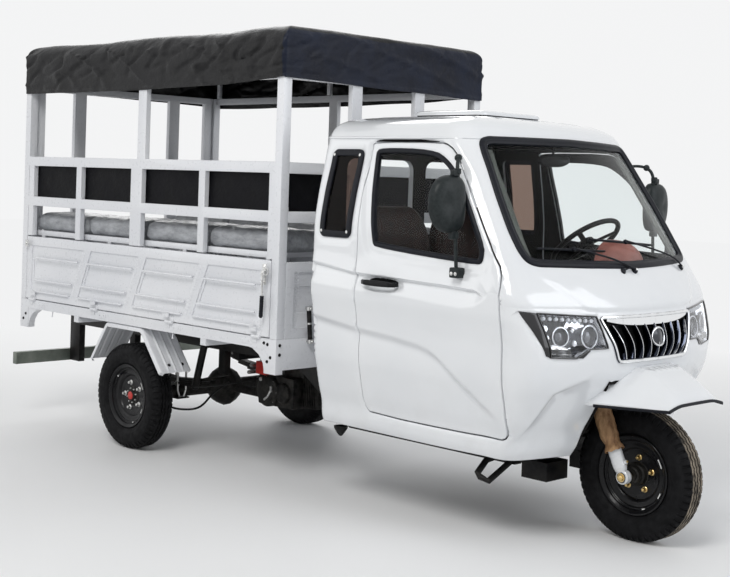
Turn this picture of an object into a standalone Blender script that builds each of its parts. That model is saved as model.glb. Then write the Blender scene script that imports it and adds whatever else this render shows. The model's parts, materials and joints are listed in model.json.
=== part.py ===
"""Enclosed cargo tricycle: hollow cab on a single steered front wheel, stake-sided
passenger box with benches and a fabric canopy on a sprung rear axle.

Metres, +X forward, +Y left, +Z up. Every place below is measured from the rear face of the
cargo box; the empty "vehicle" then shifts the whole model so that its middle stands on the
origin.
"""

import math

import bmesh
import bpy
from mathutils import Matrix, Vector

# Fits shared by the whole vehicle
SEAT_GAP = 0.0003
RUN_GAP = 0.006
OVERRUN = 0.05
WELD_LAP = 0.003
ROUND_STEPS = 20
SMALL_STEPS = 12
PIPE_STEPS = 8

# Wheels: one size all round
TYRE_RADIUS = 0.284
TYRE_HALF_WIDTH = 0.0685
BEAD_RADIUS = 0.158
BEAD_HALF_WIDTH = 0.047
FLANGE_HEIGHT = 0.012
FLANGE_THICKNESS = 0.006
RIM_THICKNESS = 0.007
HUB_RADIUS = 0.046
DISC_STEP = 0.045
DISC_DISH = 0.020
HUB_CAP_RADIUS = 0.030
HUB_CAP_LENGTH = 0.018
TYRE_PROFILE_SHARES = ((0.32, 0.93), (0.55, 1.0), (0.80, 0.90), (0.94, 0.78), (1.0, 0.55))

# Cargo box, upward from the wheels
WHEEL_CLEARANCE = 0.108
SILL_HEIGHT = 0.052
SILL_WIDTH = 0.045
BOX_LENGTH = 2.324
BOX_HALF_WIDTH = 0.713
FLOOR_THICKNESS = 0.030
LEG_DROP = 0.116
LEG_LENGTH = 0.085
GUSSET_LENGTH = 0.150
GUSSET_STEPS = 4
APRON_THICKNESS = 0.012
APRON_RISE = 0.020
BEARER_SHARES = (0.25, 0.75)
CORNER_POST = 0.050
REAR_POST_WIDTH = 0.113
RAIL_THICKNESS = 0.030
GATE_HEIGHT = 0.372
MID_RAIL_RISE = 0.237
MID_RAIL_HEIGHT = 0.054
TOP_RAIL_RISE = 0.235
TOP_RAIL_HEIGHT = 0.054
HEM_RISE = 0.394
ROOF_RAIL_HEIGHT = 0.040
SLAT_WIDTH = 0.050
SLAT_PLACE_SHARES = (0.035, 0.253, 0.493, 0.738, 0.973)
DOUBLE_SLAT = 2
SIDE_POST_WIDTH = 0.072
SIDE_POST_SHARE = 0.509
REAR_INNER_POST_Y = 0.354
REAR_INNER_POST_WIDTH = 0.080
FRONT_INNER_POST_Y = 0.228
FRONT_INNER_POST_WIDTH = 0.070
INFILL_THICKNESS = 0.004

# Drop sides and tailgate
GATE_THICKNESS = 0.030
GATE_BORDER = 0.050
GATE_BAYS = 4
GATE_RIB_WIDTH = 0.070
GATE_RIB_SLANT = 0.120
GATE_STEP = 0.008
GATE_DEEP_STEP = 0.006
GATE_SKIN = 0.006
GATE_BAND_SHARES = (0.27, 0.74)
GATE_BAND_INSET = 0.016
HINGE_RADIUS = 0.009
HINGE_LENGTH = 0.060
HINGE_SHARES = (0.06, 0.34, 0.64, 0.94)
REAR_HINGE_SHARES = (-1.0, 0.0, 1.0)

# Canopy
CANOPY_RISE = 0.259
CANOPY_CROWN = 0.025
CANOPY_THICKNESS = 0.006
CANOPY_SHOULDER = 0.100
CANOPY_END_RUN = 0.060
CANOPY_END_DROP = 0.060
CANOPY_END_SHARES = ((0.0, 1.0), (0.13, 0.45), (0.5, 0.12), (1.0, 0.0))
BOW_WIDTH = 0.025
BOW_SHARES = (0.04, 0.5, 0.96)

# Benches
BENCH_RISE = 0.038
BENCH_TUBE = 0.030
BENCH_DEPTH = 0.341
CUSHION_HEIGHT = 0.110
BENCH_LEG_SHARES = (0.04, 0.35, 0.66, 0.96)

# Running gear
REAR_AXLE_X = 1.065
TRACK_INSET = 0.0205
HUB_INSET = 0.075
AXLE_TUBE_RADIUS = 0.038
DIFF_RADIUS = 0.115
DIFF_HALF_WIDTH = 0.110
SPRING_Y = 0.340
SPRING_WIDTH = 0.050
SPRING_HALF_LENGTH = 0.440
SPRING_LEAF = 0.009
SPRING_LEAVES = 4
SPRING_STATIONS = 4
SPRING_RISE = 0.075
RAIL_DROP = 0.036
RAIL_HEIGHT = 0.080
RAIL_WIDTH = 0.045
RAIL_KINK = 0.255
LOW_RAIL_LEAD = 0.040
LOW_RAIL_REACH = 0.060
LOW_RAIL_HEIGHT = 0.066
CROSS_WIDTH = 0.050
TRAY_DROP = 0.075
TRAY_LENGTH = 0.140
TRAY_INNER_Y = 0.100
TRAY_WIDTH = 0.150
SHAFT_LENGTH = 0.415
SHAFT_RADIUS = 0.025
ENGINE_DROP = 0.120
ENGINE_LENGTH = 0.480
ENGINE_HEIGHT = 0.280
ENGINE_HALF_WIDTH = 0.190
ENGINE_MOUNT_SHARES = (0.2, 0.8)
BUMPER_STANDOFF = 0.008
BUMPER_DEPTH = 0.040
BUMPER_HEIGHT = 0.072
BUMPER_RISE = 0.116
BUMPER_HALF_WIDTH = 0.730
STEP_TUBE_RADIUS = 0.014
STEP_TUBE_Y = 0.515
STEP_TUBE_SETBACK = 0.250
STAY_RADIUS = 0.011
STAY_BOSS_RADIUS = 0.017
STAY_STANDOFF = 0.036
STAY_TOP_RISE = 0.149
STAY_TOP_Y = 0.542
STAY_FOOT_Y = 0.504

# Rear mudguards
GUARD_SIDE_GAP = 0.001
GUARD_INNER_REACH = 0.0455
GUARD_THICKNESS = 0.006
GUARD_LIP = 0.022
GUARD_RIB_HEIGHT = 0.005
GUARD_RIB_WIDTH = 0.014
GUARD_RIB_SHARES = (0.20, 0.52, 0.85)
GUARD_END_ANGLE = 27.0
GUARD_STEPS = 10

# Cab skin
CAB_STANDOFF = 0.196
CAB_LENGTH = 1.433
CAB_GROUND_RISE = 0.081
CAB_HEIGHT = 1.435
CAB_HALF_WIDTH = 0.714
CAB_WALL = 0.036
CAB_REAR_TAPER_SHARE = 0.022
CAB_REAR_CORNER = 0.060
CAB_BOW = 0.155
NOSE_CORNER = 0.085
SIDE_BULGE_SHARES = (0.0, 0.25, 0.65)
NOSE_SPAN_SHARES = (0.75, 0.5, 0.25, 0.0)
CORNER_STEPS = 4
SECTION_SHARES = (
    (0.000, 0.842, 0.858),
    (0.024, 0.861, 0.876),
    (0.064, 0.868, 0.897),
    (0.115, 0.899, 0.928),
    (0.182, 0.933, 0.963),
    (0.225, 0.954, 0.984),
    (0.264, 0.962, 0.994),
    (0.330, 0.965, 1.000),
    (0.378, 0.978, 0.991),
    (0.428, 0.996, 0.976),
    (0.477, 1.000, 0.953),
    (0.509, 0.994, 0.934),
    (0.557, 0.985, 0.905),
    (0.639, 0.983, 0.849),
    (0.736, 0.957, 0.784),
    (0.834, 0.912, 0.717),
    (0.900, 0.882, 0.671),
    (0.930, 0.861, 0.650),
    (0.964, 0.812, 0.621),
    (0.983, 0.728, 0.586),
    (0.993, 0.616, 0.544),
    (1.000, 0.420, 0.474),
)
CROWN_SETBACK_SHARES = {0.964: 0.007, 0.983: 0.028, 0.993: 0.070, 1.000: 0.130}
ROOF_DROP = 0.110

# Doors and their windows, seen from the side
DOOR_SETBACK = 0.302
DOOR_NOSE_GAP = 0.281
DOOR_SILL = 0.082
DOOR_HEAD_DROP = 0.121
DOOR_GAP = 0.006
DOOR_HINGE_STANDOFF = 0.008
DOOR_HINGE_HEIGHT = 0.060
DOOR_HINGE_LAP = 0.020
DOOR_HINGE_SHARES = (0.15, 0.42)
DOOR_OUTLINE_SHARES = (
    (0.00, 0.055), (0.012, 0.02), (0.05, 0.0), (0.94, 0.0), (0.985, 0.012), (1.0, 0.05),
    (1.0, 0.50), (0.985, 0.575), (0.927, 0.63), (0.898, 0.668), (0.786, 0.79), (0.627, 0.95),
    (0.57, 0.985), (0.49, 1.0), (0.04, 1.0), (0.0, 0.985),
)
WINDOW_OUTLINE_SHARES = (
    (0.115, 0.645), (0.135, 0.632), (0.81, 0.599), (0.833, 0.61), (0.836, 0.66), (0.68, 0.855), (0.562, 0.928),
    (0.45, 0.962), (0.075, 0.966), (0.056, 0.95),
)
QUARTER_SETBACK = 0.058
QUARTER_DOOR_GAP = 0.047
QUARTER_BOTTOM_DROP = 0.439
QUARTER_TOP_DROP = 0.046
QUARTER_SLANT = 0.012
QUARTER_CORNER = 0.028
GLASS_INSET = 0.008
GLASS_THICKNESS = 0.006

# Windscreen, seen from the front
SCREEN_TOP_DROP = 0.110
SCREEN_BOTTOM_DROP = 0.650
SCREEN_SIDE_DROP = 0.014
SCREEN_TOP_INSET = 0.184
SCREEN_BOTTOM_INSET = 0.126
SCREEN_CORNER = 0.050

# Front wheel arch and steering
FRONT_AXLE_SETBACK = 0.0645
ARCH_SETBACK = 0.4485
ARCH_SIDE_CLEARANCE = 0.2065
ARCH_CLEARANCE = 0.132
HEAD_CLEARANCE = 0.070
HEAD_POCKET_LEAD = 0.1485
STEER_RAKE = 25.0
STEER_OFFSET = 0.035
FORK_SIDE_CLEARANCE = 0.0085
FORK_LEG_RADIUS = 0.025
FORK_SLEEVE_WALL = 0.006
FORK_SLEEVE_SHARE = 0.42
CROWN_CLEARANCE = 0.116
CROWN_THICKNESS = 0.030
CROWN_DEPTH = 0.070
AXLE_RADIUS = 0.010
AXLE_PLAY = 0.0005
AXLE_NUT_RADIUS = 0.017
AXLE_NUT_LENGTH = 0.014
HEAD_TUBE_RADIUS = 0.034
HEAD_TUBE_LENGTH = 0.110

# Front fender beak
FENDER_LAP = 0.153
FENDER_REACH = 0.201
FENDER_CLEARANCE = 0.036
FENDER_REAR_HALF = 0.362
FENDER_FRONT_HALF = 0.202
FENDER_RISE = 0.160
FENDER_THICKNESS = 0.007
FENDER_STATION_SHARES = (
    (0.0, 1.0, 0.50),
    (0.42, 0.97, 0.52),
    (0.56, 0.93, 0.54),
    (0.92, 0.40, 0.62),
    (1.0, 0.12, 0.66),
)
FENDER_PROFILE_SHARES = ((1.0, 0.0, 0.0), (1.0, 0.0, 0.10), (0.0, 1.0, 0.95), (0.0, 0.5, 1.0))

# Lamps and grille
LAMP_TOP_DROP = 0.153
LAMP_HEIGHT = 0.188
LAMP_INNER = 0.310
LAMP_EDGE_INSET = 0.025
LAMP_STAND = 0.006
LAMP_BOSS_STAND = 0.010
LAMP_OUTLINE_SHARES = (
    (0.10, 0.872), (0.005, 0.19), (0.253, 0.186), (0.43, 0.0), (0.76, 0.04), (0.80, 0.07), (1.0, 1.0), (0.847, 0.973),
)
LAMP_BOSSES = ((0.537, 0.0, 0.042), (0.397, 0.0, 0.052))
LAMP_BOSS_DROP = 0.094
GRILLE_TOP_DROP = 0.184
GRILLE_HEIGHT = 0.179
GRILLE_TOP_HALF = 0.331
GRILLE_BOTTOM_HALF = 0.245
GRILLE_FRAME = 0.012
GRILLE_HEADER = 0.024
GRILLE_SLATS = 9
GRILLE_SLAT_WIDTH = 0.013
GRILLE_STAND = 0.012
GRILLE_PLATE = 0.003
BADGE_HALF_WIDTH = 0.050
BADGE_HALF_HEIGHT = 0.038
BADGE_STAND = 0.018

# Roof hatch
HATCH_SETBACK = 0.180
HATCH_LENGTH = 0.430
HATCH_HALF = 0.230
HATCH_RISE = 0.038
HATCH_BEVEL = 0.040
HATCH_EDGE = 0.010

# Fittings on the doors
HANDLE_SETBACK = 0.071
HANDLE_LENGTH = 0.200
HANDLE_RISE = 0.603
HANDLE_HEIGHT = 0.026
HANDLE_STAND = 0.030
HANDLE_THICKNESS = 0.014
MIRROR_SETBACK = 0.232
MIRROR_OUT = 0.076
MIRROR_DROP = 0.232
MIRROR_HALF_WIDTH = 0.112
MIRROR_HALF_HEIGHT = 0.118
MIRROR_DEPTH = 0.055
MIRROR_LEVEL_SHARES = ((-0.5, 0.96), (0.0, 1.0), (0.5, 0.55))
MIRROR_INNER_SHARE = 0.62
MIRROR_STEPS = 14
MIRROR_ROD_RADIUS = 0.008
MIRROR_ROD_OUT = 0.021
MIRROR_FOOT_DROP = 0.544
MIRROR_HEAD_DROP = 0.079
MIRROR_HEAD_SETBACK = 0.350
MIRROR_HEAD_INSET = 0.143

# Cab inside
SEAT_STANDOFF = 0.100
SEAT_LENGTH = 0.480
SEAT_SIDE_GAP = 0.179
SEAT_RISE = 0.515
SEAT_CUSHION = 0.100
SEAT_BACK_DROP = 0.400
SEAT_BACK_DEPTH = 0.100
DASH_LEAD = 0.020
DASH_DROP = 0.020
DASH_HEIGHT = 0.270
DASH_NOSE_GAP = 0.144
DASH_SIDE_GAP = 0.085
DASH_SLOPE = 0.036
STEERING_WHEEL_LEAD = 0.090
STEERING_WHEEL_RISE = 0.105
STEERING_WHEEL_INSET = 0.384
STEERING_WHEEL_RADIUS = 0.175
STEERING_RIM_RADIUS = 0.013
STEERING_STEPS = 16
STEERING_RIM_STEPS = 6
STEERING_SPOKES = (90.0, 210.0, 330.0)
COLUMN_RADIUS = 0.020
COLUMN_LENGTH = 0.260
COLUMN_TILT = 50.0

# Places that follow from the sizes above, upward and then forward
SILL_BOTTOM = TYRE_RADIUS * 2 + WHEEL_CLEARANCE
FLOOR_TOP = SILL_BOTTOM + SILL_HEIGHT
LEG_BOTTOM = SILL_BOTTOM - LEG_DROP
GATE_TOP = FLOOR_TOP + GATE_HEIGHT
MID_RAIL_TOP = GATE_TOP + MID_RAIL_RISE
TOP_RAIL_TOP = MID_RAIL_TOP + TOP_RAIL_RISE
CANOPY_HEM = TOP_RAIL_TOP + HEM_RISE
CANOPY_TOP = CANOPY_HEM + CANOPY_RISE
CANOPY_OVERHANG = CANOPY_THICKNESS + SEAT_GAP
BENCH_TOP = GATE_TOP + BENCH_RISE
RAIL_TOP = SILL_BOTTOM - RAIL_DROP
ENGINE_TOP = RAIL_TOP - ENGINE_DROP
ENGINE_BOTTOM = ENGINE_TOP - ENGINE_HEIGHT
BUMPER_TOP = TYRE_RADIUS + BUMPER_RISE
BUMPER_BOTTOM = BUMPER_TOP - BUMPER_HEIGHT
GUARD_RADIUS = TYRE_RADIUS + WHEEL_CLEARANCE - SEAT_GAP
FLANGE_RADIUS = BEAD_RADIUS + FLANGE_HEIGHT
CAB_BOTTOM = TYRE_RADIUS + CAB_GROUND_RISE
LOW_RAIL_TOP = CAB_BOTTOM - SEAT_GAP
CAB_TOP = CAB_BOTTOM + CAB_HEIGHT
ROOF_LINE = CAB_TOP - ROOF_DROP
DOOR_BOTTOM = CAB_BOTTOM + DOOR_SILL
DOOR_TOP = CAB_TOP - DOOR_HEAD_DROP
SCREEN_TOP = CAB_TOP - SCREEN_TOP_DROP
SCREEN_BOTTOM = CAB_TOP - SCREEN_BOTTOM_DROP
LAMP_TOP = SCREEN_BOTTOM - LAMP_TOP_DROP
LAMP_BOTTOM = LAMP_TOP - LAMP_HEIGHT
GRILLE_TOP = SCREEN_BOTTOM - GRILLE_TOP_DROP
GRILLE_BOTTOM = GRILLE_TOP - GRILLE_HEIGHT
DASH_TOP = SCREEN_BOTTOM - DASH_DROP
FENDER_EDGE_Z = TYRE_RADIUS * 2 + FENDER_CLEARANCE
FORK_SLEEVE_RADIUS = FORK_LEG_RADIUS + FORK_SLEEVE_WALL
FORK_LEG_Y = TYRE_HALF_WIDTH + FORK_SLEEVE_RADIUS + FORK_SIDE_CLEARANCE
CROWN_HEIGHT = TYRE_RADIUS + CROWN_CLEARANCE
HUB_REACH = FORK_LEG_Y - FORK_SLEEVE_RADIUS - RUN_GAP
HINGE_OUT = HINGE_RADIUS + SEAT_GAP
GUARD_OUTER_Y = BOX_HALF_WIDTH - GUARD_SIDE_GAP
REAR_TRACK_HALF = BOX_HALF_WIDTH - TRACK_INSET - TYRE_HALF_WIDTH
GUARD_INNER_Y = REAR_TRACK_HALF - TYRE_HALF_WIDTH - GUARD_INNER_REACH
AXLE_END = REAR_TRACK_HALF - HUB_INSET
BENCH_OUTER_Y = BOX_HALF_WIDTH - GATE_THICKNESS - RUN_GAP * 2
BENCH_INNER_Y = BENCH_OUTER_Y - BENCH_DEPTH
BUMPER_X = -BUMPER_STANDOFF - BUMPER_DEPTH
ENGINE_REAR = REAR_AXLE_X + SHAFT_LENGTH
CAB_REAR = BOX_LENGTH + CAB_STANDOFF
CAB_NOSE = CAB_REAR + CAB_LENGTH
FRONT_AXLE_X = CAB_NOSE - FRONT_AXLE_SETBACK
ARCH_REAR = FRONT_AXLE_X - ARCH_SETBACK
ARCH_HALF_WIDTH = TYRE_HALF_WIDTH + ARCH_SIDE_CLEARANCE
ARCH_TOP = TYRE_RADIUS * 2 + ARCH_CLEARANCE
HEAD_POCKET_FRONT = FRONT_AXLE_X - HEAD_POCKET_LEAD
LOW_RAIL_START = CAB_REAR + LOW_RAIL_LEAD
LOW_RAIL_END = ARCH_REAR + LOW_RAIL_REACH
DOOR_REAR = CAB_REAR + DOOR_SETBACK
DOOR_FRONT = CAB_NOSE - DOOR_NOSE_GAP
DOOR_HINGE_Y = CAB_HALF_WIDTH + DOOR_HINGE_STANDOFF
FENDER_REAR = CAB_NOSE - FENDER_LAP
FENDER_FRONT = CAB_NOSE + FENDER_REACH
SEAT_HALF = CAB_HALF_WIDTH - SEAT_SIDE_GAP
DASH_HALF = CAB_HALF_WIDTH - DASH_SIDE_GAP
MIDDLE_X = (FENDER_FRONT + BUMPER_X) / 2


def clear_scene():
    for old in list(bpy.data.objects):
        bpy.data.objects.remove(old, do_unlink=True)


def finish(name, colour, roughness, metallic=0.0, alpha=1.0):
    material = bpy.data.materials.new(name)
    material.use_nodes = True
    shader = material.node_tree.nodes["Principled BSDF"]
    shader.inputs["Base Color"].default_value = (*colour, 1.0)
    shader.inputs["Roughness"].default_value = roughness
    shader.inputs["Metallic"].default_value = metallic
    shader.inputs["Alpha"].default_value = alpha
    return material


clear_scene()
VEHICLE = bpy.data.objects.new("vehicle", None)
VEHICLE.location = (-MIDDLE_X, 0.0, 0.0)
bpy.context.collection.objects.link(VEHICLE)

WHITE_PAINT = finish("white_paint", (0.86, 0.87, 0.88), 0.25)
CAB_PAINT = finish("cab_gloss_white", (0.9, 0.9, 0.9), 0.12)
BLACK_STEEL = finish("black_chassis_steel", (0.02, 0.02, 0.022), 0.5, 0.3)
GREY_STEEL = finish("grey_bar_steel", (0.25, 0.28, 0.25), 0.5, 0.4)
RUBBER = finish("tyre_rubber", (0.02, 0.02, 0.02), 0.8)
RIM_STEEL = finish("rim_black_steel", (0.02, 0.02, 0.02), 0.35, 0.4)
CANVAS = finish("canopy_fabric", (0.012, 0.014, 0.02), 0.7)
PANEL_SHEET = finish("infill_sheet", (0.012, 0.014, 0.02), 0.5)
CUSHION_COVER = finish("bench_cushion_cover", (0.55, 0.57, 0.6), 0.4)
CLEAR_GLASS = finish("clear_glass", (0.8, 0.85, 0.85), 0.03, 0.0, 0.3)
TINTED_GLASS = finish("tinted_glass", (0.12, 0.06, 0.04), 0.05, 0.0, 0.6)
BLACK_PLASTIC = finish("black_plastic", (0.02, 0.02, 0.02), 0.4)
CHROME = finish("chrome", (0.8, 0.8, 0.8), 0.08, 1.0)
LAMP_LENS = finish("lamp_lens", (0.8, 0.82, 0.85), 0.05)
SEAT_COVER = finish("seat_cover", (0.03, 0.025, 0.025), 0.6)


def mesh_object(name, verts, faces, material=None, pivot=(0.0, 0.0, 0.0)):
    """A closed body from points in vehicle coordinates, with its origin on the pivot."""
    mesh = bpy.data.meshes.new(name)
    shape = bmesh.new()
    made = [shape.verts.new(Vector(v) - Vector(pivot)) for v in verts]
    for face in faces:
        shape.faces.new([made[i] for i in face])
    bmesh.ops.recalc_face_normals(shape, faces=shape.faces)
    shape.to_mesh(mesh)
    shape.free()
    made_object = bpy.data.objects.new(name, mesh)
    made_object.location = pivot
    made_object.parent = VEHICLE
    bpy.context.collection.objects.link(made_object)
    if material:
        mesh.materials.append(material)
    return made_object


def helper(name, verts, faces):
    made = mesh_object(name, verts, faces)
    made.hide_render = True
    made.display_type = "WIRE"
    return made


def settled(made):
    """Applies the modifiers, so that helpers can go."""
    graph = bpy.context.evaluated_depsgraph_get()
    mesh = bpy.data.meshes.new_from_object(made.evaluated_get(graph))
    old = made.data
    made.modifiers.clear()
    made.data = mesh
    mesh.name = made.name
    bpy.data.meshes.remove(old)
    return made


def combine(made, others, operation, keep=False):
    """Joins, cuts or intersects a body with helper bodies, one after another."""
    for number, other in enumerate(others):
        modifier = made.modifiers.new(f"{operation.lower()}_{number}", "BOOLEAN")
        modifier.operation = operation
        modifier.solver = "EXACT"
        modifier.object = other
    bpy.context.view_layer.update()
    settled(made)
    if not keep:
        for other in others:
            bpy.data.objects.remove(other, do_unlink=True)
    return made


def smooth(made, degrees=35.0):
    made.data.shade_smooth()
    made.data.set_sharp_from_angle(angle=math.radians(degrees))
    return made


def box_shape(low, high):
    (x0, y0, z0), (x1, y1, z1) = low, high
    verts = [(x, y, z) for x in (x0, x1) for y in (y0, y1) for z in (z0, z1)]
    faces = [(0, 1, 3, 2), (4, 6, 7, 5), (0, 4, 5, 1), (2, 3, 7, 6), (0, 2, 6, 4), (1, 5, 7, 3)]
    return verts, faces


def prism_shape(outline, start, end, axis):
    """Extrudes a closed outline along X, Y or Z. The outline's pairs are the other two, in XYZ order."""
    place = {
        "X": lambda a, b, t: (t, a, b),
        "Y": lambda a, b, t: (a, t, b),
        "Z": lambda a, b, t: (a, b, t),
    }[axis]
    count = len(outline)
    verts = [place(a, b, start) for a, b in outline] + [place(a, b, end) for a, b in outline]
    faces = [tuple(range(count)), tuple(range(2 * count - 1, count - 1, -1))]
    for i in range(count):
        j = (i + 1) % count
        faces.append((i, j, j + count, i + count))
    return verts, faces


def loft_shape(rings):
    """Joins rings of equally many points, and closes both ends."""
    count = len(rings[0])
    verts = [point for ring in rings for point in ring]
    faces = [tuple(range(count)), tuple(range(len(verts) - 1, len(verts) - count - 1, -1))]
    for level in range(len(rings) - 1):
        base = level * count
        for i in range(count):
            j = (i + 1) % count
            faces.append((base + i, base + j, base + count + j, base + count + i))
    return verts, faces


def turned_shape(profile, centre, steps, ring=False):
    """Turns (radius, along) pairs about a line parallel to Y through the centre.

    A profile that isn't a ring starts and ends on the axis.
    """
    verts = []
    rows = []
    for radius, along in profile:
        count = 1 if radius == 0 else steps
        row = []
        for i in range(count):
            angle = 2 * math.pi * i / steps
            row.append(len(verts))
            verts.append(
                (
                    centre[0] + radius * math.cos(angle),
                    centre[1] + along,
                    centre[2] + radius * math.sin(angle),
                )
            )
        rows.append(row)
    faces = []
    pairs = list(zip(rows, rows[1:]))
    if ring:
        pairs.append((rows[-1], rows[0]))
    for first, second in pairs:
        for i in range(steps):
            j = (i + 1) % steps
            corners = [
                first[i % len(first)],
                first[j % len(first)],
                second[j % len(second)],
                second[i % len(second)],
            ]
            face = tuple(dict.fromkeys(corners))
            if len(face) > 2:
                faces.append(face)
    return verts, faces


def rod_shape(start, end, radius, steps=SMALL_STEPS, end_radius=None):
    """A round bar between two points."""
    start, end = Vector(start), Vector(end)
    turn = (end - start).to_track_quat("Z", "Y")
    end_radius = radius if end_radius is None else end_radius
    rings = []
    for centre, size in ((start, radius), (end, end_radius)):
        ring = []
        for i in range(steps):
            angle = 2 * math.pi * i / steps
            ring.append(centre + turn @ Vector((size * math.cos(angle), size * math.sin(angle), 0.0)))
        rings.append(ring)
    return loft_shape(rings)


def tube_shape(route, radius, steps=SMALL_STEPS):
    """A round bar bent along a route of points, without twist."""
    route = [Vector(point) for point in route]
    rings = []
    along = Vector((0.0, 0.0, 1.0))
    spokes = []
    for k in range(steps):
        angle = 2 * math.pi * k / steps
        spokes.append(Vector((radius * math.cos(angle), radius * math.sin(angle), 0.0)))
    for i, point in enumerate(route):
        ahead = route[min(i + 1, len(route) - 1)]
        behind = route[max(i - 1, 0)]
        heading = (ahead - behind).normalized()
        bend = along.rotation_difference(heading)
        spokes = [bend @ spoke for spoke in spokes]
        along = heading
        rings.append([point + spoke for spoke in spokes])
    return loft_shape(rings)


def weld_shape(boxes):
    """The outer skin of overlapping upright boxes welded into one body.

    The boxes' faces cut space into cells; a face is kept wherever a filled cell meets an empty one.
    """
    lines = [sorted({round(corner[axis], 6) for box in boxes for corner in box}) for axis in range(3)]
    where = [{value: i for i, value in enumerate(line)} for line in lines]
    filled = set()
    for low, high in boxes:
        spans = []
        for axis in range(3):
            first = where[axis][round(low[axis], 6)]
            last = where[axis][round(high[axis], 6)]
            spans.append(range(first, last))
        filled.update((i, j, k) for i in spans[0] for j in spans[1] for k in spans[2])
    index = {}
    verts = []
    faces = []

    def corner(i, j, k):
        if (i, j, k) not in index:
            index[i, j, k] = len(verts)
            verts.append((lines[0][i], lines[1][j], lines[2][k]))
        return index[i, j, k]

    for i, j, k in filled:
        sides = {
            (-1, 0, 0): [(0, 0, 0), (0, 0, 1), (0, 1, 1), (0, 1, 0)],
            (1, 0, 0): [(1, 0, 0), (1, 1, 0), (1, 1, 1), (1, 0, 1)],
            (0, -1, 0): [(0, 0, 0), (1, 0, 0), (1, 0, 1), (0, 0, 1)],
            (0, 1, 0): [(0, 1, 0), (0, 1, 1), (1, 1, 1), (1, 1, 0)],
            (0, 0, -1): [(0, 0, 0), (0, 1, 0), (1, 1, 0), (1, 0, 0)],
            (0, 0, 1): [(0, 0, 1), (1, 0, 1), (1, 1, 1), (0, 1, 1)],
        }
        for (a, b, c), square in sides.items():
            if (i + a, j + b, k + c) not in filled:
                faces.append(tuple(corner(i + x, j + y, k + z) for x, y, z in square))
    return verts, faces


def welded(name, boxes, material, pivot=(0.0, 0.0, 0.0)):
    """Boxes welded into one body, with the flat faces between their edges merged again."""
    made = mesh_object(name, *weld_shape(boxes), material, pivot)
    shape = bmesh.new()
    shape.from_mesh(made.data)
    bmesh.ops.dissolve_limit(
        shape, angle_limit=math.radians(1.0), verts=shape.verts, edges=shape.edges, use_dissolve_boundaries=False
    )
    bmesh.ops.triangulate(shape, faces=shape.faces)
    shape.to_mesh(made.data)
    shape.free()
    return made


def share_outline(shares, low, high):
    """Outline points given as shares of a rectangle."""
    return [(low[0] + a * (high[0] - low[0]), low[1] + b * (high[1] - low[1])) for a, b in shares]


def round_rectangle(low, high, corner, steps=3):
    points = []
    centres = ((high[0] - corner, high[1] - corner), (low[0] + corner, high[1] - corner))
    centres += ((low[0] + corner, low[1] + corner), (high[0] - corner, low[1] + corner))
    for quarter, (cx, cy) in enumerate(centres):
        for i in range(steps + 1):
            angle = math.pi / 2 * (quarter + i / steps)
            points.append((cx + corner * math.cos(angle), cy + corner * math.sin(angle)))
    return points


def shrunk(outline, gap):
    """Moves each side of an outline inward by the gap, along the corners' bisectors."""
    count = len(outline)
    area = sum(a[0] * b[1] - b[0] * a[1] for a, b in zip(outline, outline[1:] + outline[:1]))
    turn = 1.0 if area > 0 else -1.0
    moved_points = []
    for i, point in enumerate(outline):
        before = Vector(outline[i - 1])
        here = Vector(point)
        after = Vector(outline[(i + 1) % count])
        first = (here - before).normalized()
        second = (after - here).normalized()
        inward = Vector((-first.y - second.y, first.x + second.x)) * turn
        inward.normalize()
        side = Vector((-first.y, first.x)) * turn
        moved_points.append(tuple(here + inward * gap / max(inward.dot(side), 0.4)))
    return moved_points


def cab_ring(share, inset):
    """One level of the cab, seen from above, as a closed ring that starts at the rear centre."""
    height_share, width_share, reach_share = share
    z = CAB_BOTTOM + inset + height_share * (CAB_HEIGHT - 2 * inset)
    half = CAB_HALF_WIDTH * width_share - inset
    rear_half = half * (1 - CAB_REAR_TAPER_SHARE)
    rear = CAB_REAR + CAB_LENGTH * CROWN_SETBACK_SHARES.get(height_share, 0.0) + inset
    nose = CAB_REAR + CAB_LENGTH * reach_share - inset
    bow = CAB_BOW * width_share**2
    corner_x = nose - bow
    shoulder = NOSE_CORNER * width_share
    side_front = corner_x - shoulder
    points = [(rear, 0.0), (rear, rear_half / 2), (rear, rear_half - CAB_REAR_CORNER / 2)]
    points += [(rear + CAB_REAR_CORNER / 6, rear_half - CAB_REAR_CORNER / 8)]
    side_rear = rear + CAB_REAR_CORNER / 2
    for t in SIDE_BULGE_SHARES:
        bulge = (half - rear_half) * math.sin(t * math.pi / 2)
        points.append((side_rear + (side_front - side_rear) * t, rear_half + bulge))
    start = Vector((side_front, half))
    middle = Vector((corner_x, half))
    end_y = half - shoulder
    end = Vector((nose - bow * (end_y / half) ** 2, end_y))
    for i in range(CORNER_STEPS + 1):
        t = i / CORNER_STEPS
        points.append(tuple(start * (1 - t) ** 2 + middle * 2 * t * (1 - t) + end * t**2))
    for t in NOSE_SPAN_SHARES:
        points.append((nose - bow * (end_y * t / half) ** 2, end_y * t))
    left = [(x, y, z) for x, y in points]
    right = [(x, -y, z) for x, y in reversed(points[1:-1])]
    return left + right


def cab_solid(name, inset):
    return helper(name, *loft_shape([cab_ring(share, inset) for share in SECTION_SHARES]))


def head_top():
    """Height of the steering head's upper end."""
    rake = math.radians(STEER_RAKE)
    along = CROWN_HEIGHT + CROWN_THICKNESS / 2 + HEAD_TUBE_LENGTH
    return TYRE_RADIUS - STEER_OFFSET * math.sin(rake) + along * math.cos(rake)


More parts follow.
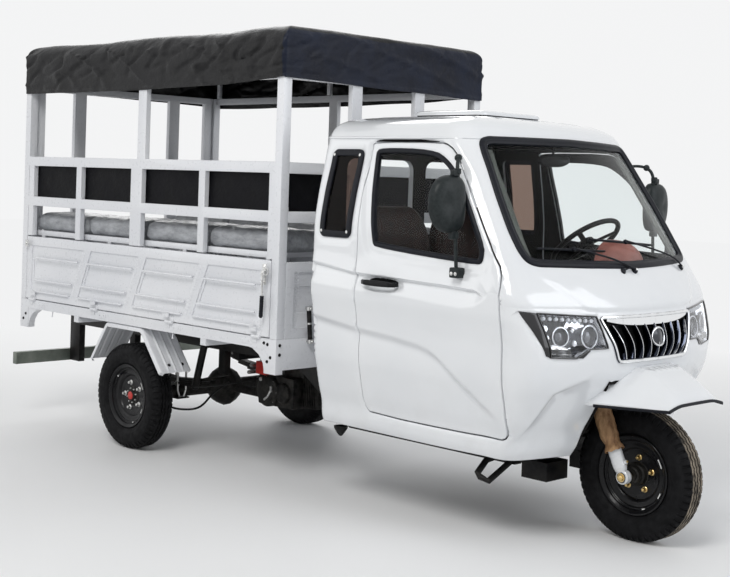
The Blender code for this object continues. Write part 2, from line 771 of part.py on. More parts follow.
def arch_outline(growth):
    """Side view of the space for the steered wheel, with the pocket for the steering head behind it."""
    low = CAB_BOTTOM - OVERRUN
    ahead = CAB_NOSE + OVERRUN
    pocket_top = head_top() + HEAD_CLEARANCE
    return [
        (ARCH_REAR - growth, low),
        (ARCH_REAR - growth, pocket_top + growth),
        (HEAD_POCKET_FRONT + growth, pocket_top + growth),
        (HEAD_POCKET_FRONT + RAIL_WIDTH + growth, ARCH_TOP + growth),
        (ahead, ARCH_TOP + growth),
        (ahead, low),
    ]


def arch_cutter(growth):
    half = ARCH_HALF_WIDTH + growth
    return helper("arch_cutter", *prism_shape(arch_outline(growth), -half, half, "Y"))


def door_outline(gap):
    outline = share_outline(DOOR_OUTLINE_SHARES, (DOOR_REAR, DOOR_BOTTOM), (DOOR_FRONT, DOOR_TOP))
    return shrunk(outline, gap)


def window_outline(gap):
    outline = share_outline(WINDOW_OUTLINE_SHARES, (DOOR_REAR, DOOR_BOTTOM), (DOOR_FRONT, DOOR_TOP))
    return shrunk(outline, gap)


def quarter_outline(gap):
    low = (CAB_REAR + QUARTER_SETBACK, DOOR_TOP - QUARTER_BOTTOM_DROP)
    high = (DOOR_REAR - QUARTER_DOOR_GAP, DOOR_TOP - QUARTER_TOP_DROP)
    height = high[1] - low[1]
    slanted = [(x + QUARTER_SLANT * (z - low[1]) / height, z) for x, z in round_rectangle(low, high, QUARTER_CORNER)]
    return shrunk(slanted, gap)


def screen_outline(gap):
    drop = SCREEN_SIDE_DROP
    corner = SCREEN_CORNER
    low_half = CAB_HALF_WIDTH - SCREEN_BOTTOM_INSET
    top_half = CAB_HALF_WIDTH - SCREEN_TOP_INSET
    right = [
        (0.0, SCREEN_BOTTOM - drop),
        (low_half / 2, SCREEN_BOTTOM - drop / 2),
        (low_half - corner, SCREEN_BOTTOM),
        (low_half - corner / 4, SCREEN_BOTTOM + corner / 4),
        (low_half, SCREEN_BOTTOM + corner),
        (top_half, SCREEN_TOP - corner),
        (top_half - corner / 4, SCREEN_TOP - corner / 4),
        (top_half - corner, SCREEN_TOP),
        (0.0, SCREEN_TOP + drop / 2),
    ]
    left = [(-y, z) for y, z in reversed(right[1:-1])]
    return shrunk(right + left, gap)


def side_prism(name, outline, side):
    """A cutter through one side wall of the cab."""
    outer = (CAB_HALF_WIDTH + OVERRUN) * side
    middle = CAB_HALF_WIDTH / 2 * side
    return helper(name, *prism_shape(outline, min(middle, outer), max(middle, outer), "Y"))


def front_prism(name, outline):
    return helper(name, *prism_shape(outline, DOOR_REAR + OVERRUN, CAB_NOSE + OVERRUN, "X"))


def slab(name, low, high):
    return helper(name, *box_shape(low, high))


def cab_shell():
    """The hollow cab with its wheel arch, all windows cut, before it is split into panels."""
    outer = cab_solid("shell_outer", 0.0)
    combine(outer, [arch_cutter(0.0)], "DIFFERENCE")
    inner = cab_solid("shell_inner", CAB_WALL)
    combine(inner, [arch_cutter(CAB_WALL)], "DIFFERENCE")
    combine(outer, [inner], "DIFFERENCE")
    cuts = [front_prism("screen_cut", screen_outline(0.0))]
    for side in (-1, 1):
        cuts.append(side_prism("quarter_cut", quarter_outline(0.0), side))
    combine(outer, cuts, "DIFFERENCE")
    return outer


def copy_of(source, name, material):
    made = bpy.data.objects.new(name, source.data.copy())
    made.parent = VEHICLE
    bpy.context.collection.objects.link(made)
    made.data.materials.clear()
    made.data.materials.append(material)
    return made


def repivot(made, pivot):
    shift = Vector(pivot)
    made.data.transform(Matrix.Translation(-shift))
    made.location = pivot
    return made


def build_cab_panels():
    """Splits the shell into roof, doors, nose, floor and rear, as the real panels meet."""
    shell = cab_shell()
    far = CAB_HALF_WIDTH + OVERRUN
    low = CAB_BOTTOM - OVERRUN
    high = CAB_TOP + OVERRUN
    rear = CAB_REAR - OVERRUN
    ahead = CAB_NOSE + OVERRUN

    roof = copy_of(shell, "cab_roof", CAB_PAINT)
    combine(roof, [slab("roof_keep", (rear, -far, ROOF_LINE + SEAT_GAP), (ahead, far, high))], "INTERSECT")

    for side, word in ((-1, "right"), (1, "left")):
        door = copy_of(shell, f"door_{word}", CAB_PAINT)
        combine(door, [side_prism("door_keep", door_outline(DOOR_GAP), side)], "INTERSECT")
        combine(door, [side_prism("door_window_cut", window_outline(0.0), side)], "DIFFERENCE")
        combine(door, door_hinges(side), "UNION")
        repivot(door, (DOOR_FRONT, DOOR_HINGE_Y * side, DOOR_BOTTOM))

    door_cuts = [side_prism(f"door_cut_{side}", door_outline(0.0), side) for side in (-1, 1)]
    top_cut = slab("top_cut", (rear, -far, ROOF_LINE), (ahead, far, high))
    combine(shell, door_cuts + [top_cut], "DIFFERENCE")

    back = copy_of(shell, "cab_rear", CAB_PAINT)
    rear_split = DOOR_REAR + WELD_LAP
    combine(back, [slab("rear_keep", (rear, -far, low), (rear_split, far, high))], "INTERSECT")

    front_split = DOOR_FRONT - DOOR_GAP - ARCH_HALF_WIDTH
    floor_top = DOOR_BOTTOM + OVERRUN
    nose = copy_of(shell, "cab_nose", CAB_PAINT)
    nose_keep = [
        (front_split, low),
        (ahead, low),
        (ahead, high),
        (DOOR_REAR + CAB_WALL, high),
        (DOOR_REAR + CAB_WALL, floor_top),
        (front_split, floor_top),
    ]
    combine(nose, [helper("nose_keep", *prism_shape(nose_keep, -far, far, "Y"))], "INTERSECT")
    floor = copy_of(shell, "cab_floor", CAB_PAINT)
    keep = slab("floor_keep", (rear_split + SEAT_GAP, -far, low), (front_split - SEAT_GAP, far, floor_top))
    combine(floor, [keep], "INTERSECT")
    bpy.data.objects.remove(shell, do_unlink=True)


def door_hinges(side):
    """Straps inside the wall that carry a door on its front pillar."""
    straps = []
    height = DOOR_TOP - DOOR_BOTTOM
    for share in DOOR_HINGE_SHARES:
        z = DOOR_BOTTOM + height * share
        strap = cab_solid("hinge_strap", CAB_WALL / 4)
        combine(strap, [cab_solid("hinge_core", CAB_WALL * 3 / 4)], "DIFFERENCE")
        outline = [
            (DOOR_FRONT - DOOR_GAP - DOOR_HINGE_LAP, z),
            (DOOR_FRONT - SEAT_GAP, z),
            (DOOR_FRONT - SEAT_GAP, z + DOOR_HINGE_HEIGHT),
            (DOOR_FRONT - DOOR_GAP - DOOR_HINGE_LAP, z + DOOR_HINGE_HEIGHT),
        ]
        combine(strap, [side_prism("strap_keep", outline, side)], "INTERSECT")
        straps.append(strap)
    return straps


def build_glass():
    """Panes that follow the skin, a little inside it."""
    outer = cab_solid("glass_outer", GLASS_INSET)
    inner = cab_solid("glass_inner", GLASS_INSET + GLASS_THICKNESS)
    combine(outer, [inner], "DIFFERENCE")
    screen = copy_of(outer, "windscreen", CLEAR_GLASS)
    combine(screen, [front_prism("screen_keep", screen_outline(SEAT_GAP))], "INTERSECT")
    for side, word in ((-1, "right"), (1, "left")):
        pane = copy_of(outer, f"door_glass_{word}", CLEAR_GLASS)
        combine(pane, [side_prism("pane_keep", window_outline(SEAT_GAP), side)], "INTERSECT")
        repivot(pane, (DOOR_FRONT, DOOR_HINGE_Y * side, DOOR_BOTTOM))
        pane = copy_of(outer, f"quarter_glass_{word}", TINTED_GLASS)
        combine(pane, [side_prism("pane_keep", quarter_outline(SEAT_GAP), side)], "INTERSECT")
    bpy.data.objects.remove(outer, do_unlink=True)


def lamp_outline(side):
    low = (LAMP_INNER, LAMP_BOTTOM)
    high = (CAB_HALF_WIDTH - LAMP_EDGE_INSET, LAMP_TOP)
    return [(y * side, z) for y, z in share_outline(LAMP_OUTLINE_SHARES, low, high)]


def proud_layer(name, inner_stand, outer_stand):
    """A layer that follows the cab's skin between two heights above it."""
    layer = cab_solid(name, -outer_stand)
    return combine(layer, [cab_solid("layer_core", -inner_stand)], "DIFFERENCE")


def disc_outline(centre, half_width, half_height):
    points = []
    for i in range(SMALL_STEPS):
        angle = 2 * math.pi * i / SMALL_STEPS
        points.append((centre[0] + half_width * math.cos(angle), centre[1] + half_height * math.sin(angle)))
    return points


def build_lamps():
    """Headlamps that wrap round the nose, each with two raised projector rings."""
    for side, word in ((-1, "right"), (1, "left")):
        lamp = proud_layer(f"headlamp_{word}", SEAT_GAP, LAMP_STAND)
        combine(lamp, [front_prism("lamp_keep", lamp_outline(side))], "INTERSECT")
        bosses = []
        for y, rise, radius in LAMP_BOSSES:
            boss = proud_layer("lamp_boss", LAMP_STAND / 2, LAMP_BOSS_STAND)
            centre = (y * side, LAMP_TOP - LAMP_BOSS_DROP + rise)
            combine(boss, [front_prism("boss_keep", disc_outline(centre, radius, radius))], "INTERSECT")
            bosses.append(boss)
        combine(lamp, bosses, "UNION")
        show(lamp, LAMP_LENS)


def show(made, material):
    """Turns a helper body into a piece of the vehicle."""
    made.hide_render = False
    made.display_type = "TEXTURED"
    made.data.materials.clear()
    made.data.materials.append(material)
    return made


def grille_half(z, inset):
    """Half the width of the grille's mouth at a height."""
    share = (z - GRILLE_BOTTOM) / GRILLE_HEIGHT
    return GRILLE_BOTTOM_HALF + (GRILLE_TOP_HALF - GRILLE_BOTTOM_HALF) * share - inset


def build_grille():
    """Chrome surround, upright slats that lean with the surround's ends, and a blank badge."""
    grille = proud_layer("grille", SEAT_GAP, GRILLE_STAND)
    outline = [
        (-GRILLE_BOTTOM_HALF, GRILLE_BOTTOM),
        (GRILLE_BOTTOM_HALF, GRILLE_BOTTOM),
        (GRILLE_TOP_HALF, GRILLE_TOP),
        (-GRILLE_TOP_HALF, GRILLE_TOP),
    ]
    combine(grille, [front_prism("grille_keep", outline)], "INTERSECT")
    low, high = GRILLE_BOTTOM + GRILLE_FRAME, GRILLE_TOP - GRILLE_HEADER
    verts = []
    faces = []
    cells = GRILLE_SLATS + 1
    for number in range(cells):
        corners = []
        for z in (low, high):
            half = grille_half(z, GRILLE_FRAME)
            pitch = (half * 2 + GRILLE_SLAT_WIDTH) / cells
            left = -half + pitch * number
            corners.append((left, left + pitch - GRILLE_SLAT_WIDTH, z))
        (a, b, z0), (c, d, z1) = corners
        cell = prism_shape([(a, z0), (b, z0), (d, z1), (c, z1)], CAB_NOSE - CAB_BOW, CAB_NOSE + OVERRUN, "X")
        start = len(verts)
        verts += cell[0]
        faces += [tuple(i + start for i in face) for face in cell[1]]
    pockets = helper("grille_pockets", verts, faces)
    combine(pockets, [cab_solid("grille_plate", -GRILLE_PLATE)], "DIFFERENCE")
    combine(grille, [pockets], "DIFFERENCE")
    badge = proud_layer("badge", GRILLE_PLATE / 2, BADGE_STAND)
    centre = (0.0, GRILLE_TOP - GRILLE_HEADER / 2 - BADGE_HALF_HEIGHT)
    disc = disc_outline(centre, BADGE_HALF_WIDTH, BADGE_HALF_HEIGHT)
    combine(badge, [front_prism("badge_keep", disc)], "INTERSECT")
    combine(grille, [badge], "UNION")
    show(grille, CHROME)


def build_roof_hatch():
    """Low lid that sits on the roof."""
    base = ROOF_LINE + OVERRUN
    top = CAB_TOP + HATCH_RISE
    rear = CAB_REAR + HATCH_SETBACK
    rings = []
    for z, inset in ((base, 0.0), (top - HATCH_EDGE, 0.0), (top, HATCH_BEVEL)):
        low = (rear + inset, -HATCH_HALF + inset)
        high = (rear + HATCH_LENGTH - inset, HATCH_HALF - inset)
        rings.append([(x, y, z) for x, y in round_rectangle(low, high, HATCH_BEVEL + HATCH_EDGE)])
    hatch = mesh_object("roof_hatch", *loft_shape(rings), CAB_PAINT)
    combine(hatch, [cab_solid("hatch_seat", -SEAT_GAP)], "DIFFERENCE")


def build_fender():
    """Beak over the front wheel: flat crest, sloping flanks, and a nose facet that falls to the tip."""
    outer = []
    inner = []
    for share, rise_share, crest_share in FENDER_STATION_SHARES:
        x = FENDER_REAR + (FENDER_FRONT - FENDER_REAR) * share
        half = FENDER_REAR_HALF + (FENDER_FRONT_HALF - FENDER_REAR_HALF) * share
        crest = half * crest_share
        rise = FENDER_RISE * rise_share
        for ring, drop in ((outer, 0.0), (inner, FENDER_THICKNESS)):
            right = []
            for half_part, crest_part, rise_part in FENDER_PROFILE_SHARES:
                y = half * half_part + crest * crest_part - drop
                z = FENDER_EDGE_Z + rise * rise_part - (drop if rise_part else 0.0)
                right.append((x, y, z))
            middle = [(x, 0.0, FENDER_EDGE_Z + rise - drop)]
            ring.append(right + middle + [(a, -b, c) for a, b, c in reversed(right)])
    rings = [first + second[::-1] for first, second in zip(outer, inner)]
    fender = mesh_object("front_fender", *loft_shape(rings), CAB_PAINT)
    combine(fender, [cab_solid("fender_seat", -SEAT_GAP)], "DIFFERENCE")


def build_wheel(place, name, side, through):
    """Tyre and dished steel rim with its hub. The dish faces the given side."""
    reach = TYRE_RADIUS - BEAD_RADIUS
    half_profile = [(BEAD_RADIUS, BEAD_HALF_WIDTH - FLANGE_THICKNESS)]
    half_profile += [(FLANGE_RADIUS + WELD_LAP, BEAD_HALF_WIDTH - WELD_LAP)]
    half_profile += [(BEAD_RADIUS + reach * a, TYRE_HALF_WIDTH * b) for a, b in TYRE_PROFILE_SHARES]
    profile = half_profile + [(r, -a) for r, a in reversed(half_profile)]
    tyre = mesh_object(f"tyre_{name}", *turned_shape(profile, place, ROUND_STEPS, True), RUBBER, place)
    smooth(tyre)
    barrel = BEAD_RADIUS - SEAT_GAP
    flange_in = BEAD_HALF_WIDTH - FLANGE_THICKNESS + SEAT_GAP
    flange_out = BEAD_HALF_WIDTH + FLANGE_THICKNESS
    tread = barrel - RIM_THICKNESS
    bore = AXLE_RADIUS + AXLE_PLAY
    step = HUB_RADIUS + DISC_STEP
    rim = [
        (barrel, flange_in),
        (barrel, -flange_in),
        (FLANGE_RADIUS, -BEAD_HALF_WIDTH),
        (FLANGE_RADIUS, -flange_out),
        (tread, -flange_in),
        (tread, DISC_DISH / 2),
        (step, -DISC_DISH / 2),
        (HUB_RADIUS, -DISC_DISH / 2),
    ]
    outer_side = [
        (HUB_RADIUS, DISC_DISH / 2),
        (step, DISC_DISH / 2),
        (tread, DISC_DISH * 3 / 2),
        (tread, flange_in),
        (FLANGE_RADIUS, flange_out),
        (FLANGE_RADIUS, BEAD_HALF_WIDTH),
    ]
    if through:
        hub = [(HUB_RADIUS, -HUB_REACH), (bore, -HUB_REACH), (bore, HUB_REACH), (HUB_RADIUS, HUB_REACH)]
        profile = rim + hub + outer_side
    else:
        inner_end = HUB_INSET - SEAT_GAP
        cap_out = DISC_DISH / 2 + HUB_CAP_LENGTH
        hub = [(HUB_RADIUS, -inner_end), (0.0, -inner_end)]
        cap = [(0.0, cap_out), (HUB_CAP_RADIUS, cap_out), (HUB_CAP_RADIUS, DISC_DISH / 2)]
        profile = cap + outer_side[1:] + rim + hub
    profile = [(r, a * side) for r, a in profile]
    turned = turned_shape(profile, place, ROUND_STEPS, through)
    smooth(mesh_object(f"rim_{name}", *turned, RIM_STEEL, place))


def build_running_gear():
    front = (FRONT_AXLE_X, 0.0, TYRE_RADIUS)
    build_wheel(front, "front", -1, True)
    for side, word in ((-1, "right"), (1, "left")):
        build_wheel((REAR_AXLE_X, REAR_TRACK_HALF * side, TYRE_RADIUS), f"rear_{word}", side, False)
    diff = [(0.0, -AXLE_END), (AXLE_TUBE_RADIUS, -AXLE_END), (AXLE_TUBE_RADIUS, -DIFF_HALF_WIDTH)]
    diff += [(DIFF_RADIUS * 0.8, -DIFF_HALF_WIDTH / 2), (DIFF_RADIUS, 0.0), (DIFF_RADIUS * 0.8, DIFF_HALF_WIDTH / 2)]
    diff += [(AXLE_TUBE_RADIUS, DIFF_HALF_WIDTH), (AXLE_TUBE_RADIUS, AXLE_END), (0.0, AXLE_END)]
    middle = (REAR_AXLE_X, 0.0, TYRE_RADIUS)
    axle = mesh_object("rear_axle", *turned_shape(diff, middle, SMALL_STEPS), BLACK_STEEL)
    shaft_end = (ENGINE_REAR - SEAT_GAP, 0.0, TYRE_RADIUS)
    combine(axle, [helper("shaft", *rod_shape(middle, shaft_end, SHAFT_RADIUS, PIPE_STEPS))], "UNION")
    smooth(axle)
    for side, word in ((-1, "right"), (1, "left")):
        build_spring(side, word)
    verts, faces = box_shape(
        (ENGINE_REAR, -ENGINE_HALF_WIDTH, ENGINE_BOTTOM),
        (ENGINE_REAR + ENGINE_LENGTH, ENGINE_HALF_WIDTH, ENGINE_TOP),
    )
    mesh_object("engine_block", verts, faces, BLACK_STEEL)


def spring_line(offset, length_share):
    """Points of one leaf's edge, an arc that rises from the axle clamp to both eyes."""
    points = []
    base = TYRE_RADIUS + AXLE_TUBE_RADIUS + SEAT_GAP
    for i in range(SPRING_STATIONS + 1):
        t = (i / SPRING_STATIONS * 2 - 1) * length_share
        points.append((REAR_AXLE_X + SPRING_HALF_LENGTH * t, base + SPRING_RISE * t * t + offset))
    return points


def build_spring(side, word):
    """Leaf stack: each leaf is shorter than the one above it."""
    leaves = []
    for number in range(SPRING_LEAVES):
        share = (number + 2) / (SPRING_LEAVES + 1)
        share = min(share, 1.0)
        lower = spring_line(SPRING_LEAF * number, share)
        upper = spring_line(SPRING_LEAF * (number + 1) + SEAT_GAP, share)
        outline = lower + upper[::-1]
        low_y = side * SPRING_Y - SPRING_WIDTH / 2
        leaves.append(prism_shape(outline, low_y, low_y + SPRING_WIDTH, "Y"))
    spring = mesh_object(f"leaf_spring_{word}", *leaves[-1], BLACK_STEEL)
    combine(spring, [helper("leaf", *leaf) for leaf in leaves[:-1]], "UNION")


def build_chassis():
    """Ladder frame: high rails over the axle, low rails under the cab, and the steering head."""
    rail_bottom = RAIL_TOP - RAIL_HEIGHT
    low_bottom = LOW_RAIL_TOP - LOW_RAIL_HEIGHT
    kink_start = BOX_LENGTH - RAIL_KINK
    outline = [
        (SILL_WIDTH, rail_bottom),
        (kink_start, rail_bottom),
        (LOW_RAIL_START - RAIL_HEIGHT, low_bottom),
        (LOW_RAIL_END, low_bottom),
        (LOW_RAIL_END, LOW_RAIL_TOP),
        (LOW_RAIL_START - RAIL_HEIGHT / 2, LOW_RAIL_TOP),
        (kink_start + RAIL_HEIGHT, RAIL_TOP),
        (SILL_WIDTH, RAIL_TOP),
    ]
    rails = []
    for side in (-1, 1):
        low_y = side * SPRING_Y - RAIL_WIDTH / 2
        rails.append(prism_shape(outline, low_y, low_y + RAIL_WIDTH, "Y"))
    pieces = [rails[1]]
    span = SPRING_Y
    spring_rear = REAR_AXLE_X - SPRING_HALF_LENGTH
    spring_front = REAR_AXLE_X + SPRING_HALF_LENGTH
    for x in (SILL_WIDTH, spring_rear, spring_front, kink_start - CROSS_WIDTH):
        low = (x + WELD_LAP, -span, rail_bottom + WELD_LAP)
        pieces.append(box_shape(low, (x + CROSS_WIDTH, span, RAIL_TOP - WELD_LAP)))
    last_cross = LOW_RAIL_END - CROSS_WIDTH - WELD_LAP
    for x in (LOW_RAIL_START + CROSS_WIDTH, last_cross):
        low = (x, -span, low_bottom + WELD_LAP)
        pieces.append(box_shape(low, (x + CROSS_WIDTH, span, LOW_RAIL_TOP - WELD_LAP)))
    for share in ENGINE_MOUNT_SHARES:
        x = ENGINE_REAR + ENGINE_LENGTH * share
        low = (x - CROSS_WIDTH / 2, -span, ENGINE_TOP + SEAT_GAP)
        pieces.append(box_shape(low, (x + CROSS_WIDTH / 2, span, RAIL_TOP - RAIL_HEIGHT / 2)))
    eye = TYRE_RADIUS + AXLE_TUBE_RADIUS + SPRING_RISE + SPRING_LEAF * SPRING_LEAVES
    base = eye + SEAT_GAP * 3
    for side in (-1, 1):
        for end in (-1, 1):
            x = REAR_AXLE_X + end * (SPRING_HALF_LENGTH - CROSS_WIDTH / 2)
            low_y = side * SPRING_Y - SPRING_WIDTH / 2
            low = (x - CROSS_WIDTH / 2, low_y + WELD_LAP * 2, base)
            high = (x + CROSS_WIDTH / 2, low_y + SPRING_WIDTH - WELD_LAP, RAIL_TOP - WELD_LAP * 2)
            pieces.append(box_shape(low, high))
    tray_top = low_bottom + WELD_LAP * 2
    for side in (-1, 1):
        ys = sorted((side * TRAY_INNER_Y, side * (TRAY_INNER_Y + TRAY_WIDTH)))
        low = (last_cross + WELD_LAP, ys[0], low_bottom - TRAY_DROP)
        pieces.append(box_shape(low, (last_cross + TRAY_LENGTH, ys[1], tray_top)))
    pieces += steering_head()
    pieces += bumper_brackets()
    pieces += step_tubes()
    frame = mesh_object("chassis_frame", *rails[0], BLACK_STEEL)
    combine(frame, [helper("frame_piece", *piece) for piece in pieces], "UNION")


def steer_point(distance, across=0.0):
    """A point on the steering axis, the given distance above the axle's height, and beside it."""
    rake = math.radians(STEER_RAKE)
    foot_x = FRONT_AXLE_X - STEER_OFFSET * math.cos(rake)
    foot = Vector((foot_x, across, TYRE_RADIUS - STEER_OFFSET * math.sin(rake)))
    return foot + Vector((-math.sin(rake), 0.0, math.cos(rake))) * distance


def steering_head():
    """Head tube on the steering axis and the neck that carries it on the last cross member."""
    along = CROWN_HEIGHT + CROWN_THICKNESS / 2
    low = steer_point(along + SEAT_GAP)
    high = steer_point(along + HEAD_TUBE_LENGTH)
    head = rod_shape(low, high, HEAD_TUBE_RADIUS, SMALL_STEPS * 2)
    middle = (low + high) / 2
    low_bottom = LOW_RAIL_TOP - LOW_RAIL_HEIGHT
    rear = LOW_RAIL_END - CROSS_WIDTH
    front = LOW_RAIL_END - WELD_LAP * 2
    outline = [
        (rear, low_bottom + WELD_LAP * 2),
        (front, low_bottom + WELD_LAP * 2),
        (front + WELD_LAP, middle.z - HEAD_TUBE_LENGTH),
        (middle.x, middle.z - HEAD_TUBE_LENGTH / 4),
        (middle.x, middle.z + HEAD_TUBE_LENGTH / 4),
        (rear, middle.z - HEAD_TUBE_LENGTH / 4),
    ]
    neck = prism_shape(outline, -RAIL_WIDTH, RAIL_WIDTH, "Y")
    return [head, neck]


def bumper_brackets():
    pieces = []
    for side in (-1, 1):
        low_y = side * SPRING_Y - RAIL_WIDTH / 2 + WELD_LAP
        low = (BUMPER_X + BUMPER_DEPTH + SEAT_GAP, low_y, BUMPER_BOTTOM + WELD_LAP)
        high = (SILL_WIDTH + CROSS_WIDTH, low_y + RAIL_WIDTH - WELD_LAP * 2, RAIL_TOP - WELD_LAP * 2)
        pieces.append(box_shape(low, high))
    return pieces


def step_tubes():
    """A bent foot bar under each door."""
    tubes = []
    low_mid = LOW_RAIL_TOP - LOW_RAIL_HEIGHT / 2
    tread = LOW_RAIL_TOP - LOW_RAIL_HEIGHT - STEP_TUBE_RADIUS * 2
    for side in (-1, 1):
        x = DOOR_FRONT - STEP_TUBE_SETBACK
        route = [
            (x, side * SPRING_Y, low_mid),
            (x, side * (STEP_TUBE_Y - STEP_TUBE_RADIUS * 4), low_mid - STEP_TUBE_RADIUS),
            (x, side * STEP_TUBE_Y, tread),
            (x + STEP_TUBE_RADIUS, side * STEP_TUBE_Y, tread - STEP_TUBE_RADIUS),
            (x + CROSS_WIDTH, side * (STEP_TUBE_Y - STEP_TUBE_RADIUS), tread - STEP_TUBE_RADIUS * 2),
            (LOW_RAIL_END - CROSS_WIDTH / 2, side * SPRING_Y, low_mid - STEP_TUBE_RADIUS),
        ]
        tubes.append(tube_shape(route, STEP_TUBE_RADIUS, PIPE_STEPS))
    return tubes


def build_bumper():
    verts, faces = box_shape(
        (BUMPER_X, -BUMPER_HALF_WIDTH, BUMPER_BOTTOM),
        (BUMPER_X + BUMPER_DEPTH, BUMPER_HALF_WIDTH, BUMPER_TOP),
    )
    bumper = mesh_object("rear_bumper_bar", verts, faces, GREY_STEEL)
    bevel = bumper.modifiers.new("bevel", "BEVEL")
    bevel.width = WELD_LAP
    bevel.segments = 1


def build_fork():
    """Crown, two telescopic legs and the wheel spindle."""
    pivot = steer_point(CROWN_HEIGHT)
    axis = (steer_point(1.0) - steer_point(0.0)).normalized()
    turn = axis.to_track_quat("Z", "Y")
    half = FORK_LEG_Y + FORK_SLEEVE_RADIUS
    outline = round_rectangle((-CROWN_DEPTH / 2, -half), (CROWN_DEPTH, half), CROWN_DEPTH / 3)
    rings = []
    for level in (-CROWN_THICKNESS / 2, CROWN_THICKNESS / 2):
        ring = []
        for ahead, across in outline:
            forward = Vector((axis.z, 0.0, -axis.x))
            ring.append(pivot + forward * ahead + Vector((0.0, across, 0.0)) + axis * level)
        rings.append(ring)
    fork = mesh_object("front_fork", *loft_shape(rings), WHITE_PAINT, pivot)
    forward = Vector((axis.z, 0.0, -axis.x))
    pieces = []
    for side in (-1, 1):
        foot = Vector((FRONT_AXLE_X, side * FORK_LEG_Y, TYRE_RADIUS)) - axis * FORK_LEG_RADIUS
        across = Vector((0.0, side * FORK_LEG_Y, 0.0))
        top = pivot + forward * STEER_OFFSET + across + axis * CROWN_THICKNESS / 4
        joint = foot + (top - foot) * FORK_SLEEVE_SHARE
        pieces.append(rod_shape(foot, top, FORK_LEG_RADIUS))
        pieces.append(rod_shape(joint, top, FORK_SLEEVE_RADIUS))
    reach = FORK_LEG_Y + FORK_LEG_RADIUS + AXLE_NUT_LENGTH
    centre = Vector((FRONT_AXLE_X, 0.0, TYRE_RADIUS))
    across = Vector((0.0, reach, 0.0))
    pieces.append(rod_shape(centre - across, centre + across, AXLE_RADIUS))
    for side in (-1, 1):
        nut_end = centre + Vector((0.0, side * reach, 0.0))
        nut_start = centre + Vector((0.0, side * (FORK_LEG_Y + FORK_LEG_RADIUS / 2), 0.0))
        lap = Vector((0.0, side * WELD_LAP, 0.0))
        pieces.append(rod_shape(nut_start, nut_end + lap, AXLE_NUT_RADIUS, PIPE_STEPS))
    combine(fork, [helper("fork_piece", *piece) for piece in pieces], "UNION")
    smooth(fork)


def build_cargo_floor():
    """Deck with its sills, corner legs, bearers, front apron and the fixed halves of the hinges."""
    wide = BOX_HALF_WIDTH
    boxes = [((0.0, -wide, FLOOR_TOP - FLOOR_THICKNESS), (BOX_LENGTH, wide, FLOOR_TOP))]
    for side in (-1, 1):
        ys = sorted((side * wide, side * (wide - SILL_WIDTH)))
        boxes.append(((0.0, ys[0], SILL_BOTTOM), (BOX_LENGTH, ys[1], FLOOR_TOP)))
        for x in (0.0, BOX_LENGTH - LEG_LENGTH):
            boxes.append(((x, ys[0], LEG_BOTTOM), (x + LEG_LENGTH, ys[1], FLOOR_TOP)))
    for x in (0.0, BOX_LENGTH - SILL_WIDTH):
        boxes.append(((x, -wide, SILL_BOTTOM), (x + SILL_WIDTH, wide, FLOOR_TOP)))
    apron_low = LEG_BOTTOM + APRON_RISE
    boxes.append(((BOX_LENGTH - APRON_THICKNESS, -wide, apron_low), (BOX_LENGTH, wide, FLOOR_TOP)))
    for share in BEARER_SHARES:
        x = BOX_LENGTH * share
        boxes.append(((x, -wide, RAIL_TOP + SEAT_GAP), (x + SILL_WIDTH, wide, FLOOR_TOP)))
    floor = welded("cargo_floor", boxes, WHITE_PAINT)
    gussets = []
    drop = SILL_BOTTOM - LEG_BOTTOM
    for side in (-1, 1):
        ys = sorted((side * (wide - WELD_LAP), side * (wide - SILL_WIDTH + WELD_LAP)))
        for rear in (True, False):
            outline = [(-LEG_LENGTH / 2, SILL_BOTTOM + WELD_LAP)]
            outline += [(-LEG_LENGTH / 2, LEG_BOTTOM + WELD_LAP), (0.0, LEG_BOTTOM + WELD_LAP)]
            for i in range(GUSSET_STEPS + 1):
                angle = math.pi / 2 * i / GUSSET_STEPS
                along = GUSSET_LENGTH * (1 - math.cos(angle))
                outline.append((along, SILL_BOTTOM + WELD_LAP - drop * (1 - math.sin(angle))))
            placed = [(LEG_LENGTH + a if rear else BOX_LENGTH - LEG_LENGTH - a, z) for a, z in outline]
            gussets.append(prism_shape(placed, ys[0], ys[1], "Y"))
    combine(floor, [helper("gusset", *gusset) for gusset in gussets], "UNION")
    hinges = knuckles(rear_hinge_places(), rear_hinge_place, False)
    for side in (-1, 1):
        hinges += knuckles(side_hinge_places(), side_hinge_place(side), False)
    combine(floor, hinges, "UNION")


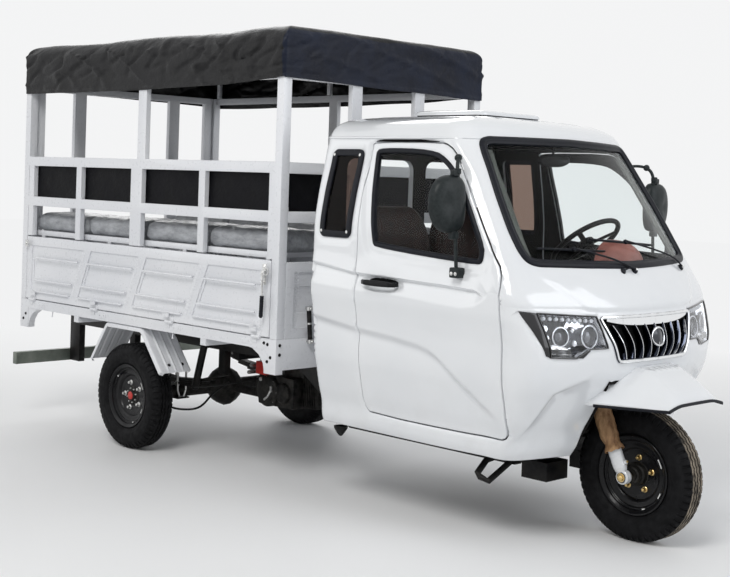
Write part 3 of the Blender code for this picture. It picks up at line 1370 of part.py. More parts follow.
def build_side_frames():
    """Corner posts, rails and slats of one long side, welded flat, with a dark sheet between the rails."""
    top = CANOPY_HEM + ROOF_RAIL_HEIGHT
    for side, word in ((-1, "right"), (1, "left")):
        outer = side * BOX_HALF_WIDTH
        y0, y1 = sorted((outer, side * (BOX_HALF_WIDTH - RAIL_THICKNESS)))
        p0, p1 = sorted((outer, side * (BOX_HALF_WIDTH - CORNER_POST)))
        boxes = []
        for x0, x1 in ((0.0, CORNER_POST), (BOX_LENGTH - CORNER_POST, BOX_LENGTH)):
            boxes.append(((x0, p0, FLOOR_TOP + SEAT_GAP), (x1, p1, top)))
        boxes.append(((0.0, y0, CANOPY_HEM), (BOX_LENGTH, y1, top)))
        boxes.append(((0.0, y0, TOP_RAIL_TOP - TOP_RAIL_HEIGHT), (BOX_LENGTH, y1, TOP_RAIL_TOP)))
        boxes.append(((0.0, y0, MID_RAIL_TOP - MID_RAIL_HEIGHT), (BOX_LENGTH, y1, MID_RAIL_TOP)))
        for number, share in enumerate(SLAT_PLACE_SHARES):
            x = BOX_LENGTH * share
            half = SLAT_WIDTH / 2 * (2 if number == DOUBLE_SLAT else 1)
            low_x = max(x - half, CORNER_POST / 2)
            high_x = min(x + half, BOX_LENGTH - CORNER_POST / 2)
            boxes.append(((low_x, y0, GATE_TOP + RUN_GAP), (high_x, y1, TOP_RAIL_TOP)))
        x = BOX_LENGTH * SIDE_POST_SHARE
        boxes.append(((x - SIDE_POST_WIDTH / 2, y0, TOP_RAIL_TOP), (x + SIDE_POST_WIDTH / 2, y1, top)))
        welded(f"side_frame_{word}", boxes, WHITE_PAINT)
        sheet = side * (BOX_HALF_WIDTH - RAIL_THICKNESS - SEAT_GAP)
        ys = sorted((sheet, sheet - side * INFILL_THICKNESS))
        low = (CORNER_POST + SEAT_GAP, ys[0], MID_RAIL_TOP - MID_RAIL_HEIGHT / 2)
        high = (BOX_LENGTH - CORNER_POST - SEAT_GAP, ys[1], TOP_RAIL_TOP - TOP_RAIL_HEIGHT / 2)
        mesh_object(f"infill_sheet_{word}", *box_shape(low, high), PANEL_SHEET)


def build_end_frames():
    """Posts and rails across the rear entry and across the front."""
    top = CANOPY_HEM + ROOF_RAIL_HEIGHT
    base = FLOOR_TOP + SEAT_GAP
    edge = BOX_HALF_WIDTH - CORNER_POST - SEAT_GAP
    rails = ((TOP_RAIL_TOP - TOP_RAIL_HEIGHT, TOP_RAIL_TOP), (MID_RAIL_TOP - MID_RAIL_HEIGHT, MID_RAIL_TOP))
    rear = [((0.0, -edge, CANOPY_HEM), (RAIL_THICKNESS, edge, top))]
    for side in (-1, 1):
        ys = sorted((side * (BOX_HALF_WIDTH - REAR_POST_WIDTH), side * edge))
        rear.append(((0.0, ys[0], base), (RAIL_THICKNESS, ys[1], top)))
        y = side * REAR_INNER_POST_Y
        half = REAR_INNER_POST_WIDTH / 2
        rear.append(((0.0, y - half, GATE_TOP + RUN_GAP), (RAIL_THICKNESS, y + half, top)))
        ys = sorted((y, side * edge))
        for low, high in rails:
            rear.append(((0.0, ys[0], low), (RAIL_THICKNESS, ys[1], high)))
    welded("rear_frame", rear, WHITE_PAINT)
    x0, x1 = BOX_LENGTH - RAIL_THICKNESS, BOX_LENGTH
    front = [((x0, -edge, CANOPY_HEM), (x1, edge, top))]
    for low, high in rails:
        front.append(((x0, -edge, low), (x1, edge, high)))
    for side in (-1, 1):
        half = FRONT_INNER_POST_WIDTH / 2
        y = side * FRONT_INNER_POST_Y
        front.append(((x0, y - half, GATE_TOP + SEAT_GAP), (x1, y + half, top)))
    welded("front_frame", front, WHITE_PAINT)
    sheet = x0 - SEAT_GAP
    edge_y = edge - RAIL_THICKNESS
    low = (sheet - INFILL_THICKNESS, -edge_y, MID_RAIL_TOP - MID_RAIL_HEIGHT / 2)
    mesh_object(
        "infill_sheet_front",
        *box_shape(low, (sheet, edge_y, TOP_RAIL_TOP - TOP_RAIL_HEIGHT / 2)),
        PANEL_SHEET,
    )


def pressed_panel(name, length, place, pivot):
    """A pressed steel gate: flat border, bays stepped back twice, slanted ribs between the bays.

    place(along, out, z) gives a point; along runs 0 to length and out is 0 on the outer face.
    """
    bottom, top = FLOOR_TOP + RUN_GAP, GATE_TOP
    outline = [(0.0, bottom), (length, bottom), (length, top), (0.0, top)]
    verts, faces = prism_shape(outline, 0.0, GATE_THICKNESS, "Y")
    panel = mesh_object(name, [place(x, y, z) for x, y, z in verts], faces, WHITE_PAINT, pivot)
    bay = (length - GATE_BORDER * 2) / GATE_BAYS
    low_z, high_z = bottom + GATE_BORDER, top - GATE_BORDER
    height = high_z - low_z
    cuts = []
    for number in range(GATE_BAYS):
        first = GATE_BORDER + bay * number
        last = first + bay
        lean_left, lean_right = GATE_RIB_SLANT / 2, GATE_RIB_SLANT / 2
        left, right = first + GATE_RIB_WIDTH / 2, last - GATE_RIB_WIDTH / 2
        if number == 0:
            left, lean_left = first, 0.0
        if number == GATE_BAYS - 1:
            right, lean_right = last, 0.0

        def bay_outline(low_share, high_share, inset):
            corners = []
            for share, reverse in ((low_share, False), (high_share, True)):
                z = low_z + height * share
                slant = share * 2 - 1
                pair = [(left + lean_left * slant + inset, z), (right + lean_right * slant - inset, z)]
                corners += pair[::-1] if reverse else pair
            return corners

        shallow = prism_shape(bay_outline(0.0, 1.0, 0.0), -OVERRUN, GATE_STEP, "Y")
        deep_outline = bay_outline(GATE_BAND_SHARES[0], GATE_BAND_SHARES[1], GATE_BAND_INSET)
        deep = prism_shape(deep_outline, -OVERRUN, GATE_STEP + GATE_DEEP_STEP, "Y")
        for points, cut_faces in (shallow, deep):
            cuts.append(helper("bay_cut", [place(x, y, z) for x, y, z in points], cut_faces))
    combine(panel, cuts, "DIFFERENCE")
    edge = GATE_BORDER / 2
    outline = [(edge, bottom + edge), (length - edge, bottom + edge), (length - edge, top - edge), (edge, top - edge)]
    back = prism_shape(outline, GATE_STEP + GATE_DEEP_STEP + GATE_SKIN, GATE_THICKNESS + OVERRUN, "Y")
    combine(panel, [helper("back_cut", [place(x, y, z) for x, y, z in back[0]], back[1])], "DIFFERENCE")
    return panel


def knuckles(places, hinge_place, on_gate):
    """Hinge barrels with their leaves: the gate's lie beside the floor's on one pin line.

    hinge_place(along, out, z) gives a point; out is measured outward from the box's face.
    """
    pieces = []
    pivot_z = FLOOR_TOP + RUN_GAP / 2
    half = HINGE_LENGTH / 2
    up = 1 if on_gate else -1
    for place in places:
        low = place if on_gate else place - half
        high = low + half - SEAT_GAP
        outline = [(-WELD_LAP, WELD_LAP), (-WELD_LAP, half)]
        outline += [(HINGE_RADIUS / 2, half), (HINGE_RADIUS / 2, HINGE_RADIUS)]
        for i in range(PIPE_STEPS - 1):
            angle = math.pi / 2 - 3 * math.pi / 2 * i / (PIPE_STEPS - 2)
            outline.append((HINGE_OUT + HINGE_RADIUS * math.cos(angle), HINGE_RADIUS * math.sin(angle)))
        outline.append((HINGE_OUT - HINGE_RADIUS * math.cos(math.pi / 4), WELD_LAP))
        verts, faces = prism_shape(outline, low, high, "X")
        pieces.append(helper("knuckle", [hinge_place(x, out, pivot_z + z * up) for x, out, z in verts], faces))
    return pieces


def side_hinge_places():
    return [BOX_LENGTH * share for share in HINGE_SHARES]


def rear_hinge_places():
    span = BOX_HALF_WIDTH - REAR_POST_WIDTH - HINGE_LENGTH
    return [span * share for share in REAR_HINGE_SHARES]


def rear_hinge_place(along, out, z):
    return (-out, along, z)


def side_hinge_place(side):
    def place(along, out, z):
        return (along, side * (BOX_HALF_WIDTH + out), z)

    return place


def build_gates():
    """Drop sides, tailgate and the fixed front panel, all pressed alike."""
    start = CORNER_POST + RUN_GAP
    length = BOX_LENGTH - start * 2
    pivot_z = FLOOR_TOP + RUN_GAP / 2
    for side, word in ((-1, "right"), (1, "left")):

        def place(along, out, z, side=side):
            return (start + along, side * (BOX_HALF_WIDTH - out), z)

        pivot = (BOX_LENGTH / 2, side * (BOX_HALF_WIDTH + HINGE_OUT), pivot_z)
        gate = pressed_panel(f"gate_{word}", length, place, pivot)
        combine(gate, knuckles(side_hinge_places(), side_hinge_place(side), True), "UNION")
    half = BOX_HALF_WIDTH - REAR_POST_WIDTH - RUN_GAP

    def rear_place(along, out, z):
        return (out, -half + along, z)

    tailgate = pressed_panel("tailgate", half * 2, rear_place, (-HINGE_OUT, 0.0, pivot_z))
    combine(tailgate, knuckles(rear_hinge_places(), rear_hinge_place, True), "UNION")
    edge = BOX_HALF_WIDTH - CORNER_POST - SEAT_GAP

    def front_place(along, out, z):
        return (BOX_LENGTH - out, -edge + along, z - RUN_GAP + SEAT_GAP)

    pressed_panel("front_bulkhead", edge * 2, front_place, (0.0, 0.0, 0.0))


def build_stays():
    """Slim struts between the front panel and the apron, on two short bosses each."""
    x = BOX_LENGTH + STAY_STANDOFF
    top_z = FLOOR_TOP + STAY_TOP_RISE
    foot_z = (LEG_BOTTOM + APRON_RISE + SILL_BOTTOM) / 2
    for side, word in ((-1, "right"), (1, "left")):
        top = (x, side * STAY_TOP_Y, top_z)
        foot = (x, side * STAY_FOOT_Y, foot_z)
        stay = mesh_object(f"box_stay_{word}", *rod_shape(foot, top, STAY_RADIUS, PIPE_STEPS), BLACK_STEEL)
        bosses = []
        for end_x, end_y, end_z in (top, foot):
            seat = (BOX_LENGTH + SEAT_GAP, end_y, end_z)
            tip = (end_x + STAY_BOSS_RADIUS, end_y, end_z)
            bosses.append(helper("stay_boss", *rod_shape(seat, tip, STAY_BOSS_RADIUS, PIPE_STEPS)))
        combine(stay, bosses, "UNION")
        smooth(stay)


def build_benches():
    """Welded tube benches along both sides, with a flat cushion on each."""
    x0, x1 = CORNER_POST + RUN_GAP, BOX_LENGTH - CORNER_POST - RUN_GAP
    low_z, top = FLOOR_TOP + SEAT_GAP, BENCH_TOP
    for side, word in ((-1, "right"), (1, "left")):
        y0, y1 = sorted((side * BENCH_OUTER_Y, side * BENCH_INNER_Y))
        boxes = []
        for y in (y0, y1 - BENCH_TUBE):
            boxes.append(((x0, y, top - BENCH_TUBE), (x1, y + BENCH_TUBE, top)))
        for share in BENCH_LEG_SHARES:
            x = x0 + (x1 - x0) * share
            boxes.append(((x, y0, top - BENCH_TUBE), (x + BENCH_TUBE, y1, top)))
            for y in (y0, y1 - BENCH_TUBE):
                boxes.append(((x, y, low_z), (x + BENCH_TUBE, y + BENCH_TUBE, top)))
        welded(f"bench_frame_{word}", boxes, WHITE_PAINT)
        cushion = box_shape((x0, y0, top + SEAT_GAP), (x1, y1, top + CUSHION_HEIGHT))
        mesh_object(f"bench_cushion_{word}", *cushion, CUSHION_COVER)


def build_canopy_bows():
    """Hoops that stand on the roof rails and carry the fabric, tied by three lengthwise bars."""
    low = CANOPY_HEM + ROOF_RAIL_HEIGHT + SEAT_GAP
    top = CANOPY_TOP - CANOPY_THICKNESS - SEAT_GAP
    half = BOX_HALF_WIDTH - CANOPY_SHOULDER
    leg = BOX_HALF_WIDTH - RAIL_THICKNESS
    knee_z = top - CANOPY_SHOULDER + BOW_WIDTH
    boxes = []
    places = [BOX_LENGTH * share - BOW_WIDTH / 2 for share in BOW_SHARES]
    for x in places:
        boxes.append(((x, -half, top - BOW_WIDTH), (x + BOW_WIDTH, half, top)))
        for side in (-1, 1):
            knee = sorted((side * leg, side * (half - BOW_WIDTH)))
            shin = sorted((side * leg, side * (leg - BOW_WIDTH)))
            rise = sorted((side * half, side * (half - BOW_WIDTH)))
            boxes.append(((x, knee[0], top - CANOPY_SHOULDER), (x + BOW_WIDTH, knee[1], knee_z)))
            boxes.append(((x, shin[0], low), (x + BOW_WIDTH, shin[1], knee_z)))
            boxes.append(((x, rise[0], top - CANOPY_SHOULDER), (x + BOW_WIDTH, rise[1], top)))
    for y in (-half, -BOW_WIDTH / 2, half - BOW_WIDTH):
        boxes.append(((places[0], y, top - BOW_WIDTH), (places[-1] + BOW_WIDTH, y + BOW_WIDTH, top)))
    welded("canopy_bows", boxes, WHITE_PAINT)


def canopy_ring(x, drop, inset, hem):
    """Cross-section of the canopy at one station, from hem to hem over the crown."""
    half = BOX_HALF_WIDTH + CANOPY_OVERHANG - inset
    top = CANOPY_TOP - drop - inset
    spring = top - CANOPY_SHOULDER
    points = [(half, hem), (half, (CANOPY_HEM + spring) / 2)]
    for i in range(4):
        angle = math.pi / 2 * i / 3
        across = half - CANOPY_SHOULDER * (1 - math.cos(angle))
        points.append((across, top - CANOPY_SHOULDER * (1 - math.sin(angle))))
    points.append((half / 2, top + CANOPY_CROWN * 3 / 4))
    left = [(x, y, z) for y, z in points]
    return left + [(x, 0.0, top + CANOPY_CROWN)] + [(a, -b, c) for a, b, c in reversed(left)]


def canopy_hood(inset, hem):
    """The canopy's outer or inner form: upright ends that round over into the roof."""
    low_x = -CANOPY_OVERHANG + inset
    high_x = BOX_LENGTH + CANOPY_OVERHANG - inset
    stations = [(run * CANOPY_END_RUN, drop * CANOPY_END_DROP) for run, drop in CANOPY_END_SHARES]
    places = [(low_x + run, drop) for run, drop in stations]
    places += [(high_x - run, drop) for run, drop in reversed(stations)]
    return loft_shape([canopy_ring(x, drop, inset, hem) for x, drop in places])


def build_canopy():
    """A closed skin open below, with front and rear skirts."""
    canopy = mesh_object("canopy", *canopy_hood(0.0, CANOPY_HEM), CANVAS)
    hollow = helper("canopy_hollow", *canopy_hood(CANOPY_THICKNESS, CANOPY_HEM - OVERRUN))
    combine(canopy, [hollow], "DIFFERENCE")
    smooth(canopy, 60.0)


def guard_section(side):
    """Cross-section of a mudguard as (y, height above its inner face), with two pressed ribs and a lip."""
    width = GUARD_OUTER_Y - GUARD_INNER_Y
    upper = [(GUARD_INNER_Y, GUARD_THICKNESS)]
    for share in GUARD_RIB_SHARES:
        y = GUARD_INNER_Y + width * share
        half = GUARD_RIB_WIDTH / 2
        upper += [(y - half, GUARD_THICKNESS), (y, GUARD_THICKNESS + GUARD_RIB_HEIGHT)]
        upper += [(y + half, GUARD_THICKNESS)]
    upper += [(GUARD_OUTER_Y, GUARD_THICKNESS)]
    lower = [(GUARD_OUTER_Y, -GUARD_LIP), (GUARD_OUTER_Y - GUARD_THICKNESS, -GUARD_LIP)]
    lower += [(GUARD_OUTER_Y - GUARD_THICKNESS, 0.0), (GUARD_INNER_Y, 0.0)]
    return [(y * side, height) for y, height in upper + lower]


def build_mudguards():
    """Half hoops over the rear wheels; the ribs' crests rest against the sills."""
    base = GUARD_RADIUS - GUARD_THICKNESS - GUARD_RIB_HEIGHT
    span = 180 - 2 * GUARD_END_ANGLE
    for side, word in ((-1, "right"), (1, "left")):
        rings = []
        for i in range(GUARD_STEPS + 1):
            angle = math.radians(GUARD_END_ANGLE + span * i / GUARD_STEPS)
            ring = []
            for y, height in guard_section(side):
                radius = base + height
                ring.append((REAR_AXLE_X + radius * math.cos(angle), y, TYRE_RADIUS + radius * math.sin(angle)))
            rings.append(ring)
        mesh_object(f"mudguard_{word}", *loft_shape(rings), WHITE_PAINT)


def build_door_handles():
    handle_low = DOOR_BOTTOM + HANDLE_RISE - HANDLE_HEIGHT / 2
    rear = DOOR_REAR + HANDLE_SETBACK
    front = rear + HANDLE_LENGTH
    for side, word in ((-1, "right"), (1, "left")):
        pivot = (DOOR_FRONT, DOOR_HINGE_Y * side, DOOR_BOTTOM)
        tip = CAB_HALF_WIDTH + HANDLE_STAND
        outline = round_rectangle((rear, handle_low), (front, handle_low + HANDLE_HEIGHT), HANDLE_HEIGHT * 4 / 9)
        ys = sorted((side * (tip - HANDLE_THICKNESS), side * tip))
        grip = prism_shape(outline, ys[0], ys[1], "Y")
        handle = mesh_object(f"door_handle_{word}", *grip, BLACK_PLASTIC, pivot)
        feet = []
        ys = sorted((side * (CAB_HALF_WIDTH - OVERRUN), side * (tip - HANDLE_THICKNESS / 2)))
        for x in (rear + HANDLE_HEIGHT / 4, front - HANDLE_HEIGHT * 5 / 4):
            low = (x, ys[0], handle_low + HANDLE_HEIGHT / 6)
            high = (x + HANDLE_HEIGHT, ys[1], handle_low + HANDLE_HEIGHT * 5 / 6)
            feet.append(helper("handle_foot", *box_shape(low, high)))
        combine(handle, feet, "UNION")
        combine(handle, [cab_solid("handle_seat", -SEAT_GAP)], "DIFFERENCE")


def build_mirrors():
    """Shell on an upright rod that bends back to the door at both ends."""
    x = DOOR_FRONT - MIRROR_SETBACK
    rod_x = x + MIRROR_DEPTH / 4
    centre_y = CAB_HALF_WIDTH + MIRROR_OUT
    rod_y = CAB_HALF_WIDTH + MIRROR_ROD_OUT
    centre_z = DOOR_TOP - MIRROR_DROP
    foot_z = DOOR_TOP - MIRROR_FOOT_DROP
    head_z = DOOR_TOP - MIRROR_HEAD_DROP
    head_x = DOOR_FRONT - MIRROR_HEAD_SETBACK
    head_y = CAB_HALF_WIDTH - MIRROR_HEAD_INSET
    bend = MIRROR_ROD_RADIUS * 3
    for side, word in ((-1, "right"), (1, "left")):
        rings = []
        for level_share, size_share in MIRROR_LEVEL_SHARES:
            ring = []
            for i in range(MIRROR_STEPS):
                angle = 2 * math.pi * i / MIRROR_STEPS
                across = math.cos(angle)
                if across < 0:
                    across *= MIRROR_INNER_SHARE
                y = centre_y + MIRROR_HALF_WIDTH * across * size_share
                z = centre_z + MIRROR_HALF_HEIGHT * math.sin(angle) * size_share
                ring.append((x + MIRROR_DEPTH * level_share, side * y, z))
            rings.append(ring)
        pivot = (DOOR_FRONT, DOOR_HINGE_Y * side, DOOR_BOTTOM)
        mirror = mesh_object(f"mirror_{word}", *loft_shape(rings), BLACK_PLASTIC, pivot)
        route = [
            (head_x, side * head_y, head_z),
            (head_x, side * (head_y + OVERRUN * 2), head_z),
            (head_x + bend, side * (rod_y - MIRROR_ROD_RADIUS), head_z),
            (rod_x, side * rod_y, head_z - bend),
            (rod_x, side * rod_y, centre_z),
            (rod_x, side * rod_y, foot_z + bend),
            (rod_x, side * (CAB_HALF_WIDTH - CAB_WALL * 2), foot_z),
        ]
        combine(mirror, [helper("mirror_rod", *tube_shape(route, MIRROR_ROD_RADIUS, PIPE_STEPS))], "UNION")
        combine(mirror, [cab_solid("mirror_seat", -SEAT_GAP)], "DIFFERENCE")
        smooth(mirror)


def build_cab_seat():
    """Bench seat across the cab with its back, on a boxed base."""
    base = CAB_BOTTOM + CAB_WALL + SEAT_GAP
    rear = CAB_REAR + SEAT_STANDOFF
    front = rear + SEAT_LENGTH
    top = CAB_BOTTOM + SEAT_RISE
    back_top = CAB_TOP - SEAT_BACK_DROP
    outline = [
        (rear - SEAT_BACK_DEPTH / 2, base),
        (front - SEAT_BACK_DEPTH, base),
        (front - SEAT_BACK_DEPTH / 2, top - SEAT_CUSHION),
        (front, top - SEAT_CUSHION),
        (front, top - SEAT_CUSHION / 5),
        (front - SEAT_CUSHION / 3, top),
        (rear + SEAT_BACK_DEPTH, top - SEAT_CUSHION / 5),
        (rear + SEAT_BACK_DEPTH / 2, back_top),
        (rear - SEAT_BACK_DEPTH / 3, back_top),
    ]
    mesh_object("cab_seat", *prism_shape(outline, -SEAT_HALF, SEAT_HALF, "Y"), SEAT_COVER)


def steering_axis():
    tilt = math.radians(COLUMN_TILT)
    return Vector((-math.cos(tilt), 0.0, math.sin(tilt)))


def steering_wheel_centre():
    x = ARCH_REAR - DASH_LEAD - STEERING_WHEEL_LEAD
    return Vector((x, CAB_HALF_WIDTH - STEERING_WHEEL_INSET, DASH_TOP + STEERING_WHEEL_RISE))


def build_dashboard():
    """Dash across the nose with the steering column rising out of it."""
    rear = ARCH_REAR - DASH_LEAD
    front = CAB_NOSE - DASH_NOSE_GAP
    bottom = DASH_TOP - DASH_HEIGHT
    outline = [
        (rear, bottom),
        (front, bottom),
        (front, DASH_TOP - DASH_SLOPE),
        (front - DASH_SLOPE * 2, DASH_TOP),
        (rear + DASH_SLOPE, DASH_TOP),
        (rear, DASH_TOP - DASH_SLOPE),
    ]
    dash = mesh_object("dashboard", *prism_shape(outline, -DASH_HALF, DASH_HALF, "Y"), BLACK_PLASTIC)
    axis = steering_axis()
    column_top = steering_wheel_centre() - axis * COLUMN_RADIUS * 3 / 2
    column = rod_shape(column_top, column_top - axis * COLUMN_LENGTH, COLUMN_RADIUS, PIPE_STEPS)
    combine(dash, [helper("column", *column)], "UNION")
    combine(dash, [cab_solid("dash_limit", CAB_WALL + SEAT_GAP)], "INTERSECT")
    combine(dash, [arch_cutter(CAB_WALL + SEAT_GAP)], "DIFFERENCE")


def build_steering_wheel():
    axis = steering_axis()
    centre = steering_wheel_centre()
    turn = axis.to_track_quat("Z", "Y")
    verts = []
    faces = []
    sides = STEERING_RIM_STEPS
    for i in range(STEERING_STEPS):
        around = 2 * math.pi * i / STEERING_STEPS
        for k in range(sides):
            tube = 2 * math.pi * k / sides
            reach = STEERING_WHEEL_RADIUS + STEERING_RIM_RADIUS * math.cos(tube)
            rise = STEERING_RIM_RADIUS * math.sin(tube)
            local = Vector((reach * math.cos(around), reach * math.sin(around), rise))
            verts.append(centre + turn @ local)
    for i in range(STEERING_STEPS):
        here, ahead = i * sides, (i + 1) % STEERING_STEPS * sides
        for k in range(sides):
            after = (k + 1) % sides
            faces.append((here + k, here + after, ahead + after, ahead + k))
    wheel = mesh_object("steering_wheel", verts, faces, BLACK_PLASTIC, centre)
    hub_foot = centre - axis * (COLUMN_RADIUS * 3 / 2 - SEAT_GAP)
    pieces = [rod_shape(hub_foot, centre + axis * COLUMN_RADIUS / 2, COLUMN_RADIUS * 2, PIPE_STEPS)]
    for degrees in STEERING_SPOKES:
        around = math.radians(degrees)
        end = turn @ Vector((math.cos(around), math.sin(around), 0.0)) * STEERING_WHEEL_RADIUS
        pieces.append(rod_shape(centre, centre + end, STEERING_RIM_RADIUS * 4 / 5, sides))
    combine(wheel, [helper("wheel_piece", *piece) for piece in pieces], "UNION")
    smooth(wheel)


build_cab_panels()
build_glass()
build_lamps()
build_grille()
build_roof_hatch()
build_fender()
build_running_gear()
build_chassis()
build_bumper()
build_fork()
build_cargo_floor()
build_side_frames()
build_end_frames()
build_gates()
build_stays()
build_benches()
build_canopy_bows()
build_canopy()
build_mudguards()
build_door_handles()
build_mirrors()
build_cab_seat()
build_dashboard()
build_steering_wheel()
bpy.context.view_layer.update()
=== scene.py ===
"""Dressed scene of the enclosed cargo tricycle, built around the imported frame."""

import json
import math

import bmesh
import bpy
import numpy as np
from mathutils import Matrix, Vector, noise
from mathutils.geometry import delaunay_2d_cdt

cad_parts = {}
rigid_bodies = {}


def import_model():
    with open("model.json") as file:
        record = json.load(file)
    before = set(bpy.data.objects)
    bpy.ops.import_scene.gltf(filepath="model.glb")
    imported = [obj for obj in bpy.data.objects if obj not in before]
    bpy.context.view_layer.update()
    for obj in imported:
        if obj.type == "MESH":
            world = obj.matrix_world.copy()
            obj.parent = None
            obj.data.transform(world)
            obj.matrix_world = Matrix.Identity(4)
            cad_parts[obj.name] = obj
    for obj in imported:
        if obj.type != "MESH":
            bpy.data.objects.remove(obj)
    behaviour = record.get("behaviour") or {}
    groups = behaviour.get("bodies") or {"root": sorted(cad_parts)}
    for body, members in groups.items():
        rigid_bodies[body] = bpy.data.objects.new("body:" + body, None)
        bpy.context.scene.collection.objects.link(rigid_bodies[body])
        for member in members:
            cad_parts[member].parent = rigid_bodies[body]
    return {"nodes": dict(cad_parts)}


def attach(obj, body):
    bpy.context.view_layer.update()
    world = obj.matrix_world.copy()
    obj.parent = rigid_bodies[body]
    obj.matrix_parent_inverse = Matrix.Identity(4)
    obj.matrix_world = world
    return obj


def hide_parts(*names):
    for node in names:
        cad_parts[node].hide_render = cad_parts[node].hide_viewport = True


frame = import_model()
bpy.context.view_layer.update()
NODES = frame["nodes"]
# x of the shared frame's origin, in the vehicle's own coordinates, which start at the box's rear end
MID = 2.053
SIDES = ((1, "left"), (-1, "right"))
AXLE_FRONT, AXLE_REAR, TYRE_RADIUS, TRACK_HALF = 3.8885, 1.065, 0.284, 0.624
# outer faces of the box's sill and of its drop sides, and the places of the hinges along them
SILL_Y, GATE_Y = 0.713, 0.731
HINGES_X = (0.16, 0.79, 1.47, 2.17)
for startup in [o for o in bpy.data.objects if o.name in ("Cube", "Light", "Camera")]:
    bpy.data.objects.remove(startup)


def smoothstep(a, b, x):
    """0 before a, 1 past b, and a smooth step between them."""
    t = np.clip((x - a) / (b - a), 0.0, 1.0)
    return t * t * (3 - 2 * t)


def lattice(n, m, across=False, around=False):
    """Quads of a grid of n rows with m points each; across closes the rows, around joins the last to the first."""
    return [
        (i * m + j, i * m + (j + 1) % m, (i + 1) % n * m + (j + 1) % m, (i + 1) % n * m + j)
        for i in range(n if around else n - 1)
        for j in range(m if across else m - 1)
    ]


def caps(n, m):
    """The two end faces of a lattice whose rows are closed."""
    return [tuple(range(m))[::-1], tuple(range((n - 1) * m, n * m))]


def with_back(F, count):
    """Faces, and the same faces turned round on the points that follow the first count points."""
    return F + [tuple(i + count for i in f[::-1]) for f in F]


def soften(mesh, angle):
    """Smooth shading with sharp edges past an angle."""
    mesh.shade_smooth()
    mesh.set_sharp_from_angle(angle=math.radians(angle))


def clean(o, smooth=0.0, merge=0.0):
    """Joins points closer than merge, turns the faces outward and shades them smooth."""
    bm = bmesh.new()
    bm.from_mesh(o.data)
    if merge:
        bmesh.ops.remove_doubles(bm, verts=bm.verts, dist=merge)
    bmesh.ops.recalc_face_normals(bm, faces=bm.faces)
    bm.to_mesh(o.data)
    bm.free()
    if smooth:
        soften(o.data, smooth)


# ---------------------------------------------------------------- materials


class Nodes:
    """A material's node tree, with short calls for the nodes that the looks below use."""

    def __init__(self, name):
        self.m = bpy.data.materials.new(name)
        self.m.use_nodes = True
        self.t = self.m.node_tree
        self.b = self.t.nodes["Principled BSDF"]
        self.co = self.t.nodes.new("ShaderNodeTexCoord").outputs["Object"]

    def add(self, kind, **sockets):
        """A node with its inputs set or linked."""
        n = self.t.nodes.new("ShaderNode" + kind)
        for k, v in sockets.items():
            s = n.inputs[k.replace("_", " ")]
            if hasattr(v, "is_output"):
                self.t.links.new(v, s)
            else:
                s.default_value = v
        return n

    def noise(self, scale, detail=3.0, rough=0.5, stretch=None, offset=0.0):
        """Noise in object coordinates."""
        co = self.co
        if stretch or offset:
            mp = self.add("Mapping", Vector=co)
            mp.inputs["Scale"].default_value = stretch or (1, 1, 1)
            mp.inputs["Location"].default_value = (offset, offset, offset)
            co = mp.outputs[0]
        return self.add("TexNoise", Vector=co, Scale=scale, Detail=detail, Roughness=rough).outputs["Fac"]

    def ramp(self, fac, a, b, lo=0.35, hi=0.65):
        """Colour a at lo to colour b at hi."""
        n = self.t.nodes.new("ShaderNodeValToRGB")
        self.t.links.new(fac, n.inputs["Fac"])
        n.color_ramp.elements[0].position = lo
        n.color_ramp.elements[0].color = (*a, 1)
        n.color_ramp.elements[1].position = hi
        n.color_ramp.elements[1].color = (*b, 1)
        return n.outputs["Color"]

    def span(self, fac, lo, hi, a, b):
        """Value a at lo to value b at hi."""
        n = self.t.nodes.new("ShaderNodeMapRange")
        self.t.links.new(fac, n.inputs["Value"])
        for k, v in (("From Min", lo), ("From Max", hi), ("To Min", a), ("To Max", b)):
            n.inputs[k].default_value = v
        return n.outputs["Result"]

    def mix(self, fac, a, b):
        """Colour a mixed with colour b."""
        n = self.t.nodes.new("ShaderNodeMix")
        n.data_type = "RGBA"
        for s, v in ((n.inputs["Factor"], fac), (n.inputs[6], a), (n.inputs[7], b)):
            if hasattr(v, "is_output"):
                self.t.links.new(v, s)
            else:
                s.default_value = (*v, 1) if isinstance(v, tuple) else v
        return n.outputs[2]

    def math(self, op, a, b=None):
        """One sum or comparison."""
        n = self.t.nodes.new("ShaderNodeMath")
        n.operation = op
        for s, v in zip(n.inputs, (a, b)):
            if v is None:
                continue
            if hasattr(v, "is_output"):
                self.t.links.new(v, s)
            else:
                s.default_value = v
        return n.outputs[0]

    def bump(self, heights):
        """Bumps of (height, strength, distance), one on the other."""
        last = None
        for height, strength, distance in heights:
            n = self.add("Bump", Height=height)
            n.inputs["Strength"].default_value = strength
            n.inputs["Distance"].default_value = distance
            if last:
                self.t.links.new(last, n.inputs["Normal"])
            last = n.outputs["Normal"]
        self.t.links.new(last, self.b.inputs["Normal"])

    def set(self, **values):
        """Sets or links the shader's inputs and returns the material."""
        for k, v in values.items():
            s = self.b.inputs[k.replace("_", " ")]
            if hasattr(v, "is_output"):
                self.t.links.new(v, s)
            else:
                s.default_value = (*v, 1) if isinstance(v, tuple) and len(v) == 3 and s.type == "RGBA" else v
        return self.m


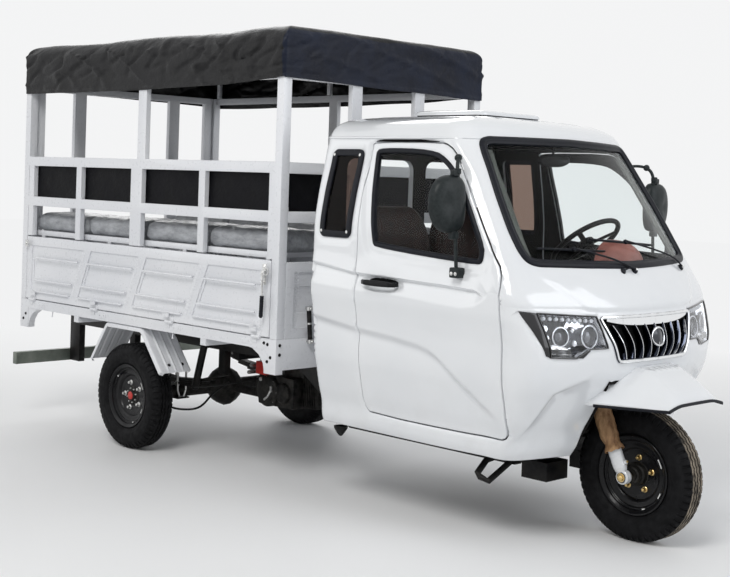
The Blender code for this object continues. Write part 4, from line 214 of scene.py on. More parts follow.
def paint(name, a, b, rough, coat, grime=(0.46, 0.45, 0.42), grime_top=0.55, amount=0.35, peel=0.06):
    """Lacquer that drifts between two tones, with some dirt low down."""
    n = Nodes(name)
    base = n.ramp(n.noise(2.3, 4), a, b, 0.3, 0.7)
    z = n.add("SeparateXYZ", Vector=n.co).outputs["Z"]
    low = n.span(z, grime_top, 0.2, 0.0, 1.0)
    spots = n.span(n.noise(9.0, 6, 0.65, offset=3.0), 0.45, 0.75, 0.0, 1.0)
    dirt = n.math("MULTIPLY", n.math("MULTIPLY", low, spots), amount)
    color = n.mix(dirt, base, grime)
    fine = n.noise(60.0, 4)
    n.bump([(n.noise(140.0, 2), peel, 0.0012), (n.noise(14.0, 3), 0.05, 0.004)])
    return n.set(
        Base_Color=color, Roughness=n.span(fine, 0.3, 0.7, rough * 0.8, rough * 1.35), Coat_Weight=coat,
        Coat_Roughness=0.06,
    )


def plain(name, a, b, rough, metal=0.0, scale=40.0, bump=0.15, depth=0.001, coat=0.0, stretch=None, lo=0.35, hi=0.65,
    gloss=None):
    """A surface that drifts between two tones, with a fine bump."""
    n = Nodes(name)
    field = n.noise(scale, 5, 0.6, stretch=stretch)
    n.bump([(n.noise(scale * 2.5, 4, stretch=stretch, offset=1.7), bump, depth)])
    return n.set(
        Base_Color=n.ramp(field, a, b, lo, hi), Metallic=metal,
        Roughness=n.span(field, 0.3, 0.7, rough * 0.8, rough * 1.25), Coat_Weight=coat,
        Specular_IOR_Level=gloss if gloss is not None else 0.16 if max(b) < 0.06 else 0.45,
    )


def glass(name, tint, rough=0.0, ior=1.12):
    """Clear or tinted glass with faint smears; a low index keeps what is behind it in its place."""
    n = Nodes(name)
    tone = n.ramp(n.noise(1.5, 2), tint, tuple(c * 0.97 for c in tint))
    smear = n.span(n.noise(6.0, 5, 0.7), 0.55, 0.85, rough, rough + 0.02)
    return n.set(Base_Color=tone, Roughness=smear, IOR=ior, Transmission_Weight=1.0)


def chrome(name, dark, bright, rough):
    """Plated metal with a painted reflection in its colour: lighter where its normal faces forward or up, darker where
    it is turned aside, as among other parts and a dark shop floor.
    """
    n = Nodes(name)
    turn = n.add("SeparateXYZ", Vector=n.t.nodes.new("ShaderNodeTexCoord").outputs["Normal"])
    # painted reflection: the base colour follows the object-space normal, bright facing forward or up, dark where
    # turned aside
    face = n.math("MAXIMUM", turn.outputs["X"], turn.outputs["Z"])
    cloud = n.span(n.noise(26.0, 3), 0.3, 0.7, -0.10, 0.10)
    return n.set(
        Base_Color=n.ramp(n.math("ADD", face, cloud), dark, bright, 0.52, 0.92), Metallic=1.0,
        Roughness=n.span(n.noise(50.0, 3), 0.3, 0.7, rough * 0.7, rough * 1.3),
    )


CAB = paint("cab_paint", (0.72, 0.74, 0.765), (0.765, 0.78, 0.80), 0.16, 0.9, grime_top=0.75, amount=0.18)
FRAME = paint("frame_paint", (0.69, 0.705, 0.74), (0.755, 0.765, 0.79), 0.3, 0.35, peel=0.0, amount=0.30,
    grime_top=0.8)
FORK = paint("fork_paint", (0.66, 0.68, 0.70), (0.74, 0.75, 0.77), 0.25, 0.5)
BLACK = plain("black_steel", (0.006, 0.006, 0.007), (0.022, 0.021, 0.02), 0.42, 0.2, 14.0, 0.25, 0.002)
IRON = plain("cast_iron", (0.010, 0.010, 0.010), (0.045, 0.043, 0.04), 0.55, 0.5, 30.0, 0.5, 0.002)
BAR = plain("bar_steel", (0.13, 0.15, 0.13), (0.22, 0.24, 0.21), 0.4, 0.3, 9.0, 0.2, 0.001)
RIM = plain("rim_steel", (0.004, 0.004, 0.005), (0.010, 0.010, 0.011), 0.3, 0.1, 20.0, 0.12, 0.001, coat=0.12)
BRASS = plain("brass", (0.52, 0.36, 0.14), (0.74, 0.58, 0.30), 0.3, 1.0, 60.0, 0.2, 0.0006)
ZINC = plain("zinc", (0.50, 0.50, 0.49), (0.70, 0.70, 0.69), 0.3, 1.0, 50.0, 0.2, 0.0006)
# CHROME and CHROME_SOFT take a painted reflection in their colour from chrome()
CHROME = chrome("chrome", (0.035, 0.04, 0.055), (0.84, 0.85, 0.86), 0.08)
PLASTIC = plain("black_plastic", (0.004, 0.004, 0.005), (0.010, 0.010, 0.011), 0.38, 0.0, 90.0, 0.3, 0.0006)
MIRROR_SHELL = plain("mirror_shell", (0.014, 0.018, 0.019), (0.024, 0.029, 0.030), 0.36, 0.0, 70.0, 0.2, 0.0005)
SEAL = plain("seal_rubber", (0.004, 0.005, 0.008), (0.010, 0.011, 0.016), 0.4, 0.0, 60.0, 0.2, 0.0008)
# near-black painted shade for the inside of the cab: the inner faces of the skin, the roof and the doors, and the seat
# box
INSIDE_SHADE = plain("cab_inside_shade", (0.003, 0.003, 0.0035), (0.008, 0.008, 0.008), 0.7, 0.0, 25.0, 0.4, 0.002, gloss=0.06)
WELL = plain("well_coating", (0.004, 0.004, 0.004), (0.012, 0.011, 0.011), 0.85, 0.0, 60.0, 0.8, 0.002)
RED = plain("red_enamel", (0.42, 0.02, 0.015), (0.58, 0.04, 0.03), 0.35, 0.0, 40.0, 0.1, 0.001)
TERRA = plain("pod_plastic", (0.26, 0.085, 0.065), (0.34, 0.12, 0.095), 0.4, 0.0, 30.0, 0.15, 0.001)
SEAT = plain("seat_cover", (0.018, 0.011, 0.010), (0.042, 0.022, 0.019), 0.5, 0.0, 35.0, 0.5, 0.0015)
HOSE = plain("hose_rubber", (0.008, 0.008, 0.008), (0.02, 0.02, 0.02), 0.5, 0.0, 60.0, 0.2, 0.0006)
CLEAR = glass("clear_glass", (0.93, 0.96, 0.96), 0.0)
TINT = glass("tinted_glass", (0.24, 0.165, 0.135), 0.0)
LENS = glass("lamp_glass", (0.97, 0.98, 1.0), 0.0, 1.3)
AMBER = glass("clear_indicator", (0.92, 0.90, 0.86), 0.08, 1.4)
GLOSS_BLACK = plain("gloss_black", (0.006, 0.006, 0.007), (0.012, 0.012, 0.014), 0.14, 0.0, 12.0, 0.04, 0.0005,
    coat=0.8)
CHROME_SOFT = chrome("reflector", (0.08, 0.085, 0.10), (0.76, 0.77, 0.79), 0.16)
DARK_LENS = plain("projector_eye", (0.03, 0.033, 0.04), (0.10, 0.105, 0.12), 0.05, 0.3, 22.0, 0.02, 0.0005, coat=1.0)
PEARL = plain("light_guide", (0.62, 0.64, 0.68), (0.78, 0.80, 0.83), 0.25, 0.0, 60.0, 0.05, 0.0005, coat=0.6)
LINING = plain("pillar_trim", (0.055, 0.060, 0.052), (0.085, 0.090, 0.080), 0.5, 0.0, 30.0, 0.2, 0.0008)
BADGE = plain("badge_enamel", (0.012, 0.014, 0.02), (0.03, 0.034, 0.045), 0.2, 0.3, 30.0, 0.05, 0.0005, coat=0.8)


def kraft():
    """Crumpled packing paper, with painted shade in its hollows: the colour darkens where the crumple's bump is low.
    """
    n = Nodes("kraft_wrap")
    crumple_and_crease_shade = n.noise(28.0, 6, 0.7, stretch=(1, 1, 0.35))
    n.bump([(crumple_and_crease_shade, 0.9, 0.012), (n.noise(160.0, 3), 0.3, 0.001)])
    # painted shade: the crumple field that raises the bump also darkens the colour in its hollows
    return n.set(Base_Color=n.ramp(crumple_and_crease_shade, (0.16, 0.075, 0.03), (0.50, 0.30, 0.15), 0.35, 0.68), Roughness=0.62)


def rubber(name, dusty):
    """Tyre rubber, with dust where dusty is above zero."""
    n = Nodes(name)
    base = n.ramp(n.noise(30.0, 5), (0.004, 0.004, 0.0045), (0.010, 0.010, 0.011))
    if dusty:
        dust = n.span(n.noise(22.0, 6, 0.7, offset=2.0), 0.36, 0.62, 0.0, 1.0)
        base = n.mix(n.math("MULTIPLY", dust, dusty), base, (0.30, 0.255, 0.20))
    n.bump([(n.noise(220.0, 3), 0.25, 0.0008)])
    return n.set(Base_Color=base, Roughness=n.span(n.noise(45.0, 3, offset=1.0), 0.3, 0.7, 0.5, 0.75),
        Specular_IOR_Level=0.10)


def cloth(name, side, front, rough, gloss, weave=0.22):
    """Coated fabric: a fine crossed weave, soft colour drift, and a second colour on the front skirt."""
    n = Nodes(name)
    x = n.add("SeparateXYZ", Vector=n.co).outputs["X"]
    ahead = n.span(x, 2.318 - MID, 2.322 - MID, 0.0, 1.0)
    drift = n.noise(5.0, 5, 0.6)
    a = n.ramp(drift, side[0], side[1])
    b = n.ramp(drift, front[0], front[1])
    n.t.nodes.update()
    waves = []
    for axis in ("X", "Z"):
        w = n.add("TexWave", Vector=n.co, Scale=260.0, Distortion=0.6)
        w.bands_direction = axis
        waves.append(w.outputs["Fac"])
    grid = n.math("MULTIPLY", waves[0], waves[1])
    n.bump([(n.noise(11.0, 5, 0.62, stretch=(1, 1, 1.6)), 0.35, 0.02), (grid, weave * 0.5, 0.0004)])
    return n.set(
        Base_Color=n.mix(ahead, a, b), Roughness=n.span(drift, 0.3, 0.7, rough * 0.8, rough * 1.3),
        Specular_IOR_Level=gloss,
    )


KRAFT = kraft()
RUBBER = rubber("tyre_rubber", 0.0)
TREAD = rubber("tread_rubber", 0.0)
TREAD_DUSTY = rubber("tread_dusty", 0.9)
CANVAS = cloth("canopy_vinyl", ((0.003, 0.003, 0.0035), (0.009, 0.009, 0.010)),
    ((0.0035, 0.005, 0.012), (0.008, 0.012, 0.026)), 0.34, 0.17)
SHEET = cloth("infill_vinyl", ((0.003, 0.003, 0.004), (0.007, 0.007, 0.009)),
    ((0.003, 0.003, 0.004), (0.007, 0.007, 0.009)), 0.5, 0.08)


def film():
    """Grey upholstery under a crinkled clear film."""
    n = Nodes("wrapped_cushion")
    crease = n.noise(34.0, 8, 0.75)
    streak = n.noise(12.0, 6, 0.7, stretch=(1.0, 2.5, 2.5), offset=4.0)
    base = n.ramp(streak, (0.20, 0.21, 0.225), (0.42, 0.435, 0.46), 0.32, 0.66)
    n.bump([(crease, 0.8, 0.010), (n.noise(120.0, 4), 0.35, 0.002)])
    return n.set(Base_Color=base, Roughness=n.span(crease, 0.3, 0.7, 0.25, 0.5), Coat_Weight=0.25, Coat_Roughness=0.2)


FILM = film()

# ---------------------------------------------------------------- meshes


def mk(name, V, F, mats, smooth=40.0, mat_ids=None, shift=True):
    """A mesh object from points in the vehicle's own coordinates."""
    mesh = bpy.data.meshes.new(name)
    V = np.asarray(V, float)
    if shift:
        V = V - np.array([MID, 0, 0])
    mesh.from_pydata([tuple(v) for v in V], [], [tuple(int(i) for i in f) for f in F])
    for m in mats if isinstance(mats, (list, tuple)) else [mats]:
        mesh.materials.append(m)
    if mat_ids is not None:
        mesh.polygons.foreach_set("material_index", np.asarray(mat_ids, np.int32))
    mesh.update()
    mesh.validate()
    if smooth:
        soften(mesh, smooth)
    o = bpy.data.objects.new(name, mesh)
    bpy.context.scene.collection.objects.link(o)
    return o


def place(o, body="chassis", replaces=()):
    """Puts a piece on its body and hides the solids that it stands for."""
    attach(o, body)
    if replaces:
        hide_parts(*replaces)
    return o


class Mesh:
    """Collects several simple shapes into one piece."""

    def __init__(self):
        self.V, self.F, self.M, self.n = [], [], [], 0

    def add(self, V, F, mat=0):
        """Adds points and faces."""
        V = np.asarray(V, float)
        self.V.append(V)
        self.F += [tuple(i + self.n for i in f) for f in F]
        self.M += [mat] * len(F)
        self.n += len(V)
        return self

    def box(self, lo, hi, mat=0, bevel=0.0):
        """A box between two corners, with bevelled edges."""
        lo, hi = np.minimum(lo, hi), np.maximum(lo, hi)
        if bevel <= 0:
            V = [(x, y, z) for x in (lo[0], hi[0]) for y in (lo[1], hi[1]) for z in (lo[2], hi[2])]
            F = [(0, 1, 3, 2), (4, 6, 7, 5), (0, 4, 5, 1), (2, 3, 7, 6), (0, 2, 6, 4), (1, 5, 7, 3)]
            return self.add(V, F, mat)
        b = min(bevel, *(0.45 * (hi - lo)))
        bm = bmesh.new()
        bmesh.ops.create_cube(bm, size=1.0)
        for v in bm.verts:
            v.co = Vector((lo + hi) / 2) + Vector([c * s for c, s in zip(v.co, hi - lo)])
        bmesh.ops.bevel(bm, geom=bm.edges[:], offset=b, segments=2, affect="EDGES", profile=0.7)
        bm.verts.index_update()
        self.add([v.co[:] for v in bm.verts], [[v.index for v in f.verts] for f in bm.faces], mat)
        bm.free()
        return self

    def lathe(self, profile, origin, axis, steps=32, mat=0, closed=False):
        """Turns (along, radius) points about an axis."""
        axis = np.asarray(axis, float)
        axis /= np.linalg.norm(axis)
        ref = np.array([0, 0, 1.0]) if abs(axis[2]) < 0.9 else np.array([1.0, 0, 0])
        e1 = np.cross(axis, ref)
        e1 /= np.linalg.norm(e1)
        e2 = np.cross(axis, e1)
        a = np.linspace(0, 2 * math.pi, steps, endpoint=False)
        V = [np.asarray(origin) + axis * s + r * (np.cos(t) * e1 + np.sin(t) * e2) for s, r in profile for t in a]
        n = len(profile)
        F = lattice(n, steps, True, closed)
        return self.add(V, F if closed else F + caps(n, steps), mat)

    def rod(self, a, b, r, steps=16, mat=0, r2=None):
        """A round bar from a to b, with small chamfers."""
        a, b = np.asarray(a, float), np.asarray(b, float)
        L = np.linalg.norm(b - a)
        r2 = r if r2 is None else r2
        c = min(r, r2) * 0.15
        return self.lathe([(0, r - c), (c, r), (L - c, r2), (L, r2 - c)], a, b - a, steps, mat)

    def tube(self, pts, r, steps=12, mat=0, smooth=0):
        """A round bar along a line whose corners are cut smooth times."""
        P = np.asarray(pts, float)
        for _ in range(smooth):
            Q = [P[0]]
            for u, w in zip(P[:-1], P[1:]):
                Q += [u * 0.75 + w * 0.25, u * 0.25 + w * 0.75]
            P = np.array(Q + [P[-1]])
        T = np.gradient(P, axis=0)
        T /= np.linalg.norm(T, axis=1)[:, None]
        up = np.array([0, 0, 1.0]) if abs(T[0][2]) < 0.9 else np.array([1.0, 0, 0])
        V = []
        e = np.cross(T[0], up)
        for p, t in zip(P, T):
            e = e - t * (e @ t)
            e /= np.linalg.norm(e)
            f = np.cross(t, e)
            for k in range(steps):
                w = 2 * math.pi * k / steps
                V.append(p + r * (math.cos(w) * e + math.sin(w) * f))
        return self.add(V, lattice(len(P), steps, True) + caps(len(P), steps), mat)

    def sweep(self, P, N, prof, closed=True, mat=0):
        """Sweeps a section of (across, up) points along a line with its normals."""
        P = np.asarray(P, float)
        N = np.broadcast_to(np.asarray(N, float), P.shape)
        T = np.roll(P, -1, 0) - np.roll(P, 1, 0) if closed else np.gradient(P, axis=0)
        T /= np.maximum(np.linalg.norm(T, axis=1), 1e-9)[:, None]
        S = np.cross(N, T)
        S /= np.maximum(np.linalg.norm(S, axis=1), 1e-9)[:, None]
        n, m = len(P), len(prof)
        V = [P[i] + S[i] * a + N[i] * h for i in range(n) for a, h in prof]
        F = lattice(n, m, True, closed)
        return self.add(V, F if closed else F + caps(n, m), mat)

    def bolt(self, at, axis, r=0.007, h=0.006, mat=0, washer=True):
        """A hex head on its washer."""
        axis = np.asarray(axis, float) / np.linalg.norm(axis)
        at = np.asarray(at, float)
        if washer:
            self.lathe([(-0.001, r * 1.5), (h * 0.25, r * 1.5), (h * 0.3, r * 1.4)], at, axis, 16, mat)
        self.lathe([(0, r), (h * 0.85, r), (h, r * 0.86)], at + axis * h * 0.25, axis, 6, mat)
        return self.lathe([(0, r * 0.55), (h * 1.15, r * 0.55), (h * 1.2, r * 0.45)], at + axis * h * 0.25, axis, 12,
            mat)

    def make(self, name, mats, smooth=35.0):
        """The collected shapes as one object."""
        o = mk(name, np.concatenate(self.V), self.F, mats, 0, self.M)
        clean(o, smooth)
        return o


def modify(o, kind, **values):
    """Adds a modifier with its values set."""
    m = o.modifiers.new(kind, kind)
    for k, v in values.items():
        setattr(m, k, v)
    return m


def bake(o, smooth=35.0):
    """Applies the modifiers."""
    bpy.context.view_layer.update()
    graph = bpy.context.evaluated_depsgraph_get()
    mesh = bpy.data.meshes.new_from_object(o.evaluated_get(graph))
    old = o.data
    o.modifiers.clear()
    o.data = mesh
    bpy.data.meshes.remove(old)
    if smooth:
        soften(mesh, smooth)
    return o


def rounded(node, material, width=0.0025, body="chassis", segments=2, name=None):
    """A copy of a CAD solid with its sharp edges rounded, which stands for it."""
    src = NODES[node]
    o = bpy.data.objects.new((name or node) + "_skin", src.data.copy())
    bpy.context.scene.collection.objects.link(o)
    bm = bmesh.new()
    bm.from_mesh(o.data)
    bmesh.ops.remove_doubles(bm, verts=bm.verts, dist=1e-5)
    bmesh.ops.dissolve_limit(
        bm, angle_limit=math.radians(0.6), use_dissolve_boundaries=False, verts=bm.verts, edges=bm.edges,
        delimit={"NORMAL"},
    )
    bm.to_mesh(o.data)
    bm.free()
    o.data.materials.clear()
    o.data.materials.append(material)
    modify(o, "BEVEL", width=width, segments=segments, limit_method="ANGLE", angle_limit=math.radians(28),
        profile=0.6)
    bake(o, 30.0)
    return place(o, body, (node,))


def pchip(x, y):
    """Smooth curve through points that never overshoots them."""
    x, y = np.asarray(x, float), np.asarray(y, float)
    h = np.diff(x)
    d = np.diff(y) / h
    m = np.zeros(len(x))
    m[0], m[-1] = d[0], d[-1]
    for i in range(1, len(x) - 1):
        if d[i - 1] * d[i] > 0:
            w1, w2 = 2 * h[i] + h[i - 1], h[i] + 2 * h[i - 1]
            m[i] = (w1 + w2) / (w1 / d[i - 1] + w2 / d[i])

    def f(q):
        q = np.clip(q, x[0], x[-1])
        i = np.clip(np.searchsorted(x, q) - 1, 0, len(h) - 1)
        t = (q - x[i]) / h[i]
        return (
            (1 + 2 * t) * (1 - t) ** 2 * y[i] + t * (1 - t) ** 2 * h[i] * m[i]
            + t * t * (3 - 2 * t) * y[i + 1] + t * t * (t - 1) * h[i] * m[i + 1]
        )

    return f


# ---------------------------------------------------------------- the cab's skin

CAB_REAR, CAB_LEN, CAB_LOW, CAB_TALL, CAB_HALF = 2.520, 1.433, 0.365, 1.435, 0.714
SECTION = np.array([
    (0.000, 0.842, 0.858), (0.024, 0.861, 0.876), (0.064, 0.868, 0.897), (0.115, 0.899, 0.928), (0.182, 0.933, 0.963),
    (0.225, 0.954, 0.984), (0.264, 0.962, 0.994), (0.330, 0.965, 1.000), (0.378, 0.978, 0.991), (0.428, 0.996, 0.976),
    (0.477, 1.000, 0.953), (0.509, 0.994, 0.934), (0.557, 0.985, 0.905), (0.639, 0.983, 0.849), (0.736, 0.957, 0.784),
    (0.834, 0.912, 0.717), (0.900, 0.882, 0.671), (0.930, 0.861, 0.650), (0.964, 0.812, 0.621), (0.983, 0.728, 0.586),
    (0.993, 0.616, 0.544), (1.000, 0.420, 0.474),
])
SETBACK = {0.964: 0.007, 0.983: 0.028, 0.993: 0.070, 1.000: 0.130}
_b = np.r_[0, np.cumsum(np.linalg.norm(np.diff(SECTION * (CAB_TALL, CAB_HALF, CAB_LEN), axis=0), axis=1))]
B_TOP = _b[-1]
H_OF, W_OF, R_OF = (pchip(_b, SECTION[:, k]) for k in range(3))
S_OF = pchip(_b, [SETBACK.get(float(h), 0.0) for h in SECTION[:, 0]])


def ring_point(u, b):
    """Point of the left half of the cab's skin. u runs from the rear middle round to the nose middle."""
    u, b = np.broadcast_arrays(np.asarray(u, float), np.asarray(b, float))
    W, R, S = W_OF(b), R_OF(b), S_OF(b)
    half = CAB_HALF * W
    rh = half * 0.978
    rear = CAB_REAR + CAB_LEN * S
    nose = CAB_REAR + CAB_LEN * R
    bow = 0.155 * W**2
    cx = nose - bow
    sh = 0.085 * W
    sf = cx - sh
    ey = half - sh
    x, y = np.empty(u.shape), np.empty(u.shape)
    q = u / 0.2
    k = u < 0.2
    x[k], y[k] = rear[k], ((rh - 0.03) * q)[k]
    q = (u - 0.2) / 0.05
    k = (u >= 0.2) & (u < 0.25)
    x[k] = (rear + 0.03 * q * q)[k]
    y[k] = (rh - 0.03 + 0.06 * q * (1 - q) + 0.03 * q * q)[k]
    q = (u - 0.25) / 0.4
    k = (u >= 0.25) & (u < 0.65)
    x[k] = (rear + 0.03 + (sf - rear - 0.03) * q)[k]
    y[k] = (rh + (half - rh) * np.sin(np.clip(q, 0, 1) * math.pi / 2))[k]
    q = (u - 0.65) / 0.1
    k = (u >= 0.65) & (u < 0.75)
    ex = nose - bow * (ey / half) ** 2
    x[k] = (sf * (1 - q) ** 2 + cx * 2 * q * (1 - q) + ex * q * q)[k]
    y[k] = (half * (1 - q * q) + ey * q * q)[k]
    q = (u - 0.75) / 0.25
    k = u >= 0.75
    yy = ey * (1 - q)
    x[k], y[k] = (nose - bow * (yy / half) ** 2)[k], yy[k]
    return np.stack([x, y, CAB_LOW + CAB_TALL * H_OF(b)], -1)


_u = np.linspace(0, 1, 801)
_ref = ring_point(_u, np.full(801, 0.70))
A_U = np.r_[0, np.cumsum(np.linalg.norm(np.diff(_ref, axis=0), axis=1))]
A_END = A_U[-1]


def surf(ab):
    """Points of the skin; a is the length round the waist from the rear middle, b the length up the section."""
    ab = np.asarray(ab, float)
    return ring_point(np.interp(ab[..., 0], A_U, _u), ab[..., 1])


def normal(ab):
    """Outward normals of the skin's left half."""
    ab = np.asarray(ab, float)
    e = 0.002
    lo = np.clip(ab - [e, 0], [0, 0], [A_END, B_TOP])
    hi = np.clip(ab + [e, 0], [0, 0], [A_END, B_TOP])
    da = surf(hi) - surf(lo)
    lo = np.clip(ab - [0, e], [0, 0], [A_END, B_TOP])
    hi = np.clip(ab + [0, e], [0, 0], [A_END, B_TOP])
    db = surf(hi) - surf(lo)
    n = np.cross(db, da)
    n /= np.maximum(np.linalg.norm(n, axis=-1), 1e-12)[..., None]
    return n


_bs = np.linspace(0, B_TOP, 2000)
_zs = CAB_LOW + CAB_TALL * H_OF(_bs)


def b_of(z):
    """The skin's b at a height."""
    return np.interp(z, _zs, _bs)


def from_side(points):
    """(a, b) of points given in side view as (x, z)."""
    out = []
    for x, z in points:
        b = float(b_of(z))
        u = np.linspace(0.2, 1, 600)
        xs = ring_point(u, np.full(600, b))[:, 0]
        out.append((float(np.interp(np.interp(x, xs, u), _u, A_U)), b))
    return np.array(out)


def from_front(points):
    """(a, b) of points given in front view as (|y|, z)."""
    out = []
    for y, z in points:
        b = float(b_of(z))
        u = np.linspace(0.5, 1, 600)
        ys = ring_point(u, np.full(600, b))[:, 1]
        out.append((float(np.interp(np.interp(-abs(y), -ys, u), _u, A_U)), b))
    return np.array(out)


def resample(P, step, closed=True):
    """A line with points no further apart than a step."""
    P = np.asarray(P, float)
    Q = np.vstack([P, P[:1]]) if closed else P
    out = []
    for p, q in zip(Q[:-1], Q[1:]):
        n = max(1, int(math.ceil(np.linalg.norm(q - p) / step)))
        out += [p + (q - p) * i / n for i in range(n)]
    if not closed:
        out.append(Q[-1])
    return np.array(out)


def chaikin(P, times=2, closed=True):
    """A line with its corners cut, which rounds them."""
    P = np.asarray(P, float)
    for _ in range(times):
        Q = []
        n = len(P)
        for i in range(n if closed else n - 1):
            p, q = P[i], P[(i + 1) % n]
            Q += [p * 0.75 + q * 0.25, p * 0.25 + q * 0.75]
        P = np.array(Q if closed else [P[0]] + Q + [P[-1]])
    return P


def seg_dist(P, segs):
    """Shortest distance from points to segments."""
    A, B = segs[:, 0], segs[:, 1]
    D = B - A
    L = np.maximum((D * D).sum(1), 1e-15)
    best = np.full(len(P), 9.0)
    for i in range(0, len(P), 4000):
        Q = P[i : i + 4000]
        t = np.clip(((Q[:, None] - A) * D).sum(2) / L, 0, 1)
        best[i : i + 4000] = np.sqrt((((A + t[..., None] * D) - Q[:, None]) ** 2).sum(2)).min(1)
    return best


def segs_of(P, closed=True):
    """The segments of a line."""
    P = np.asarray(P)
    Q = np.roll(P, -1, 0) if closed else P[1:]
    return np.stack([P if closed else P[:-1], Q], 1)


def inside(P, poly):
    """Which points lie inside a closed outline."""
    x, y = P[:, 0], P[:, 1]
    c = np.zeros(len(P), bool)
    for (x0, y0), (x1, y1) in zip(poly, np.roll(poly, -1, 0)):
        if y0 != y1:
            c ^= ((y0 > y) != (y1 > y)) & (x < (x1 - x0) * (y - y0) / (y1 - y0) + x0)
    return c


def offset_loop(P, d):
    """A closed loop moved to its inner side by d."""
    P = np.asarray(P)
    area = (P[:, 0] * np.roll(P[:, 1], -1) - np.roll(P[:, 0], -1) * P[:, 1]).sum()
    t = np.roll(P, -1, 0) - np.roll(P, 1, 0)
    t /= np.maximum(np.linalg.norm(t, axis=1), 1e-12)[:, None]
    return P + np.stack([-t[:, 1], t[:, 0]], 1) * math.copysign(d, area)


def triangulate(points, edges, ok):
    """A mesh of the points that keeps the edges and drops the triangles whose centres are not ok."""
    out = delaunay_2d_cdt([Vector(p) for p in points], edges, [], 0, 1e-6)
    V = np.array([v[:] for v in out[0]])
    F = np.array([f for f in out[2]], int)
    C = V[F].mean(1)
    F = F[ok(C)]
    used = np.unique(F)
    remap = -np.ones(len(V), int)
    remap[used] = np.arange(len(used))
    return V[used], remap[F]


def skin(name, outer, holes, feats, relief, thick, side=0, step=0.018, lip=0.004, mats=None, lip_skip=True):
    """A panel of the cab's skin with rolled edges, an inner face, and the pressed lines of the real sheet.

    side 0 makes both halves, joined along the middle; 1 or -1 makes one side only.
    """
    loops = [resample(outer, 0.009)] + [resample(h, 0.009) for h in holes]
    pts, edges = [], []
    for P in loops:
        n0 = len(pts)
        pts += [tuple(p) for p in P]
        edges += [(n0 + i, n0 + (i + 1) % len(P)) for i in range(len(P))]
    real = []
    for P in loops:
        for a, b in segs_of(P):
            flat = side == 0 and (max(a[0], b[0]) < 1e-6 or min(a[0], b[0]) > A_END - 1e-6)
            top = lip_skip and min(a[1], b[1]) > B_TOP - 1e-6
            if not (flat or top):
                real.append((a, b))
    real = np.array(real)
    rows = []
    for k, P in enumerate(loops):
        for d in (lip * 0.35, lip, lip * 2.2):
            rows.append(offset_loop(P, d if k == 0 else -d))
    for P, offsets in feats:
        P = resample(P, 0.009, False)
        t = np.gradient(P, axis=0)
        t /= np.maximum(np.linalg.norm(t, axis=1), 1e-12)[:, None]
        nrm = np.stack([-t[:, 1], t[:, 0]], 1)
        for d in offsets:
            rows.append(P + nrm * d)
    rows = np.concatenate(rows)
    lo, hi = loops[0].min(0), loops[0].max(0)
    gx, gy = np.arange(lo[0] + step / 2, hi[0], step), np.arange(lo[1] + step / 2, hi[1], step * 0.87)
    G = np.array([(x + (step / 2 if j % 2 else 0), y) for j, y in enumerate(gy) for x in gx])

    def ok(P):
        k = inside(P, loops[0])
        for h in loops[1:]:
            k &= ~inside(P, h)
        return k

    all_segs = np.concatenate([segs_of(P) for P in loops])
    rows = rows[ok(rows)]
    rows = rows[seg_dist(rows, all_segs) > lip * 0.3]
    keys = np.unique(np.round(rows / 0.0022).astype(int), axis=0, return_index=True)[1]
    rows = rows[np.sort(keys)]
    G = G[ok(G)]
    G = G[seg_dist(G, all_segs) > lip * 2.2 + 0.005]
    if len(feats):
        near = np.concatenate([segs_of(resample(P, 0.02, False), False) for P, _ in feats])
        reach = max(max(abs(min(o)), max(o)) for _, o in feats)
        G = G[seg_dist(G, near) > reach + 0.004]
    pts += [tuple(p) for p in rows] + [tuple(p) for p in G]
    V2, F = triangulate(pts, edges, ok)
    base, nrm = surf(V2), normal(V2)
    d = seg_dist(V2, real)
    q = np.clip(d / lip, 0, 1)
    drop = lip * (1 - np.sqrt(np.maximum(1 - (1 - q) ** 2, 0)))
    out = base + nrm * (relief(base, V2) - drop)[:, None]
    deep = base - nrm * thick
    on_mid = np.zeros(len(V2), bool)
    if side == 0:
        on_mid = (V2[:, 0] < 1e-6) | (V2[:, 0] > A_END - 1e-6)
        out[on_mid, 1] = 0
        deep[on_mid, 1] = 0
    n = len(V2)
    # faces point outward on the left half
    tri = F.copy()
    a, b, c = out[tri[:, 0]], out[tri[:, 1]], out[tri[:, 2]]
    flip = (np.cross(b - a, c - a) * nrm[tri[:, 0]]).sum(1) < 0
    tri[flip] = tri[flip][:, ::-1]
    e = np.concatenate([tri[:, [0, 1]], tri[:, [1, 2]], tri[:, [2, 0]]])
    key = {(int(i), int(j)) for i, j in e}
    rim = [(i, j) for i, j in key if (j, i) not in key and not (on_mid[i] and on_mid[j])]
    faces = [tuple(t) for t in tri] + [tuple(t[::-1] + n) for t in tri]
    ids = [0] * len(tri) + [1] * len(tri)
    for i, j in rim:
        faces.append((j, i, i + n, j + n))
        ids.append(0)
    V = np.concatenate([out, deep])
    if side == 0:
        faces = with_back(faces, len(V))
        V = np.concatenate([V, V * (1, -1, 1)])
        ids = ids + ids
    elif side < 0:
        V = V * (1, -1, 1)
        faces = [f[::-1] for f in faces]
    # the inner faces take the near-black painted shade of the cab's inside unless other materials are given
    o = mk(name, V, faces, mats or [CAB, INSIDE_SHADE], 0, ids)
    bm = bmesh.new()
    bm.from_mesh(o.data)
    bmesh.ops.remove_doubles(bm, verts=[v for v in bm.verts if abs(v.co.y) < 1e-5], dist=2e-5)
    bm.to_mesh(o.data)
    bm.free()
    soften(o.data, 50)
    return o


DOOR_X, DOOR_Z = (2.822, 3.672), (0.447, 1.679)


def door_shares(shares):
    """Places in side view, from shares of the door's width and height."""
    return [(DOOR_X[0] + a * (DOOR_X[1] - DOOR_X[0]), DOOR_Z[0] + b * (DOOR_Z[1] - DOOR_Z[0])) for a, b in shares]


